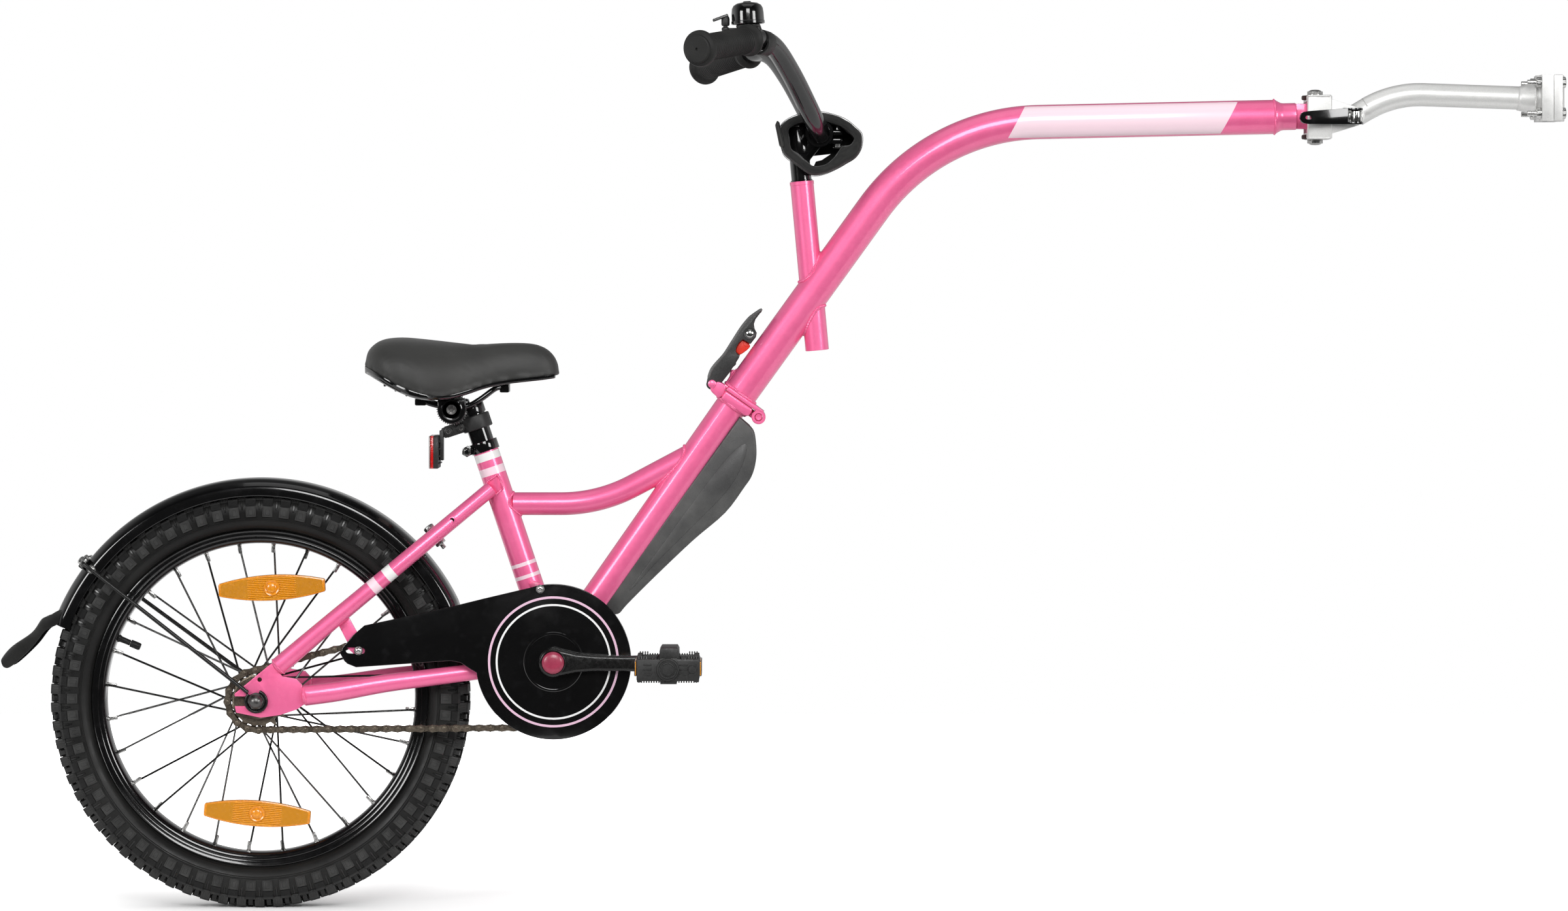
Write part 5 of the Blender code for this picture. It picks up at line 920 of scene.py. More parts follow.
seatDirection = leaning(108.5)
downDirection = leaning(55.1)
downSide = leaning(-34.9)
boomDirection = leaning(54.2)
upperDirection = leaning(1.25)
headDirection = leaning(95.25)
headTop = at(598.7, 0, 802.3)
boomStart = at(527.1, 0, 562.69)
boomCorner = at(745.41, 0, 865.38)
shoulder = at(1121.32, 0, 873.58)
flangeSplit = 0.352


def onDownTube(along, side, y=0.0):
    return bracket + downDirection * along + downSide * side + across * y


def weld(mesh, foot, direction, radius, axisPoint, axisDirection, otherRadius, bead=0.0016, finish=0):
    # a rippled bead where a tube meets the round surface about another axis
    direction = direction.normalized()
    axisDirection = axisDirection.normalized()
    first, second = squareTo(direction)
    points = []
    for index in range(56):
        angle = 2 * pi * index / 56
        start = foot + (first * cos(angle) + second * sin(angle)) * radius
        offset = start - axisPoint
        offset -= axisDirection * offset.dot(axisDirection)
        step = direction - axisDirection * direction.dot(axisDirection)
        size = step.length_squared
        middle = offset.dot(step)
        root = max(middle * middle - size * (offset.length_squared - otherRadius ** 2), 0.0)
        points.append(start + direction * (-middle - sqrt(root)) / size)
    beadLine(mesh, points, bead, True, finish)


def beadLine(mesh, points, bead=0.0016, ring=False, finish=0):
    length = sum((other - one).length for one, other in zip(points, points[1:]))
    bit = bmesh.new()
    bmesh.ops.create_uvsphere(bit, u_segments=10, v_segments=7, radius=bead)
    bmesh.ops.scale(bit, verts=bit.verts, vec=(0.95, 1.0, 1.0))
    addAlong(mesh, bit, finish, points, max(6, int(length / bead / 0.85)), ring, 0.07)


def circleAbout(centre, direction, radius, steps=48):
    first, second = squareTo(direction)
    return [centre + (first * cos(2 * pi * index / steps) + second * sin(2 * pi * index / steps))
        * radius for index in range(steps)]


seatTubeValues = {"radius": 0.0143, "length": 0.253, "collar": 0.0126, "stripe": 0.0087, "space": 0.008,
    "lowStripes": (0.0945, 0.1085), "lowStripe": 0.004}


def seatTubeMarks():
    values = seatTubeValues
    top = values["length"] - values["collar"]
    second = top - values["stripe"] - values["space"]

    def white(paint):
        return paint.band(paint.along(bracket, seatDirection), top - values["stripe"], top)

    def pale(paint):
        place = paint.along(bracket, seatDirection)
        mask = paint.band(place, second - values["stripe"], second)
        for low in values["lowStripes"]:
            mask = mask + paint.band(place, low, low + values["lowStripe"])
        return mask
    return [(white, "white"), (pale, "pale")]


def makeSeatTube():
    values = seatTubeValues
    mesh = bmesh.new()
    top = bracket + seatDirection * values["length"]
    radius = values["radius"]
    start = bracket + seatDirection * 0.0185
    height = (top - start).length
    lathe(mesh, [(radius, 0.0), (radius, height - 0.0008), (radius - 0.0006, height), (0.0131, height),
        (0.0131, height - 0.02), (0.0, height - 0.02)], start, seatDirection, 48)
    weld(mesh, bracket + seatDirection * 0.06, -seatDirection, radius, bracket, across, 0.0202)
    peg = at(311.2, -51.5, 357)
    root = bracket + seatDirection * ((peg.z - bracket.z) / seatDirection.z)
    sweep(mesh, [root, root.lerp(peg, 0.6), peg + across * 0.0008], [0.0046, 0.0036, 0.0034], 16)
    finishPiece("seatTubeTube", mesh, "rear_frame",
        [pinkPaint("seatTubePaint", seatTubeMarks())], ["seat_tube"])


def makeDownTube():
    mesh = bmesh.new()
    end = flangeSplit - 0.01 - 0.0006
    sweep(mesh, [bracket + downDirection * 0.0175, bracket + downDirection * end], 0.01745, 52)
    weld(mesh, bracket + downDirection * 0.08, -downDirection, 0.01745, bracket, across, 0.0202)
    weld(mesh, bracket + downDirection * 0.055, downDirection + seatDirection * 0.001, 0.0001, bracket,
        across, 0.02)
    ring = circleAbout(bracket + downDirection * (end - 0.0006), downDirection, 0.018)
    beadLine(mesh, ring, 0.0019, True)
    finishPiece("downTubeTube", mesh, "rear_frame", [plainPink], ["down_tube"])


def makeMidTube():
    mesh = bmesh.new()
    start = bracket + seatDirection * ((0.4453 - bracket.z) / seatDirection.z)
    corner = at(374.8, 0, 445.3)
    rise = leaning(28)
    end = corner + rise * ((corner - bracket).dot(downSide) / -rise.dot(downSide))
    path = rounded([start + at(11, 0, 0), corner, end - rise * 0.015], 0.17, 18)
    sweep(mesh, path, 0.0127, 40)
    weld(mesh, start + at(50, 0, 0), Vector((-1, 0, 0)), 0.0127, bracket, seatDirection, 0.0144)
    weld(mesh, end - rise * 0.06, rise, 0.0127, bracket, downDirection, 0.0176)
    finishPiece("midTubeTube", mesh, "rear_frame", [plainPink], ["mid_tube"])


def makeShell():
    mesh = bmesh.new()
    half = 0.034
    lathe(mesh, [(0.0165, -half), (0.0196, -half), (0.02, -half + 0.0006), (0.02, half - 0.0006),
        (0.0196, half), (0.0165, half)], bracket, across, 56, ring=True)
    for side in (-1, 1):
        cup = mm((9, 0), (16.4, 0), (16.4, 1), (15, 2.2), (13.5, 2.2), (12.5, 1.2), (9, 1.2))
        lathe(mesh, cup, bracket + across * side * (half - 0.0026), across * side, 40, 1, ring=True)
    finishPiece("bracketShell", mesh, "rear_frame", [plainPink, blackPaint], ["bb_shell"])


chainstayRoute = mm((53.2, 58, 237.2), (90, 56, 241.8), (140, 50.5, 250), (190, 42.5, 256), (240, 34, 262),
    (285, 26.5, 268), (310, 23.5, 271.8))
seatstayRoute = mm((24, 58, 269), (75.5, 56, 312.7), (117.9, 51.5, 348), (161.6, 44.5, 384.5),
    (200, 34, 416.5), (238, 21.5, 448), (255, 15, 462.2))


stayValues = {"chainstay": {"route": chainstayRoute,
    "radii": (0.0112, 0.0108, 0.0099, 0.0094, 0.0091, 0.009, 0.0089), "flat": 0.85,
    "meets": (across, 0.0202), "bead": 0.9}, "seatstay": {"route": seatstayRoute,
    "radii": (0.0102, 0.0094, 0.009, 0.0087, 0.0084, 0.0083, 0.0083), "flat": 1.0,
    "meets": (seatDirection, 0.0145), "bead": 0.98}}


def stayBand(low, high):
    return lambda paint: paint.band(paint.along(at(145.9, 0, 370.6), Vector((0.768, 0, 0.641))), low, high)


def makeStays(side, label):
    for kind, values in stayValues.items():
        mesh = bmesh.new()
        path = smoothPath([(x, y * side, z) for x, y, z in values["route"]], 5)
        radii = smoothValues(values["radii"], 5)
        lead = (path[0] - path[1]).normalized()
        path = [path[0] + lead * 0.0042, path[0] + lead * 0.0026] + path
        radii = [radii[0] * 0.35, radii[0] * 0.82] + radii
        sweep(mesh, path, radii, 32, flat=values["flat"])
        direction = (path[-1] - path[-4]).normalized()
        weld(mesh, path[-1] - direction * 0.02, direction, values["radii"][-1], bracket, *values["meets"],
            0.0014)
        if kind == "seatstay":
            if side > 0:
                bridge = [Vector((0.196, y, 0.413)) for y in (-0.035, 0.035)]
                sweep(mesh, bridge, 0.005, 24)
            else:
                tab = mm((88, 317), (99, 326.2), (119, 290))
                tab += arc((0.1116, 0.2862), 0.007, 20, -140, 8)
                plate(mesh, tab, -0.0514, -0.0492, 0.0005, 2)
            boss = Vector((0.2135, side * 0.0372, 0.4288))
            lathe(mesh, mm((2.6, 0), (4.2, 0), (4, 1), (2.6, 1.3)), boss, across * side, 28, ring=True)
            rod(mesh, 2.7, 0, 0.9, boss, across * side, 20, 1)
            marks = [(stayBand(-0.0053, 0.0053), "white"), (stayBand(-0.0259, -0.016), "pale")]
            finish = pinkPaint("seatstayPaint" + label, marks)
        else:
            finish = plainPink
        beadLine(mesh, circleAbout(path[2], path[3] - path[2], radii[2] * values["bead"], 40), 0.0009, True)
        finishPiece(kind + "Tube" + label, mesh, "rear_frame", [finish, blackPaint],
            [kind + "_" + label.lower()])
    mesh = copyOfNode("dropout_" + label.lower(), 0.0012, 3, 50)
    finishPiece("dropoutPlate" + label, mesh, "rear_frame", [plainPink],
        ["dropout_" + label.lower()])


boomValues = {"panelLow": 0.83617, "panelHigh": 1.07137, "panelLean": 0.566, "panelHalf": 0.0173}


def boomPanel(paint):
    values = boomValues
    along = paint.along(boomCorner, upperDirection)
    rise = paint.along(boomCorner, Vector((-upperDirection.z, 0, upperDirection.x)))
    place = along - rise * values["panelLean"] + boomCorner.x
    return paint.band(place, values["panelLow"], values["panelHigh"]) * (abs(rise) < values["panelHalf"])


def makeBoom():
    mesh = bmesh.new()
    start = boomStart + boomDirection * 0.0059
    path = rounded([start, boomCorner, shoulder], 0.23, 40)
    radii = [0.01905] * len(path)
    for along, radius in mm((2, 18.8), (4.8, 17.2), (7.8, 15.5), (10.5, 15), (24, 15), (24.8, 14.3)):
        path.append(shoulder + upperDirection * along)
        radii.append(radius)
    sweep(mesh, path, radii, 56)
    end = path[-1]
    tongue = [(end.x - 0.004, end.z - 0.014), (yaw.x, end.z - 0.014), (yaw.x, end.z + 0.014),
        (end.x - 0.004, end.z + 0.014)]
    plate(mesh, tongue, -0.005, 0.005, 0.001, 2)
    lathe(mesh, mm((4.5, -17.2), (9, -17.2), (9.5, -16.6), (9.5, 16.6), (9, 17.2), (4.5, 17.2)), yaw,
        upward, 40, ring=True)
    beadLine(mesh, circleAbout(start + boomDirection * 0.0004, boomDirection, 0.0195), 0.002, True)
    beadLine(mesh, circleAbout(shoulder + upperDirection * 0.0006, upperDirection, 0.019), 0.0011, True)
    for sign in (-1, 1):
        weld(mesh, headTop - headDirection * 0.094 + headDirection * sign * 0.16, -headDirection * sign,
            0.0131, boomStart, boomDirection, 0.0192, 0.0018)
    finishPiece("boomTube", mesh, "front_frame",
        [pinkPaint("boomPaint", [(boomPanel, "pale")])], ["front_tube"])
    mesh = bmesh.new()
    length = 0.188
    lathe(mesh, [(0.0114, 0.0), (0.0124, 0.0), (0.013, 0.0006), (0.013, length - 0.0042),
        (0.0134, length - 0.0038), (0.0134, length - 0.0004), (0.013, length), (0.0114, length)],
        headTop - headDirection * length, headDirection, 48, ring=True)
    finishPiece("headTubeTube", mesh, "front_frame", [plainPink], ["head_tube"])


makeSeatTube()
makeDownTube()
makeMidTube()
makeShell()
for side, label in ((-1, "Right"), (1, "Left")):
    makeStays(side, label)
makeBoom()
print("frame made")

# Drive

driveValues = {"pitch": 0.0127, "small": 16, "large": 36, "chainLine": -0.045, "plateHeight": 0.0082}


def chainPath():
    small = driveValues["pitch"] / (2 * sin(pi / driveValues["small"]))
    large = driveValues["pitch"] / (2 * sin(pi / driveValues["large"]))
    reach = bracket - hub
    base = atan2(reach.z, reach.x)
    spread = acos((large - small) / reach.length)
    run = sqrt(reach.length ** 2 - (large - small) ** 2)
    top = base + pi - spread
    lengths = (run, large * 2 * (pi - spread), run, small * 2 * spread)
    bottom = top - 2 * (pi - spread)

    def place(length):
        length %= sum(lengths)
        if length < lengths[0]:
            return polar(hub, small, top).lerp(polar(bracket, large, top), length / run)
        length -= lengths[0]
        if length < lengths[1]:
            return polar(bracket, large, top - length / large)
        length -= lengths[1]
        if length < lengths[2]:
            return polar(bracket, large, bottom).lerp(polar(hub, small, bottom), length / run)
        return polar(hub, small, bottom - (length - lengths[2]) / small)
    return place, sum(lengths)


def linkPlate(mesh, y, thick):
    half = driveValues["pitch"] / 2
    wide = driveValues["plateHeight"] / 2
    waist = wide * 0.72
    outline = arc((half, 0), wide, -115, 115, 9) + [(0, waist)]
    outline += arc((-half, 0), wide, 65, 295, 9) + [(0, -waist)]
    plate(mesh, outline, y - thick / 2, y + thick / 2, 0.00028, 1)


def makeChain():
    place, total = chainPath()
    count = 2 * round(total / driveValues["pitch"] / 2)
    mesh = bmesh.new()
    half = driveValues["pitch"] / 2
    for shift, outer in ((1, True), (2, False)):
        link = bmesh.new()
        for side in (-1, 1):
            linkPlate(link, side * (0.0033 if outer else 0.002), 0.0011)
            for end in (-half, half):
                if outer:
                    lathe(link, mm((0, -0.3), (2.1, -0.3), (2, 0.3), (1.2, 0.5), (0, 0.3)),
                        Vector((end, side * 0.0038, 0)), across * side, 14)
                elif side > 0:
                    rod(link, 3.8, -1.4, 1.4, Vector((end, 0, 0)), across, 16)
        steps = 720
        line = [place(total * (shift / count + index / steps))
            + across * driveValues["chainLine"] for index in range(steps)]
        addAlong(mesh, link, 0 if outer else 1, line, count // 2, True)
    inner = steel("chainInner", 0.13, 0.4, tint=(1, 0.84, 0.66))
    finishPiece("chainLinks", mesh, "rear_frame", [chainSteel, inner], ["chain"])
    mesh = copyOfNode("chainring", 0.0004, 1)
    back = bracket + across * (driveValues["chainLine"] - 0.0012)
    lathe(mesh, mm((16.5, 0), (30, 0), (33.5, 0.8), (34.5, 0), (48, -0.6), (16.5, -0.6)), back, -across, 60,
        0, ring=True)
    finishPiece("chainringTeeth", mesh, "crank", [blackPaint], ["chainring"])
    mesh = copyOfNode("freewheel_sprocket", 0.0004, 1)
    for radius, low, high in mm((26.2, 1.8, 2.6), (20.5, 2.6, 4.6)):
        lathe(mesh, [(0.013, low), (radius, low), (radius, high - 0.0004), (radius - 0.0006, high),
            (0.013, high)], hub + across * driveValues["chainLine"], -across, 48, 0, ring=True)
    finishPiece("freewheelTeeth", mesh, "freewheel", [chainSteel], ["freewheel_sprocket"])
    mesh = copyOfNode("bb_axle", 0.0004, 1)
    finishPiece("bracketAxle", mesh, "crank", [gunmetal], ["bb_axle"])


crankTurn = -degrees(atan2(2.3, 175.5))


def pedalPlace(side):
    return polar(bracket, 0.127 * (1 if side < 0 else -1), radians(crankTurn))


def makeCrank(side, label):
    mesh = bmesh.new()
    end = pedalPlace(side)
    turn = degrees(atan2((end - bracket).z, (end - bracket).x))
    middle, tip = (bracket.x, bracket.z), (end.x, end.z)
    along = (end - bracket).normalized()
    high = Vector((-along.z, 0, along.x))

    def edge(share, width):
        place = bracket + along * 0.127 * share + high * width
        return (place.x, place.z)
    outline = arc(middle, 0.016, turn + 62, turn + 298, 26)
    outline += [edge(0.2, -0.0102), edge(0.36, -0.0086), edge(0.62, -0.0082), edge(0.8, -0.0092)]
    outline += arc(tip, 0.0118, turn - 75, turn + 75, 16)
    outline += [edge(0.8, 0.0092), edge(0.62, 0.0082), edge(0.36, 0.0086), edge(0.2, 0.0102)]
    low, top = (0.0572, 0.0688)
    plate(mesh, outline, side * low, side * top, 0.0034, 4)
    out = across * side
    lathe(mesh, mm((10.5, 38.5), (15.8, 38.5), (16, 39.2), (16, 60), (10.5, 60)), bracket, out, 48, 0,
        ring=True)
    lathe(mesh, mm((0, 67.5), (13.8, 67.5), (13.8, 68.8), (12.9, 69.4), (12.6, 68.8)), bracket, out, 48)
    lathe(mesh, mm((0, 68.5), (12.1, 68.5), (12.2, 71.2), (11.6, 72.4), (9, 73.8), (5, 74.5), (0, 74.7)),
        bracket, out, 48, 1)
    lathe(mesh, mm((0, 56), (7.2, 56), (7.2, 57.2), (5, 57.2)), end, out, 30, 2)
    rod(mesh, 5, 65, 148, end, out, 20, 2)
    tube(mesh, 5, 7.8, 68.8, 70.8, end, out, 24, 2)
    cap = Finish("crankCap" + label, {"Roughness": 0.34, "Coat Weight": 0.4, "Coat Roughness": 0.2})
    cap.tint(cap.noise(260.0), colour(0.24, 0.018, 0.05), colour(0.4, 0.04, 0.09))
    cap.bump(cap.noise(700.0), 0.0001, 0.5)
    finishPiece("crankArm" + label, mesh, "crank", [blackPaint, cap, gunmetal],
        ["crank_" + label.lower()], 40)


def makePedal(side, body, label):
    mesh = bmesh.new()
    low, wide = 0.0715, 0.078
    for x in (-0.031, -0.0165, 0.0165, 0.031):
        tall = 0.0118 if abs(x) > 0.02 else 0.0095
        block(mesh, (x, side * (low + wide / 2), -0.0005), (0.0058, wide - 0.006, tall * 2), None, 0.0012,
            2)
        for row in range(11):
            for z, high in mm((12, 3.4), (-12.8, 3)) if abs(x) > 0.02 else ():
                block(mesh, (x, side * (low + 0.01 + row * 0.0058), z), (0.0052, 0.003, high), None, 0.0006,
                    1)
    for place in (low + 0.003, low + wide - 0.003):
        face = mm((-32.5, -12.5), (33, -12.5), (34.5, -8), (34.5, 8.5), (32.5, 11.2), (-32.5, 11.2),
            (-33.5, 8), (-33.5, -10.5))
        plate(mesh, face, side * (place - 0.003), side * (place + 0.003), 0.0008, 2)
        for index in range(24):
            x = -0.0312 + index * 0.0027
            if abs(x) > 0.0085:
                block(mesh, (x, side * place, -0.013), (0.0014, 0.0052, 0.0026), None, 0.0004, 1)
                tall = 0.0034 if abs(x) > 0.0225 else 0.0014
                block(mesh, (x, side * place, 0.0112 + tall / 2), (0.0014, 0.0052, tall), None, 0.0004, 1,
                    1 if abs(x) > 0.0225 else 0)
    lug = mm((-9, 10.5), (-9, 20), (-7, 23.2), (10, 23.2), (11.8, 20), (12.2, 10.5))
    plate(mesh, lug, side * (low + 0.012), side * (low + wide - 0.0006), 0.0012, 2)
    foot = mm((-9, -10), (10, -10), (9.5, -15.8), (-8, -15.8))
    plate(mesh, foot, side * (low + 0.012), side * (low + wide - 0.0006), 0.001, 2)
    housing = mm((-10, -13), (10.5, -13), (11.8, 6), (10, 12.5), (-8.5, 12.5), (-11, 6))
    plate(mesh, housing, side * (low + 0.004), side * (low + wide + 0.0008), 0.0012, 2)
    out = across * side
    lathe(mesh, [(0.0055, 0.0), (0.0155, 0.0), (0.016, 0.0006), (0.016, 0.0076), (0.0125, 0.013),
        (0.0125, wide - 0.006), (0.0055, wide - 0.006)], out * low, out, 36, 0, ring=True)
    face = low + wide
    lathe(mesh, mm((0, -4), (12.2, -4), (12.4, 1.6), (11.8, 2.6), (10.4, 2.7), (9.8, 1.8), (8, 1.7),
        (7.6, 2.6), (6.8, 2.7), (6.4, 1.8), (0, 1.7)), out * face, out, 40)
    lathe(mesh, mm((0, -2), (4.4, -2), (4.4, 1.6), (3.6, 2.4), (0, 2.6)), out * face + at(26.2, 0, 0.6),
        out, 20)
    for x in (-0.022, 0.0175):
        for z in (-0.005, 0.0, 0.005):
            block(mesh, (x, side * face, z), (0.009, 0.0016, 0.0016), None, 0.0005, 1)
    for sign in (-1, 1):
        block(mesh, (sign * 0.0352, side * (low + wide / 2), 0.0004), (0.0026, wide * 0.72, 0.0165), None,
            0.0008, 2, 2)
    bmesh.ops.translate(mesh, verts=mesh.verts, vec=pedalPlace(side))
    worn = satinBlack("pedalPad" + label, 0.1, 0.6, 1200.0, 0.0003)
    cage = satinBlack("pedalBody" + label, 0.016, 0.42, 500.0, 0.00012)
    finishPiece("pedalCage" + label, mesh, body, [cage, worn, amber],
        ["pedal_" + label.lower()])


guardValues = {"inner": -0.0515, "outer": -0.0543, "radius": 0.0854, "hole": 0.03,
    "paleRing": (0.0694, 0.0719), "whiteRing": (0.0613, 0.0634)}


def makeChainGuard():
    values = guardValues

    def ringOf(name):
        return lambda paint: paint.band(paint.round(bracket)[0], *values[name])
    mesh = bmesh.new()
    outline = arc((bracket.x, bracket.z), values["radius"], 108, -172, 96)
    tail = mm((234.5, 266), (223.7, 273), (212.9, 275.2), (165, 271.8), (108.9, 268), (99.5, 271.8),
        (96, 275), (91.5, 283.1), (94.6, 290.2), (106, 303.5), (118, 313.9), (148.4, 320.4), (220.1, 336.2),
        (248.8, 343.3))
    plate(mesh, outline + tail, values["outer"], values["inner"], 0.0006, 3)
    hole = bmesh.new()
    lathe(hole, [(0.0, -0.01), (values["hole"], -0.01), (values["hole"], 0.01), (0.0, 0.01)],
        bracket + across * values["inner"], across, 72)
    slot = bmesh.new()
    ends = mm((101, 286.6), (115.5, 286.2))
    outline = arc(ends[0], 0.0034, 90, 270, 10) + arc(ends[1], 0.0034, -90, 90, 10)
    plate(slot, outline, values["inner"] - 0.01, values["inner"] + 0.01)
    mesh = carve(mesh, hole, slot)
    face = bracket + across * values["outer"]
    lathe(mesh, mm((30, 0.9), (30, -0.7), (30.6, -0.9), (32.2, -0.7), (33, 0)), face, across, 96)
    tab = mm((98.5, 289.5), (108.5, 297.5), (119, 288), (116, 283.5), (106, 283))
    plate(mesh, tab, -0.0513, -0.0508, 0.0, 1, 2)
    for x, z in mm((111.6, 286.2), (311.2, 354)):
        spot = Vector((x, values["outer"], z))
        lathe(mesh, mm((0, 0), (4.8, 0), (4.7, 0.6), (0, 0.6)), spot, -across, 28, 1)
        crossScrew(mesh, spot - across * 0.0005, -across, 0.0036, 0.0018, 1)
    marks = [(ringOf("paleRing"), colour(0.78, 0.52, 0.66)),
        (ringOf("whiteRing"), colour(0.86, 0.86, 0.86))]
    finishPiece("chainGuardPlate", mesh, "rear_frame",
        [glossBlack("guardGloss", marks), zinc, plainPink], ["chain_guard"])


makeChain()
for side, label, body in ((-1, "Right", "pedal_near"), (1, "Left", "pedal_far")):
    makeCrank(side, label)
    makePedal(side, body, label)
makeChainGuard()
print("drive made")

# Guards

mudguardValues = {"front": 24.0, "back": 160.0, "crown": 0.2433, "half": 0.03, "edge": 0.2235,
    "wall": 0.0018}


def makeMudguard():
    values = mudguardValues
    crown, half, edge, wall = (values[name] for name in ("crown", "half", "edge", "wall"))
    side = smoothOutline([(half, edge + 0.0012), (half, edge + 0.007), (half - 0.0012, crown - 0.0085),
        (half - 0.006, crown - 0.004), (half - 0.014, crown - 0.0008), (0, crown)], 4, False)
    shape = [(half - 0.0002, edge), (half - 0.001, edge - 0.0004)]
    section = [(half - 0.0018, edge + 0.0004)] + shape + side
    section += [(-y, r) for y, r in reversed(side[:-1])] + [(-y, r) for y, r in reversed(shape)]
    section += [(-half + 0.0018, edge + 0.0004)]
    section += [(-(y - wall) if y > 0.004 else -y, r - (wall if y < half - 0.003 else 0)) for y, r in side]
    section += [((y - wall) if y > 0.004 else y, r - (wall if y < half - 0.003 else 0)) for y,
        r in reversed(side[:-1])]
    mesh = bmesh.new()
    rings = []
    steps = 120
    for index in range(steps + 1):
        share = index / steps
        angle = radians(values["front"] + (values["back"] - values["front"]) * share)
        pull = 0.0016 * max(0.0, 1 - min(share, 1 - share) / 0.02) ** 2
        out = polar(Vector(), 1.0, angle)
        rings.append([mesh.verts.new(hub + out * (r - pull) + across * y * (1 - pull * 9)) for y,
            r in section])
    loft(mesh, rings)
    bridge = at(196, 0, 413)
    out = (bridge - hub).normalized()
    tangent = Vector((-out.z, 0, out.x))
    end = (bridge - hub).length - 0.0053
    block(mesh, hub + out * (crown + end) / 2, (end - crown + 0.002, 0.022, 0.014), (out, across, tangent),
        0.002, 3)
    bolt = Vector((0.62, 0, -0.785))
    rod(mesh, 2.6, -8, 8, bridge - at(3, 0, 4), bolt, 20, 1)
    hexNut(mesh, at(188, 0, 415.4), -bolt, 0.0104, 0.006, 1, dome=0.0006)
    hexNut(mesh, at(196.8, 0, 404.2), bolt, 0.0104, 0.0048, 1)
    rod(mesh, 6.8, 0, 1, at(196.2, 0, 405), bolt, 28, 1)
    thread(mesh, at(199.4, 0, 400.8), bolt, 0.0026, 0.006, 6, 1)
    for sign in (-1, 1):
        spot = hub + out * (crown + end) / 2 + across * sign * 0.011
        crossScrew(mesh, spot, across * sign, 0.004, 0.0026, 1)
        spot = polar(hub, 0.2335, radians(142.3), sign * 0.0297)
        lathe(mesh, mm((0, 0), (5, 0), (4.8, 0.7), (0, 0.7)), spot, across * sign, 24, 1)
        crossScrew(mesh, spot + across * sign * 0.0006, across * sign, 0.0036, 0.002, 1)
    finishPiece("mudguardShell", mesh, "rear_frame", [blackGloss, zinc], ["mudguard"], 40)
    mesh = bmesh.new()
    outline = mm((-220, 329), (-233, 322), (-240, 319), (-250.5, 304.6), (-272.2, 289.4), (-283, 277.2),
        (-284.5, 271.4), (-280.8, 265.6), (-272.2, 267.8), (-250.5, 288), (-236.1, 306), (-223, 313.2),
        (-213, 325))
    inside = mm((-229, 316.5), (-240, 312.5), (-248, 301), (-270, 285.5), (-279.5, 274), (-270, 260),
        (-235, 290), (-225, 300))
    plate(mesh, smoothOutline(outline, 5), -0.0265, 0.0265, 0.0009, 2)
    hollow = bmesh.new()
    plate(hollow, smoothOutline(inside, 4), -0.0246, 0.0246)
    mesh = carve(mesh, hollow)
    finishPiece("mudflapFlap", mesh, "rear_frame", [rubber("flapRubber", 0.012, 0.36)],
        ["mudflap"], 40)


def makeStay():
    mesh = bmesh.new()
    out = polar(Vector(), 1.0, radians(142.3))
    reach = mudguardValues["crown"] + 0.0025
    half = mudguardValues["half"] + 0.0034
    points = []
    for side in (-1, 1):
        low = hub + Vector((-0.009, side * 0.064, 0.0098))
        high = hub + out * (reach - 0.01) + across * side * half
        turn = hub + out * (reach - 0.001) + across * side * (half - 0.005)
        legs = [low, low.lerp(high, 0.35), low.lerp(high, 0.7), high, turn,
            hub + out * reach + across * side * (half - 0.016)]
        points += legs if side < 0 else list(reversed(legs))
    sweep(mesh, smoothPath(points, 5), 0.0022, 14)
    for side in (-1, 1):
        sweep(mesh, circleAbout(hub + across * side * 0.0632, across, 0.0112, 40)[2:-4], 0.0019, 12)
        clip = hub + out * (mudguardValues["crown"] - 0.003) + across * side * (half - 0.015)
        block(mesh, clip + out * 0.0042, (0.006, 0.02, 0.013), (out, across, Vector((-out.z, 0, out.x))),
            0.0014, 2, 1)
        hexNut(mesh, clip + out * 0.007, out, 0.008, 0.0036, 1, dome=0.001)
    finishPiece("mudguardWire", mesh, "rear_frame", [blackPaint, zinc], ["mudguard_stay"],
        40)


def makeAxle():
    mesh = bmesh.new()
    rod(mesh, 4.8, -56, 56, hub, across, 20, 1)
    for side in (-1, 1):
        out = across * side
        tube(mesh, 5.2, 8, 38, 54.5, hub, out, 6, 1)
        lathe(mesh, mm((0, 61.2), (9.2, 61.2), (9.5, 61.6), (9.5, 62.6), (0, 62.8)), hub, out, 40)
        hexNut(mesh, hub + out * 0.0626, out, 0.015, 0.0078, 0, dome=0.004)
    finishPiece("axleAndNuts", mesh, "rear_frame", [gunmetal, zinc], ["wheel_axle"])


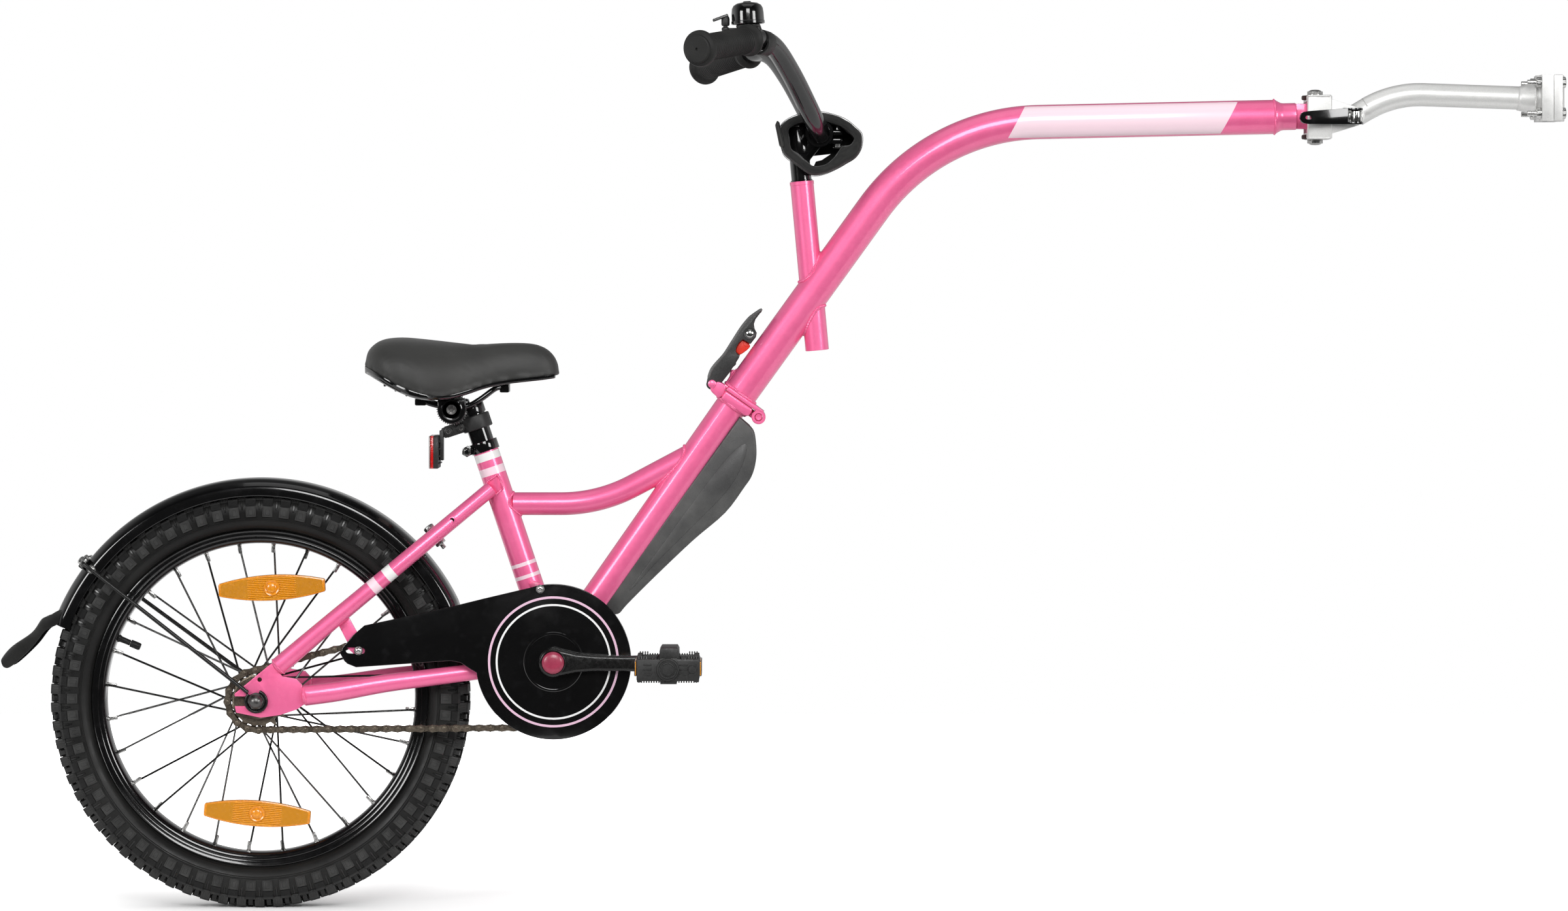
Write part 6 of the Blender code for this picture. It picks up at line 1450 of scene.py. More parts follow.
def makeFrameGuard():
    mesh = bmesh.new()
    outline = mm((380.5, 334.6), (455, 438), (530, 542))
    outline += smoothOutline(mm((540.5, 533), (546.5, 524), (548.7, 504.2), (547.2, 488.3), (542.9, 475.3),
        (535.7, 464.5), (514, 435.6), (477.9, 404.6), (434.6, 363.4), (405.8, 334.6), (397.5, 325),
        (391.3, 323)), 4, False)
    plate(mesh, outline, -0.0125, 0.0125, 0.004, 4)
    room = bmesh.new()
    sweep(room, [bracket, bracket + downDirection * 0.37], 0.0178, 48)
    ends = [onDownTube(along, side) for along, side in mm((340.5, -20), (370, -20), (370, 50), (340.5, 50))]
    plate(room, [(place.x, place.z) for place in ends], -0.03, 0.03)
    barrel = bmesh.new()
    rod(barrel, 9.6, -30, 30, hinge, across, 36)
    mesh = carve(mesh, room, barrel)
    lens = smoothOutline(mm((408.5, 350), (440, 383), (480, 423), (515, 459), (533, 489), (537, 512),
        (518, 498), (485, 456), (445, 401)), 5)
    for side in (-1, 1):
        plate(mesh, lens, side * 0.0118, side * 0.0131, 0.0005, 2)
    finishPiece("frameGuardPanel", mesh, "rear_frame",
        [satinBlack("guardPlastic", 0.05, 0.4, 700.0, 0.0001)], ["frame_guard"], 40)


makeMudguard()
makeStay()
makeAxle()
makeFrameGuard()
print("guards made")

# Saddle and post

saddleSections = mm((116.3, 605, 597.5, 30), (118.5, 615, 596.2, 44), (124, 621.7, 593.5, 55),
    (133, 627.5, 588.5, 65), (145, 630, 582, 72), (160, 630.4, 574.5, 74.5), (178, 628.4, 567.5, 71),
    (195, 626.2, 564, 62), (212, 624, 564.8, 51), (230, 622.6, 569.5, 41), (248, 622.6, 575.5, 34),
    (266, 624, 579.5, 29), (285, 624.6, 582.2, 26), (302, 623.5, 584, 23.5), (315, 619, 585.5, 20),
    (324, 611.5, 586.8, 15.5), (329, 603, 588, 10.5), (330.8, 595.5, 589, 5))
saddlePivot = jointPlace("saddle_tilt")


def softened(mesh, voxel, shrink, cap, pressure, pinned):
    # puffed by a cloth simulation; pinned(point) holds a vertex where it is
    holder = meshObject("softShape", mesh)
    step = holder.modifiers.new("voxels", "REMESH")
    step.mode = "VOXEL"
    step.voxel_size = voxel
    depsgraph = bpy.context.evaluated_depsgraph_get()
    data = bpy.data.meshes.new_from_object(holder.evaluated_get(depsgraph), depsgraph=depsgraph)
    holder.modifiers.remove(step)
    old = holder.data
    holder.data = data
    bpy.data.meshes.remove(old)
    normals = [Vector(vertex.normal) for vertex in data.vertices]
    held = holder.vertex_groups.new(name="held")
    for vertex, normal in zip(data.vertices, normals):
        if pinned(vertex.co):
            held.add([vertex.index], 1.0, "REPLACE")
        else:
            vertex.co -= normal * shrink
    starts = [Vector(vertex.co) for vertex in data.vertices]
    cloth = holder.modifiers.new("cloth", "CLOTH")
    cloth.settings.use_pressure = True
    cloth.settings.uniform_pressure_force = pressure
    cloth.settings.effector_weights.gravity = 0
    cloth.settings.vertex_group_mass = "held"
    cloth.settings.tension_stiffness = 12
    cloth.settings.bending_stiffness = 0.6
    cloth.point_cache.frame_end = 20
    for number in range(1, 21):
        bpy.context.scene.frame_set(number)
    depsgraph = bpy.context.evaluated_depsgraph_get()
    result = holder.evaluated_get(depsgraph).data
    for vertex, start, moved in zip(data.vertices, starts,
            [Vector(item.co) for item in result.vertices]):
        move = moved - start
        vertex.co = start + move * min(1.0, cap / max(move.length, 1e-9))
    holder.modifiers.remove(cloth)
    bpy.context.scene.frame_set(1)
    holder.modifiers.new("rise", "SUBSURF").levels = 1
    return applied(holder)


def clampRoom(mesh, rings):
    # the lofted shape, with room for the clamp's barrel
    loft(mesh, rings)
    room = bmesh.new()
    rod(room, 16.8, -30, 30, saddlePivot, across, 40)
    return carve(mesh, room)


def makeSaddle():
    columns = [smoothValues(list(values), 4) for values in zip(*saddleSections)]
    sections = list(zip(*columns))
    mesh = bmesh.new()
    rings = []
    for x, top, bottom, half in sections:
        half = max(half, 0.004)
        ring = []
        for index in range(29):
            angle = pi * index / 28
            y = half * abs(cos(angle)) ** 0.72 * (1 if cos(angle) >= 0 else -1)
            ring.append(mesh.verts.new((x, y,
                bottom + (top - bottom) * (0.16 + 0.84 * abs(sin(angle)) ** 0.8))))
        for share in (-0.97, -0.6, -0.2, 0.2, 0.6, 0.97):
            ring.append(mesh.verts.new((x, half * share, bottom)))
        rings.append(ring)
    mesh = clampRoom(mesh, rings)
    lower = sorted((x, bottom) for x, top, bottom, half in sections)

    def pinned(point):
        near = min(lower, key=lambda entry: abs(entry[0] - point.x))
        return point.z < near[1] + 0.004
    mesh = softened(mesh, 0.0034, 0.0012, 0.003, 4.0, pinned)
    vinyl = Finish("saddleVinyl", {"IOR": 1.46, "Specular IOR Level": 0.55, "Sheen Weight": 0.1})
    grain = vinyl.cells(1500.0, "DISTANCE_TO_EDGE")
    rubbed = vinyl.ramp(vinyl.noise(16.0, 4.0), 0.0, 1.0, 0.35, 0.7)
    vinyl.tint(rubbed, colour(0.022, 0.022, 0.021), colour(0.033, 0.033, 0.031))
    vinyl.rough(grain, 0.56, 0.42, 0.0, 0.4)
    vinyl.bump(grain + vinyl.noise(900.0) * 0.5, 0.00012, 0.5)
    piece = finishPiece("saddleCushion", mesh, "saddle", [vinyl], ["saddle_cover"], 180)
    mesh = bmesh.new()
    rings = []
    for x, top, bottom, half in sections[3:-7]:
        deep = 0.0058 if x < 0.17 else max(0.0026, 0.0058 - (x - 0.17) * 0.11)
        wide = half * (1.0 if x < 0.17 else 0.97)
        high = bottom + 0.0018
        shape = [(-wide, high), (-wide * 1.005, high - 0.0018), (-wide * 0.985, bottom - deep * 0.6),
            (-wide * 0.93, bottom - deep)]
        shape += [(-y, z) for y, z in reversed(shape)]
        rings.append([mesh.verts.new((x, y, z)) for y, z in shape])
    mesh = clampRoom(mesh, rings)
    for side in (-1, 1):
        block(mesh, (0.178, 0.0225 * side, 0.5602), (0.0125, 0.0125, 0.0114), None, 0.0016, 2)
        for x in (0.14, 0.152, 0.164):
            block(mesh, (x, 0.03 * side, 0.579 - (x - 0.14) * 0.45), (0.0022, 0.04, 0.006), None, 0.0006, 1)
    block(mesh, (0.27, 0, 0.5738), (0.0105, 0.03, 0.0105), None, 0.0016, 2)
    finishPiece("saddleShellBase", mesh, "saddle", [blackGloss], ["saddle_shell"], 36)
    mesh = bmesh.new()
    route = mm((179, 22.5, 560.6), (190, 21.5, 556.2), (206, 20.5, 553), (228, 20, 553.5), (243, 19, 561),
        (259, 15, 572.5), (269, 8, 575.2))
    path = [(x, -y, z) for x, y, z in route] + [(x, y, z) for x, y, z in reversed(route)]
    sweep(mesh, smoothPath(path, 6), 0.003, 16)
    finishPiece("saddleRailWire", mesh, "saddle", [blackGloss], ["saddle_rails"])


def makeClamp():
    mesh = bmesh.new()
    x, z = saddlePivot.x, saddlePivot.z
    outline = arc((x, z), 0.0156, 176, 364, 32) + [(x + 0.0158, z + 0.0095), (x + 0.0145, z + 0.0112),
        (x - 0.0145, z + 0.0112), (x - 0.0158, z + 0.0095)]
    for side in (-1, 1):
        out = across * side
        plate(mesh, outline, side * 0.0142, side * 0.0262, 0.0012, 3)
        lathe(mesh, mm((0, -2), (11.8, -2), (11.8, 0.6), (11, 1), (9.8, 0.8), (9.2, 0), (0, 0)),
            saddlePivot + out * 0.0262, out, 48)
        socketScrew(mesh, saddlePivot + out * 0.026, out, 0.0058, 0.0032, 2, 0.42)
        teeth = bmesh.new()
        block(teeth, (0, 0, 0.0166), (0.0011, 0.0022, 0.0016), None, 0.0003, 1)
        tube(mesh, 6, 16.2, 11.2, 13.6, saddlePivot, out, 48, 1)
        addRing(mesh, teeth, 1, 40, centre=saddlePivot + out * 0.0124)
    finishPiece("saddleClampSet", mesh, "saddle", [blackGloss, zinc, gunmetal],
        ["saddle_clamp"])
    mesh = bmesh.new()
    top = 0.2985
    lathe(mesh, [(0.0, 0.115), (0.0118, 0.115), (0.0126, 0.1158), (0.0126, top - 0.0138),
        (0.0141, top - 0.0134), (0.0143, top - 0.0126), (0.0143, top - 0.0026), (0.0136, top - 0.0012),
        (0.012, top - 0.0004), (0.01, top), (0.0, top)], bracket, seatDirection, 48)
    seatSide = Vector((seatDirection.z, 0, -seatDirection.x))
    lathe(mesh, mm((0, -10.8), (10, -10.8), (10.8, -10), (10.8, 10), (10, 10.8), (0, 10.8)), saddlePivot,
        across, 40)
    block(mesh, saddlePivot + seatSide * 0.01, (0.02, 0.0196, 0.0116), (seatSide, across, seatDirection),
        0.0016, 2)
    post = glossBlack("postBlack")
    finishPiece("seatpostTube", mesh, "post", [post], ["seatpost"])


def makeBracketSet():
    mesh = copyOfNode("reflector_bracket", 0.0007, 2)
    for x, z in mm((207.6, 525.2), (221.8, 529.2)):
        for side in (-1, 1):
            out = across * side
            hexNut(mesh, Vector((x, side * 0.0068, z)), out, 0.0088, 0.0022, 0)
            socketScrew(mesh, Vector((x, side * 0.0086, z)), out, 0.0028, 0.0014, 1, 0.5)
    finishPiece("reflectorBracketSet", mesh, "post", [blackPlastic, gunmetal],
        ["reflector_bracket"])
    mesh = bmesh.new()
    middle = at(192.6, 0, 503)
    case = mm((-26.5, -18), (26.5, -18), (28, -16), (28, 16), (26.5, 18), (-26.5, 18), (-28, 16),
        (-28, -16))
    case = [(y, z + middle.z) for y, z in case]
    for low, high, finish, wide in ((-0.0002, 0.0048, 0, 1.0), (-0.004, 0.0, 1, 0.985),
            (-0.0052, -0.0038, 2, 1.0)):
        plate(mesh, [(y * wide, z) for y, z in case], -(middle.x + high), -(middle.x + low), 0.0005, 2,
            finish, quarter)
    for z in (-0.0125, -0.0045, 0.0035, 0.0115):
        block(mesh, middle + Vector((0.0056, 0, z)), (0.0022, 0.044, 0.0016), None, 0.0004, 1)
    clear = Finish("clearRim", {"Roughness": 0.15, "Coat Weight": 0.6})
    clear.tint(clear.noise(220.0), colour(0.55, 0.42, 0.4), colour(0.75, 0.6, 0.58))
    clear.bump(clear.cells(420.0), 0.0004, 0.5)
    finishPiece("rearReflectorLens", mesh, "post", [blackPlastic, redLens, clear],
        ["rear_reflector"])
    mesh = copyOfNode("seat_collar", 0.0008, 2)
    seatSide = Vector((seatDirection.z, 0, -seatDirection.x))
    lug = bracket + seatDirection * 0.2482 - seatSide * 0.0196
    for side in (-1, 1):
        socketScrew(mesh, lug + across * side * 0.0092, across * side, 0.0046, 0.0034, 1, 0.5)
    finishPiece("seatCollarRing", mesh, "rear_frame", [blackGloss, chrome], ["seat_collar"])


makeSaddle()
makeClamp()
makeBracketSet()
print("saddle made")

# Hinge and latch


latchValues = {"half": 0.0124, "pocket": 0.0083, "slot": 0.0043, "rim": 0.0017, "cheekLow": 0.0134,
    "cheekHigh": 0.0168, "flangeHalf": 0.02, "knuckle": 0.0078, "middle": 0.0072}
leverLeft = mm((554.5, 658), (553.8, 661.6), (545, 655.7), (538.8, 650.6), (530.5, 640.2), (521.2, 625.7),
    (511.9, 611.3), (502.6, 600.9), (497.4, 593.7), (494.6, 585.4))
leverRight = mm((510.3, 579.7), (519.7, 591.6), (522.4, 596.3), (525.8, 599.4), (526.2, 602),
    (529.4, 607.2), (530.3, 610.2), (527.6, 611), (525.6, 614.2), (526.4, 618.2), (529.4, 623.8),
    (533.6, 627.2), (542, 622.2), (548, 629.9), (548.9, 634.5), (546.5, 639.2), (545.8, 644.4),
    (547.5, 649.5), (552.2, 655.7))
catchLeaf = mm((533.6, 627), (541.4, 620.7), (539.6, 616.9), (535.7, 613.6), (531, 610.6), (527.9, 611.1),
    (525.6, 614.4), (526.4, 618.2), (529.4, 623.8))


def makeLatch():
    values = latchValues
    half, pocket, slot = values["half"], values["pocket"], values["slot"]
    catch = jointPlace("safety_catch_turn")
    mesh = bmesh.new()
    plate(mesh, arc((latch.x, latch.z), 0.0066, 185, 325, 10) + leverRight + leverLeft, -half, half, 0.0014,
        3)
    fork, room, well = bmesh.new(), bmesh.new(), bmesh.new()
    plate(fork, mm((485, 562), (512, 562), (512, 590), (485, 590)), -slot, slot)
    plate(room, mm((520, 608), (532, 605), (550, 615), (546, 625.5), (534.5, 632), (523.5, 623)), -pocket,
        pocket)
    plate(well, mm((530, 627), (548.5, 618), (553, 638), (544, 642.5), (533, 638.5)), -slot, slot)
    mesh = carve(mesh, fork, room, well)
    for side in (-1, 1):
        out = across * side
        rim = [Vector((x + 0.001, side * (half - 0.001), z - 0.0008)) for x, z in leverLeft[1:]]
        sweep(mesh, smoothPath(rim, 5), [0.001] + [values["rim"]] * 39 + [0.0012], 12, 1)
        lathe(mesh, mm((0, 0), (6.8, 0), (7, 0.4), (6.2, 1), (5, 0.3), (0, 0.3)), catch + out * half, out,
            36)
        lathe(mesh, mm((0, 0), (4.5, 0), (4.4, 0.8), (3.4, 1.6), (1.2, 2.1), (0, 2.1)),
            catch + out * (half + 0.0002), out, 32, 2)
    lathe(mesh, [(0.0, -half), (0.002, -half), (0.002, half), (0.0, half)], catch, across, 16, 2)
    # the lever's rim takes a lighter grey than the cast body, a painted highlight along its rounded edge
    finishPiece("latchLeverCast", mesh, "lever",
        [castGrey, satinBlack("leverRimHighlight", 0.085, 0.3, 500.0), steel("pinSteel", 0.6, 0.2)], ["latch_lever"],
        40)
    mesh = bmesh.new()
    plate(mesh, smoothOutline(catchLeaf, 3), -0.0079, 0.0079, 0.0014, 3)
    plate(mesh, mm((533, 618), (538.5, 616), (544.5, 631), (538.5, 633)), -0.0039, 0.0039)
    tube(mesh, 2.4, 5, -3.9, 3.9, catch, across, 24)
    for side in (-1, 1):
        lip = mm((534.2, 625.8), (534.8, 621.8), (536.8, 620), (540.4, 620.2))
        sweep(mesh, smoothPath([(x, side * 0.0078, z) for x, z in lip], 5), 0.0007, 8)
    finishPiece("safetyCatchPad", mesh, "catch", [redPlastic], ["safety_catch"], 40)
    mesh = bmesh.new()
    cheek = smoothOutline(mm((499, 576.6), (504.6, 580.4), (509.8, 579.7), (513, 577.6), (514.8, 574),
        (514, 569.9), (511.9, 565.7), (507.8, 563.7), (504.2, 564.7), (498, 571)), 4)
    for side in (-1, 1):
        out = across * side
        plate(mesh, cheek, side * values["cheekLow"], side * values["cheekHigh"], 0.0014, 4)
        lathe(mesh, mm((0, 0), (4.6, 0), (4.4, 1.2), (3, 2), (0, 2.1)), latch + out * values["cheekHigh"],
            out, 28)
    rod(mesh, 3, -15, 15, latch, across, 20, 1)
    for number in range(4):
        coil = Vector((0.4985, -0.015 + number * 0.0013, 0.5786))
        lathe(mesh, mm((1.8, -0.4), (2.6, -0.4), (2.8, 0), (2.6, 0.4), (1.8, 0.4)), coil, across, 18, 1,
            ring=True)
    finishPiece("latchClaspCast", mesh, "clasp", [plainPink, zinc], ["latch_clasp"], 40)


def makeFlanges():
    values = latchValues
    wide, knuckle, middle = values["flangeHalf"], values["knuckle"], values["middle"]
    mesh = bmesh.new()
    low = flangeSplit - 0.0102

    def outlineOf(points):
        return [(place.x, place.z) for place in (onDownTube(along, side) for along, side in points)]
    bar = [(low + 0.0002, -0.0145), (low - 0.0008, -0.011), (low - 0.001, 0.017), (low + 0.0004, 0.0208),
        (low + 0.003, 0.022), (low + 0.0078, 0.0218), (flangeSplit - 0.0004, 0.0206),
        (flangeSplit - 0.0002, 0.017), (flangeSplit - 0.0002, -0.0148)]
    plate(mesh, outlineOf(bar), -wide, wide, 0.0022, 4)
    plate(mesh, outlineOf([(low + 0.002, -0.0195), (flangeSplit - 0.0004, -0.0195),
        (flangeSplit - 0.0004, -0.01), (low + 0.002, -0.01)]), -0.012, 0.012, 0.001, 2)
    plate(mesh, outlineOf([(low + 0.001, 0.018), (flangeSplit - 0.0006, 0.018),
        (flangeSplit - 0.0006, 0.0316), (low + 0.001, 0.0316)]), 0.0006 - middle, middle - 0.0006)
    lathe(mesh, [(0.0043, -middle), (knuckle - 0.0006, -middle), (knuckle, 0.0006 - middle),
        (knuckle, middle - 0.0006), (knuckle - 0.0006, middle), (0.0043, middle)], hinge, across, 40,
        ring=True)
    beadLine(mesh, circleAbout(onDownTube(low - 0.0002, 0.0), downDirection, 0.0186), 0.0017, True)
    finishPiece("rearFlangeCast", mesh, "rear_frame", [plainPink], ["rear_flange"], 40)
    mesh = bmesh.new()
    top = flangeSplit + 0.0052
    plate(mesh, outlineOf([(flangeSplit + 0.0002, -0.0148), (flangeSplit + 0.0002, 0.024),
        (flangeSplit + 0.0016, 0.031), (top, 0.033), (top + 0.0004, 0.023), (top, 0.015), (top, -0.0148)]),
        -wide, wide, 0.0013, 3)
    plate(mesh, outlineOf([(flangeSplit + 0.0004, -0.02), (top - 0.0002, -0.02), (top - 0.0002, -0.01),
        (flangeSplit + 0.0004, -0.01)]), -0.012, 0.012, 0.001, 2)
    for side in (-1, 1):
        ends = sorted((side * (middle + 0.0003), side * wide))
        lathe(mesh, [(0.0044, ends[0]), (knuckle - 0.0008, ends[0]), (knuckle, ends[0] + 0.0008),
            (knuckle, ends[1] - 0.0008), (knuckle - 0.0008, ends[1]), (0.0058, ends[1]),
            (0.0044, ends[1] - 0.0014)], hinge, across, 44, ring=True)
    lug = outlineOf([(flangeSplit + 0.001, -0.0205), (flangeSplit + 0.001, -0.015), (top - 0.0008, -0.015),
        (0.3532, -0.0322), (0.3446, -0.0306)])
    plate(mesh, lug, -0.0037, 0.0037, 0.0006, 2)
    tube(mesh, 3.3, 5.6, -3.7, 3.7, latch, across, 28)
    rib = outlineOf([(top - 0.002, -0.0196), (0.3662, -0.0204), (0.3715, -0.0228), (0.3742, -0.0222),
        (0.3764, -0.0176), (0.37, -0.015), (top - 0.002, -0.014)])
    plate(mesh, smoothOutline(rib, 3), -0.0034, 0.0034, 0.0011, 3)
    beadLine(mesh, [onDownTube(top + share * 0.02, -0.0186, -0.0036) for share in (0.1, 0.5, 1.0)], 0.001)
    finishPiece("frontFlangeCast", mesh, "front_frame", [plainPink], ["front_flange"], 40)
    mesh = bmesh.new()
    lathe(mesh, [(0.0, -wide), (0.0028, -wide - 0.0004), (0.0036, 0.0004 - wide), (0.004, 0.0012 - wide),
        (0.004, wide - 0.0012), (0.0036, wide - 0.0004), (0.0028, wide + 0.0004), (0.0, wide)], hinge,
        across, 32)
    finishPiece("hingePinRod", mesh, "rear_frame", [plainPink], ["hinge_pin"], 40)


makeFlanges()
makeLatch()
print("latch made")

# Steering

barCentre = jointPlace("handlebar_tilt")
barRoute = mm((618, 0, 855.5), (618, 24, 855.5), (617.8, 31, 856.2), (608, 64, 876), (585, 105, 920),
    (564, 140, 948), (540, 172, 951), (488, 270, 938))
gripProfile = mm((-4.5, 0), (-4.5, 1.3), (-6.2, 1.6), (-6.4, 13.8), (-5.6, 15), (-3, 15.3), (-2.2, 16.6),
    (-1.2, 18.6), (0.8, 19.5), (3, 19.6), (4.4, 18.6), (5.2, 16), (7.2, 14.6), (12, 14.1), (103, 13.8),
    (107, 14.4), (109.2, 16), (110.6, 17.4), (112.4, 17.6), (113.8, 16.6), (114.2, 11.8))


def makeSteering():
    mesh = bmesh.new()
    headStart = headTop - headDirection * 0.098
    turn = headTop + headDirection * 0.027
    path = rounded([headStart, turn, barCentre - (barCentre - turn).normalized() * 0.008], 0.016, 14)
    sweep(mesh, path, 0.0111, 40)
    lathe(mesh, mm((0, 30), (12.4, 30), (13.6, 31.2), (13.8, 33), (13.8, 59), (13, 60.2), (8.2, 60.4),
        (8, 59), (0, 59)), headTop + at(0.8, 0, 0), headDirection, 48)
    socketScrew(mesh, headTop + headDirection * 0.0588, headDirection, 0.006, 0.004, 1)
    lathe(mesh, mm((11.7, -20), (15, -20), (15.8, -19.2), (15.8, 19.2), (15, 20), (11.7, 20)), barCentre,
        across, 48, ring=True)
    ear = barCentre + at(18, 0, -4)
    for z in (-0.0044, 0.0044):
        block(mesh, ear + Vector((0, 0, z)), (0.017, 0.018, 0.0062), None, 0.0018, 3)
    hexNut(mesh, ear + at(2.5, 0, -7.6), -upward, 0.01, 0.0044, 1, dome=0.001)
    socketScrew(mesh, ear + at(2.5, 0, 7.6), upward, 0.0052, 0.0046, 1)
    lathe(mesh, mm((11.2, 0), (12.1, 0), (12.1, 1), (11.2, 1.4)), headTop + headDirection * 0.0003,
        headDirection, 40, 0, ring=True)
    finishPiece("stemQuill", mesh, "stem_set", [blackGloss, chrome], ["stem"])
    route = [Vector((x, -y, z)) for x, y,
        z in reversed(barRoute)] + [Vector(point) for point in barRoute[1:]]
    mesh = bmesh.new()
    sweep(mesh, smoothPath(route, 8), 0.0111, 36)
    finishPiece("handlebarTube", mesh, "bar_set", [blackGloss], ["handlebar"])
    gripRubber = rubber("gripRubber", 0.014, 0.56, lambda rub: rub.cells(900.0) * 0.9)
    for side, label in ((-1, "Right"), (1, "Left")):
        mesh = bmesh.new()
        end = Vector((barRoute[-1][0], side * barRoute[-1][1], barRoute[-1][2]))
        inward = (Vector((barRoute[-2][0], side * barRoute[-2][1], barRoute[-2][2])) - end).normalized()
        lathe(mesh, [(radius, height) for height, radius in gripProfile], end, inward, 56)
        rib = mm((14, -0.7), (14.6, 0), (14, 0.7))
        for number in range(22):
            lathe(mesh, rib, end + inward * (0.015 + number * 0.004), inward, 40, 0, ring=True)
        finishPiece("gripRubber" + label, mesh, "bar_set", [gripRubber],
            ["grip_" + label.lower()])


def makeBell():
    mesh = bmesh.new()
    centre = at(539.4, -149, 969.4)
    lean = (upward + Vector((-0.05, 0, 0))).normalized()
    dome = mm((0, 24.9), (4, 24.8), (4.6, 23.8), (11, 22.8), (15, 20.4), (16.8, 17), (17.4, 12), (17.6, 4),
        (18.1, 3.4), (18.1, 0.8), (17.4, 0.2), (16.4, 0.6), (16, 12), (14, 19), (0, 22.5))
    lathe(mesh, dome, centre, lean, 56)
    lathe(mesh, mm((0, -3.4), (12.5, -3.4), (13, -2.6), (13, -0.8), (12, 0), (0, 0)), centre, lean, 40, 1)
    point = at(556.2, -149, 948)
    start = centre + at(9, 0, -2.4)
    sweep(mesh, [start, start.lerp(point, 0.45), point], [0.0046, 0.004, 0.005], 20, 1)
    along = Vector((-0.6, -0.8, 0.15)).normalized()
    lathe(mesh, mm((11.2, -6.5), (13.6, -6.5), (14, -5.8), (14, 5.8), (13.6, 6.5), (11.2, 6.5)),
        at(555.2, -150, 949), along, 40, 1, ring=True)
    finishPiece("bellDome", mesh, "bar_set", [blackGloss, blackPlastic], ["bell"])
    mesh = bmesh.new()
    pivot = jointPlace("bell_lever_turn")
    lathe(mesh, [(0.0021, 0.9629 - pivot.z), (0.0042, 0.9629 - pivot.z), (0.0042, 0.9655 - pivot.z),
        (0.0021, 0.9655 - pivot.z)], pivot, upward, 24, ring=True)
    block(mesh, (0.5215, -0.149, 0.9642), (0.015, 0.0044, 0.0024), None, 0.0006, 2)
    stem = at(515, -149, 0)
    knob = mm((0, 961.8), (3.6, 962), (4.2, 963), (4.2, 965), (3.4, 966), (2.4, 966.4), (2.4, 967.2),
        (4, 967.8), (4.5, 969), (4.5, 975.2), (3.6, 977.8), (0, 978))
    lathe(mesh, knob, stem, upward, 28)
    lean = Matrix.Rotation(radians(-20), 3, "Y")
    axes = [lean @ Vector(axis) for axis in ((1, 0, 0), (0, 1, 0), (0, 0, 1))]
    middle = at(509.6, -149, 976.2)
    block(mesh, middle, (0.0176, 0.011, 0.0026), axes, 0.0008, 3, 1)
    for number in range(10):
        block(mesh, middle + axes[0] * (number * 0.0016 - 0.0072) + axes[2] * 0.0013,
            (0.0008, 0.01, 0.0009), axes, 0.0002, 1, 1)
    finishPiece("bellThumb", mesh, "bell_thumb",
        [blackPlastic, satinBlack("bellPlate", 0.11, 0.35)], ["bell_lever"], 40)


padOutline = mm((581, 869), (593.6, 875.2), (608, 878.2), (622.6, 878), (644.3, 871.6), (658, 861.5),
    (665, 853.3), (664.6, 840.3), (658.7, 829.4), (648, 822.5), (638.5, 817.1), (626, 811.5), (614.6, 809),
    (605.9, 810.8), (596, 818), (587.8, 824.4), (580, 831), (576.6, 840), (575.2, 850), (574.8, 861))
padMiddle = at(620, 0, 844)


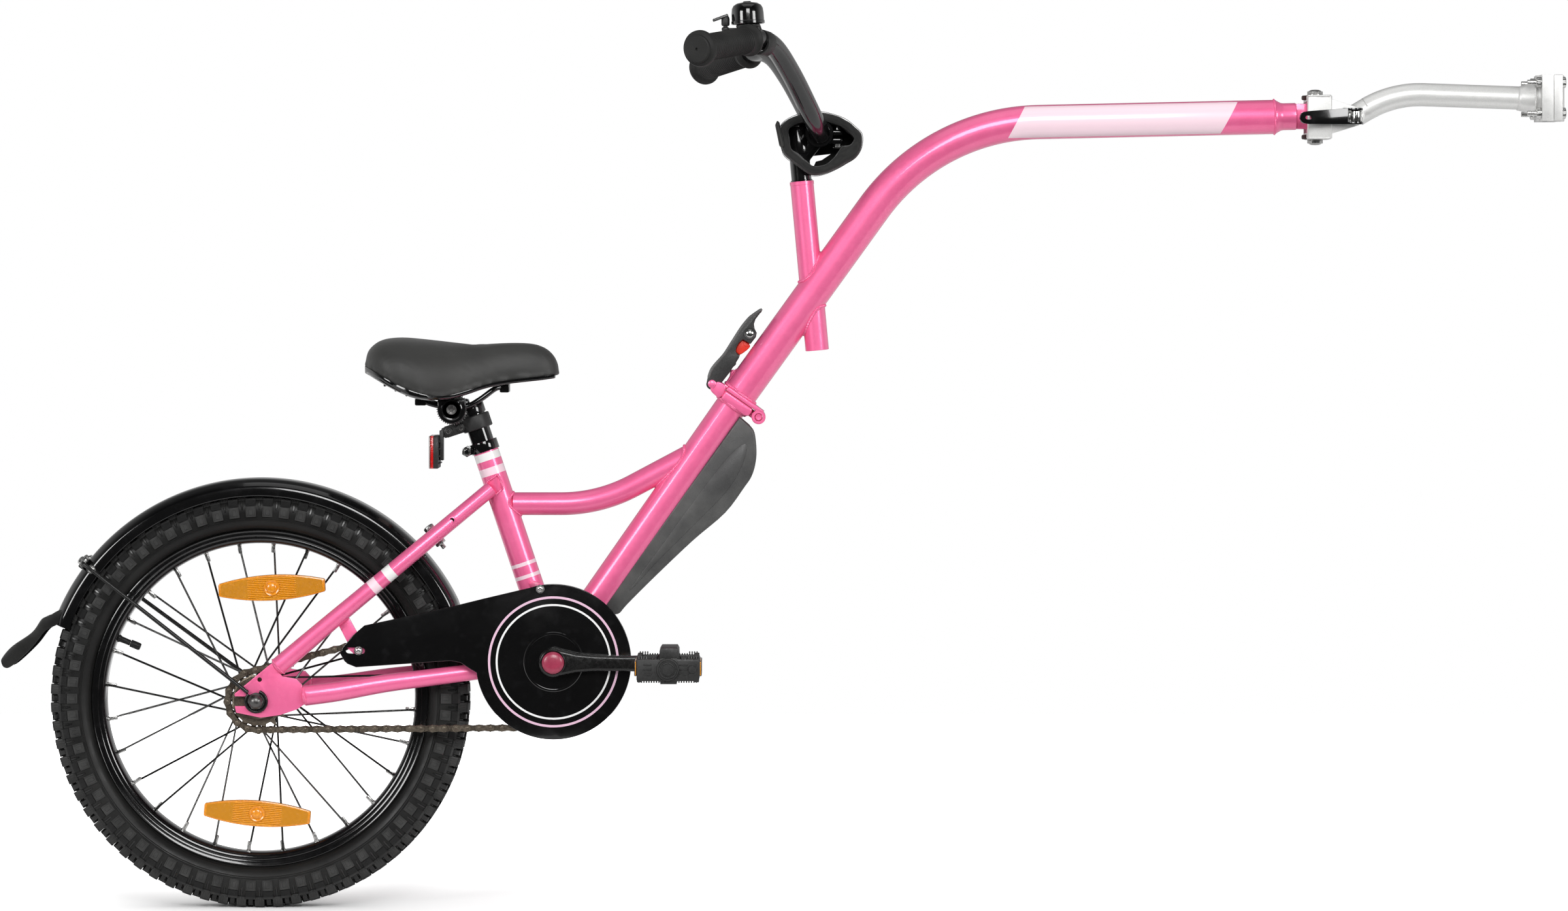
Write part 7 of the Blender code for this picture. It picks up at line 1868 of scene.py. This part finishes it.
def makePad():
    outer = smoothPath([(x, 0, z) for x, z in padOutline], 4, True)
    count = len(outer)
    mesh = bmesh.new()
    rings = []
    for index, point in enumerate(outer):
        ahead = outer[(index + 3) % count] - outer[index - 3]
        inward = Vector((-ahead.z, 0, ahead.x)).normalized()
        if inward.dot(padMiddle - point) < 0:
            inward = -inward
        turnedIn = 1 + 1.0 * exp(-((point - at(654, 0, 827)).length / 0.014) ** 2)
        ring = []
        for y, depth in mm((-25.5, 0), (-13, -0.3), (0, 0), (13, -0.3), (25.5, 0), (27.2, 1.8), (27.7, 5),
                (27.2, 8.2), (25.5, 9.8), (13, 8.8), (0, 9.6), (-13, 8.8), (-25.5, 9.8), (-27.2, 8.2),
                (-27.7, 5), (-27.2, 1.8)):
            ring.append(mesh.verts.new(point + inward * depth * turnedIn + across * y))
        rings.append(ring)
    loft(mesh, rings, closed=True)

    def pinned(point):
        return abs(abs(point.y) - 0.025) < 0.0012 and int((point.x + point.z * 1.7) * 200) % 4 == 0
    mesh = softened(mesh, 0.0022, 0.0004, 0.0022, 4.0, pinned)
    for vertex in mesh.verts:
        fold = noise.noise(Vector((vertex.co.x * 95, vertex.co.y * 40, vertex.co.z * 95)))
        vertex.co += vertex.normal * fold * 0.0007
    for edge in (-0.025, 0.025):
        line = [point + (point - padMiddle).normalized() * 0.0005 + across * edge for point in outer]
        thin = bmesh.new()
        block(thin, (0, 0, 0), (0.0019, 0.0006, 0.0006), None, 0.0002, 1)
        addAlong(mesh, thin, 1, line, 130, True)
    flap, window, barRoom = bmesh.new(), bmesh.new(), bmesh.new()
    plate(flap, [(padMiddle.x + (point.x - padMiddle.x) * 0.88,
        padMiddle.z + (point.z - padMiddle.z) * 0.88) for point in outer], 0.0206, 0.0228, 0.0006, 2)
    plate(window, mm((608, 830.4), (631.1, 832.9), (621.2, 826.3), (614.6, 824.6), (611.3, 817.3),
        (608, 820.5)), 0.015, 0.028)
    rod(barRoom, 12.8, 15, 28, barCentre, across, 40)
    flap = carve(flap, window, barRoom)
    data = bpy.data.meshes.new("padFlap")
    flap.to_mesh(data)
    flap.free()
    takeIn(mesh, data)
    strip = at(574.5, 0, 854)
    axes = (Vector((-0.2, 0, 0.98)), across, Vector((-0.98, 0, -0.2)))
    block(mesh, strip, (0.027, 0.056, 0.0042), axes, 0.0012, 3, 0)
    block(mesh, strip + axes[2] * 0.0022, (0.024, 0.052, 0.0012), axes, 0.0005, 2, 2)
    for side in (-1, 1):
        line = [strip + axes[0] * (share * 0.027 - 0.0135)
            + across * side * 0.0278 for share in (0, 0.25, 0.5, 0.75, 1)]
        beadLine(mesh, line, 0.0013, False, 2)
    cloth = Finish("padCloth",
        {"IOR": 1.4, "Specular IOR Level": 0.35, "Sheen Weight": 0.25, "Sheen Roughness": 0.5})
    weave = abs(cloth.wave((cloth.along(Vector(), across)) * 5200.0))
    parts = cloth.wave(cloth.round(padMiddle)[1] * 190.0)
    pattern = weave * 0.6 + abs(parts) * 0.6
    cloth.tint(pattern * 0.7, colour(0.006, 0.006, 0.006), colour(0.024, 0.024, 0.023))
    cloth.rough(cloth.noise(80.0, 3.0), 0.55, 0.78)
    cloth.bump(pattern + cloth.noise(500.0) * 0.6, 0.0003, 0.7)
    yarn = rubber("padThread", 0.02, 0.6)
    fuzz = rubber("velcroFuzz", 0.03, 0.9, lambda rub: rub.noise(2400.0, 3.0) * 3.0)
    piece = finishPiece("stemPadWrap", mesh, "stem_set", [cloth, yarn, fuzz], ["stem_pad"],
        60)


makeSteering()
makeBell()
makePad()
print("steering made")

# Hitch


def makeHitch():
    mesh = copyOfNode("hitch_block", 0.0013, 3, 40)
    for z in (-0.0232, 0.0232):
        beadLine(mesh, [yaw + Vector((-0.009 + share * 0.0225, -0.0226, z)) for share in (0, 0.5, 1)],
            0.0012)
    brown = rubber("bushingBrown", 0.018, 0.45)
    brown.tint(brown.noise(70.0), colour(0.02, 0.008, 0.008), colour(0.05, 0.024, 0.022))
    for z in (-0.0242, 0.0192):
        lathe(mesh, mm((4.6, 0), (14, 0), (15, 1), (15, 4), (14, 5), (4.6, 5)), yaw + upward * z, upward,
            40, 1, ring=True)
    finishPiece("hitchBlockCast", mesh, "hitch_yoke", [silver, brown], ["hitch_block"], 40)
    mesh = bmesh.new()
    rod(mesh, 4.2, -24.5, 24.5, yaw, upward)
    for side in (-1, 1):
        out = upward * side
        rod(mesh, 8.8, 24.7, 25.7, yaw, out, 36)
        hexNut(mesh, yaw + out * 0.0256, out, 0.015, 0.0034, 0, dome=0.0018)
    finishPiece("yawBoltRod", mesh, "hitch_yoke", [steel("yawSteel", 0.42, 0.3)],
        ["yaw_bolt"])
    mesh = copyOfNode("qr_skewer", 0.0006, 2, 40)
    finishPiece("quickSkewer", mesh, "hitch_yoke", [chrome], ["qr_skewer"], 40)
    mesh = copyOfNode("qr_lever", 0.0008, 3, 40)
    pivot = jointPlace("qr_lever_turn")
    for side in (-1, 1):
        lathe(mesh, mm((0, 0), (4.2, 0), (4, 0.9), (0, 1.1)), pivot + upward * side * 0.0088, upward * side,
            28, 1)
    tip = pivot + Matrix.Rotation(radians(9), 3, "Z") @ at(-56, 0, -1.8)
    out = Matrix.Rotation(radians(9), 3, "Z") @ across
    for shift in (-0.0002, 0.001, 0.0022):
        hole = bmesh.new()
        rod(hole, 2.1, -6, 6, tip + Vector((shift, 0, 0)), out)
        mesh = carve(mesh, hole)
    finishPiece("quickLeverArm", mesh, "quick_lever", [blackGloss, chrome], ["qr_lever"], 40)


def makeTowArm():
    mesh = copyOfNode("tow_arm", 0.001, 3, 40)
    rise = leaning(31)
    fall = leaning(-2)
    corner = pitch + rise * 0.0501
    end = corner + fall * ((1.412 - corner.x) / fall.x)
    path = rounded([pitch + rise * 0.018, corner, end], 0.117, 26)
    sweep(mesh, path, 0.0129, 48)
    base = Vector((1.399, 0, end.z))
    lathe(mesh, mm((0, -8), (13.1, -8), (14, -4), (15.2, 0), (17.2, 6), (19.2, 11), (0, 11.2)), base,
        Vector((1, 0, 0)), 48)
    beadLine(mesh, circleAbout(base + at(10.5, 0, 0), Vector((1, 0, 0)), 0.019), 0.0013, True)
    finishPiece("towArmTube", mesh, "tow_bar", [silver], ["tow_arm"], 40)
    mesh = copyOfNode("clamp_cap", 0.001, 3, 40)
    forward = Vector((1, 0, 0))
    for y in (-0.024, 0.024):
        for z in (0.877, 0.911):
            nut = Vector((1.4142, y, z))
            thread(mesh, nut - forward * 0.015, forward, 0.0031, 0.012, 11, 1)
            hexNut(mesh, nut - forward * 0.0052, forward, 0.0104, 0.005, 1)
            rod(mesh, 6, 0, 1, nut - forward * 0.001, forward, 28, 1)
            head = Vector((1.4367, y, z))
            rod(mesh, 6.2, 0, 0.9, head, forward, 28, 1)
            hexNut(mesh, head + forward * 0.0008, forward, 0.0106, 0.004, 1, dome=0.0004)
    finishPiece("clampCapHalf", mesh, "tow_bar", [silver, zinc], ["clamp_cap"], 40)


makeHitch()
makeTowArm()
print("hitch made")

# Camera, floor and light

cameraPlace = {"distance": 6.0, "principalX": 1150, "principalY": 420, "pixelsPerMm": 1.3817,
    "imageWidth": 2400, "imageHeight": 1394, "wheelX": 399.85, "groundY": 1386}


def setCamera():
    values = cameraPlace
    x = (values["principalX"] - values["wheelX"]) / values["pixelsPerMm"] / 1000
    z = (values["groundY"] - values["principalY"]) / values["pixelsPerMm"] / 1000
    data = bpy.data.cameras.new("camera")
    camera = bpy.data.objects.new("camera", data)
    bpy.context.scene.collection.objects.link(camera)
    camera.location = home + Vector((x, -values["distance"], z))
    camera.rotation_euler = (pi / 2, 0, 0)
    data.sensor_width = 36.0
    data.lens = values["pixelsPerMm"] * values["distance"] * 1000 / values["imageWidth"] * data.sensor_width
    data.shift_x = (values["imageWidth"] / 2 - values["principalX"]) / values["imageWidth"]
    data.shift_y = -(values["imageHeight"] / 2 - values["principalY"]) / values["imageWidth"]
    data.clip_end = 100.0
    bpy.context.scene.camera = camera


def rayTap(tree, kind):
    return addNode(tree, "ShaderNodeLightPath", output="Is " + kind + " Ray")


def setLight():
    lamps = {"leftBox": ((-4.0, -4.0, 1.9), 1.8, 116.0), "rightBox": ((4.0, -4.0, 1.9), 1.8, 116.0),
        "frontBox": ((0.2, -5.0, 2.9), 2.0, 130.0), "topBox": ((0.0, -0.3, 3.4), 2.2, 10.0)}
    aim = at(0, 0, 450)
    for name, (place, size, power) in lamps.items():
        data = bpy.data.lights.new(name, "AREA")
        data.size = size
        data.energy = power
        lamp = bpy.data.objects.new(name, data)
        bpy.context.scene.collection.objects.link(lamp)
        lamp.location = place
        lamp.rotation_euler = (aim - Vector(place)).to_track_quat("-Z", "Y").to_euler()
    world = bpy.data.worlds.new("studio")
    bpy.context.scene.world = world
    world.use_nodes = True
    tree = world.node_tree
    background = tree.nodes["Background"]
    camera, glossy, through = (rayTap(tree, kind) for kind in ("Camera", "Glossy", "Transmission"))
    view = addNode(tree, "ShaderNodeTexCoord", output="Generated")

    def fade(axis, fromLow, fromHigh, low, high):
        split = addNode(tree, "ShaderNodeSeparateXYZ", None, {0: view}, axis)
        return addNode(tree, "ShaderNodeMapRange", None,
            {"Value": split, "From Min": fromLow, "From Max": fromHigh, "To Min": low, "To Max": high})
    # what the gloss mirrors: dark in front, and greyer far behind and overhead
    seenInGloss = fade("Y", -0.4, 0.25, 0.035, 1.0) * fade("Y", 0.3, 0.95, 1.0, 0.45)
    seenInGloss *= fade("Z", 0.1, 0.8, 1.0, 0.12)
    shown = addNode(tree, "ShaderNodeMath", {"operation": "MAXIMUM"}, {0: camera, 1: through})
    ambient = 0.26 * (1 - glossy) + glossy * seenInGloss
    strength = shown + (1 - shown) * ambient
    background.inputs["Color"].default_value = (1, 1, 1, 1)
    tree.links.new(strength.socket, background.inputs["Strength"])


def setFloor():
    mesh = bmesh.new()
    bmesh.ops.create_grid(mesh, x_segments=1, y_segments=1, size=2.6)
    for vertex in mesh.verts:
        vertex.co.y = max(vertex.co.y, -0.6)
    floor = meshObject("floor", mesh)
    floor.location = (0, 0, 0)
    material = bpy.data.materials.new("paleFloor")
    material.use_nodes = True
    tree = material.node_tree
    shader = tree.nodes["Principled BSDF"]
    shader.inputs["Base Color"].default_value = (0.86, 0.86, 0.86, 1)
    shader.inputs["Roughness"].default_value = 0.9
    shader.inputs["Specular IOR Level"].default_value = 0.0
    seen = rayTap(tree, "Camera") + rayTap(tree, "Glossy") * 0.25
    place = addNode(tree, "ShaderNodeTexCoord", output=3)
    reach = addNode(tree, "ShaderNodeVectorMath", {"operation": "LENGTH"}, {0: place}, 1)
    # the floor's glow for camera and gloss rays is dimmed by ambient occlusion near the object, a painted
    # contact shadow, and grows with distance from the middle
    near = addNode(tree, "ShaderNodeAmbientOcclusion", {"samples": 12}, {"Distance": 0.3}, 1)
    shader.inputs["Emission Color"].default_value = (1, 1, 1, 1)
    glow = seen * (0.6 + reach * reach * 0.3) * near ** 1.6
    tree.links.new(glow.socket, shader.inputs["Emission Strength"])
    floor.data.materials.append(material)


setCamera()
setLight()
setFloor()
bpy.context.scene.view_settings.view_transform = "Standard"
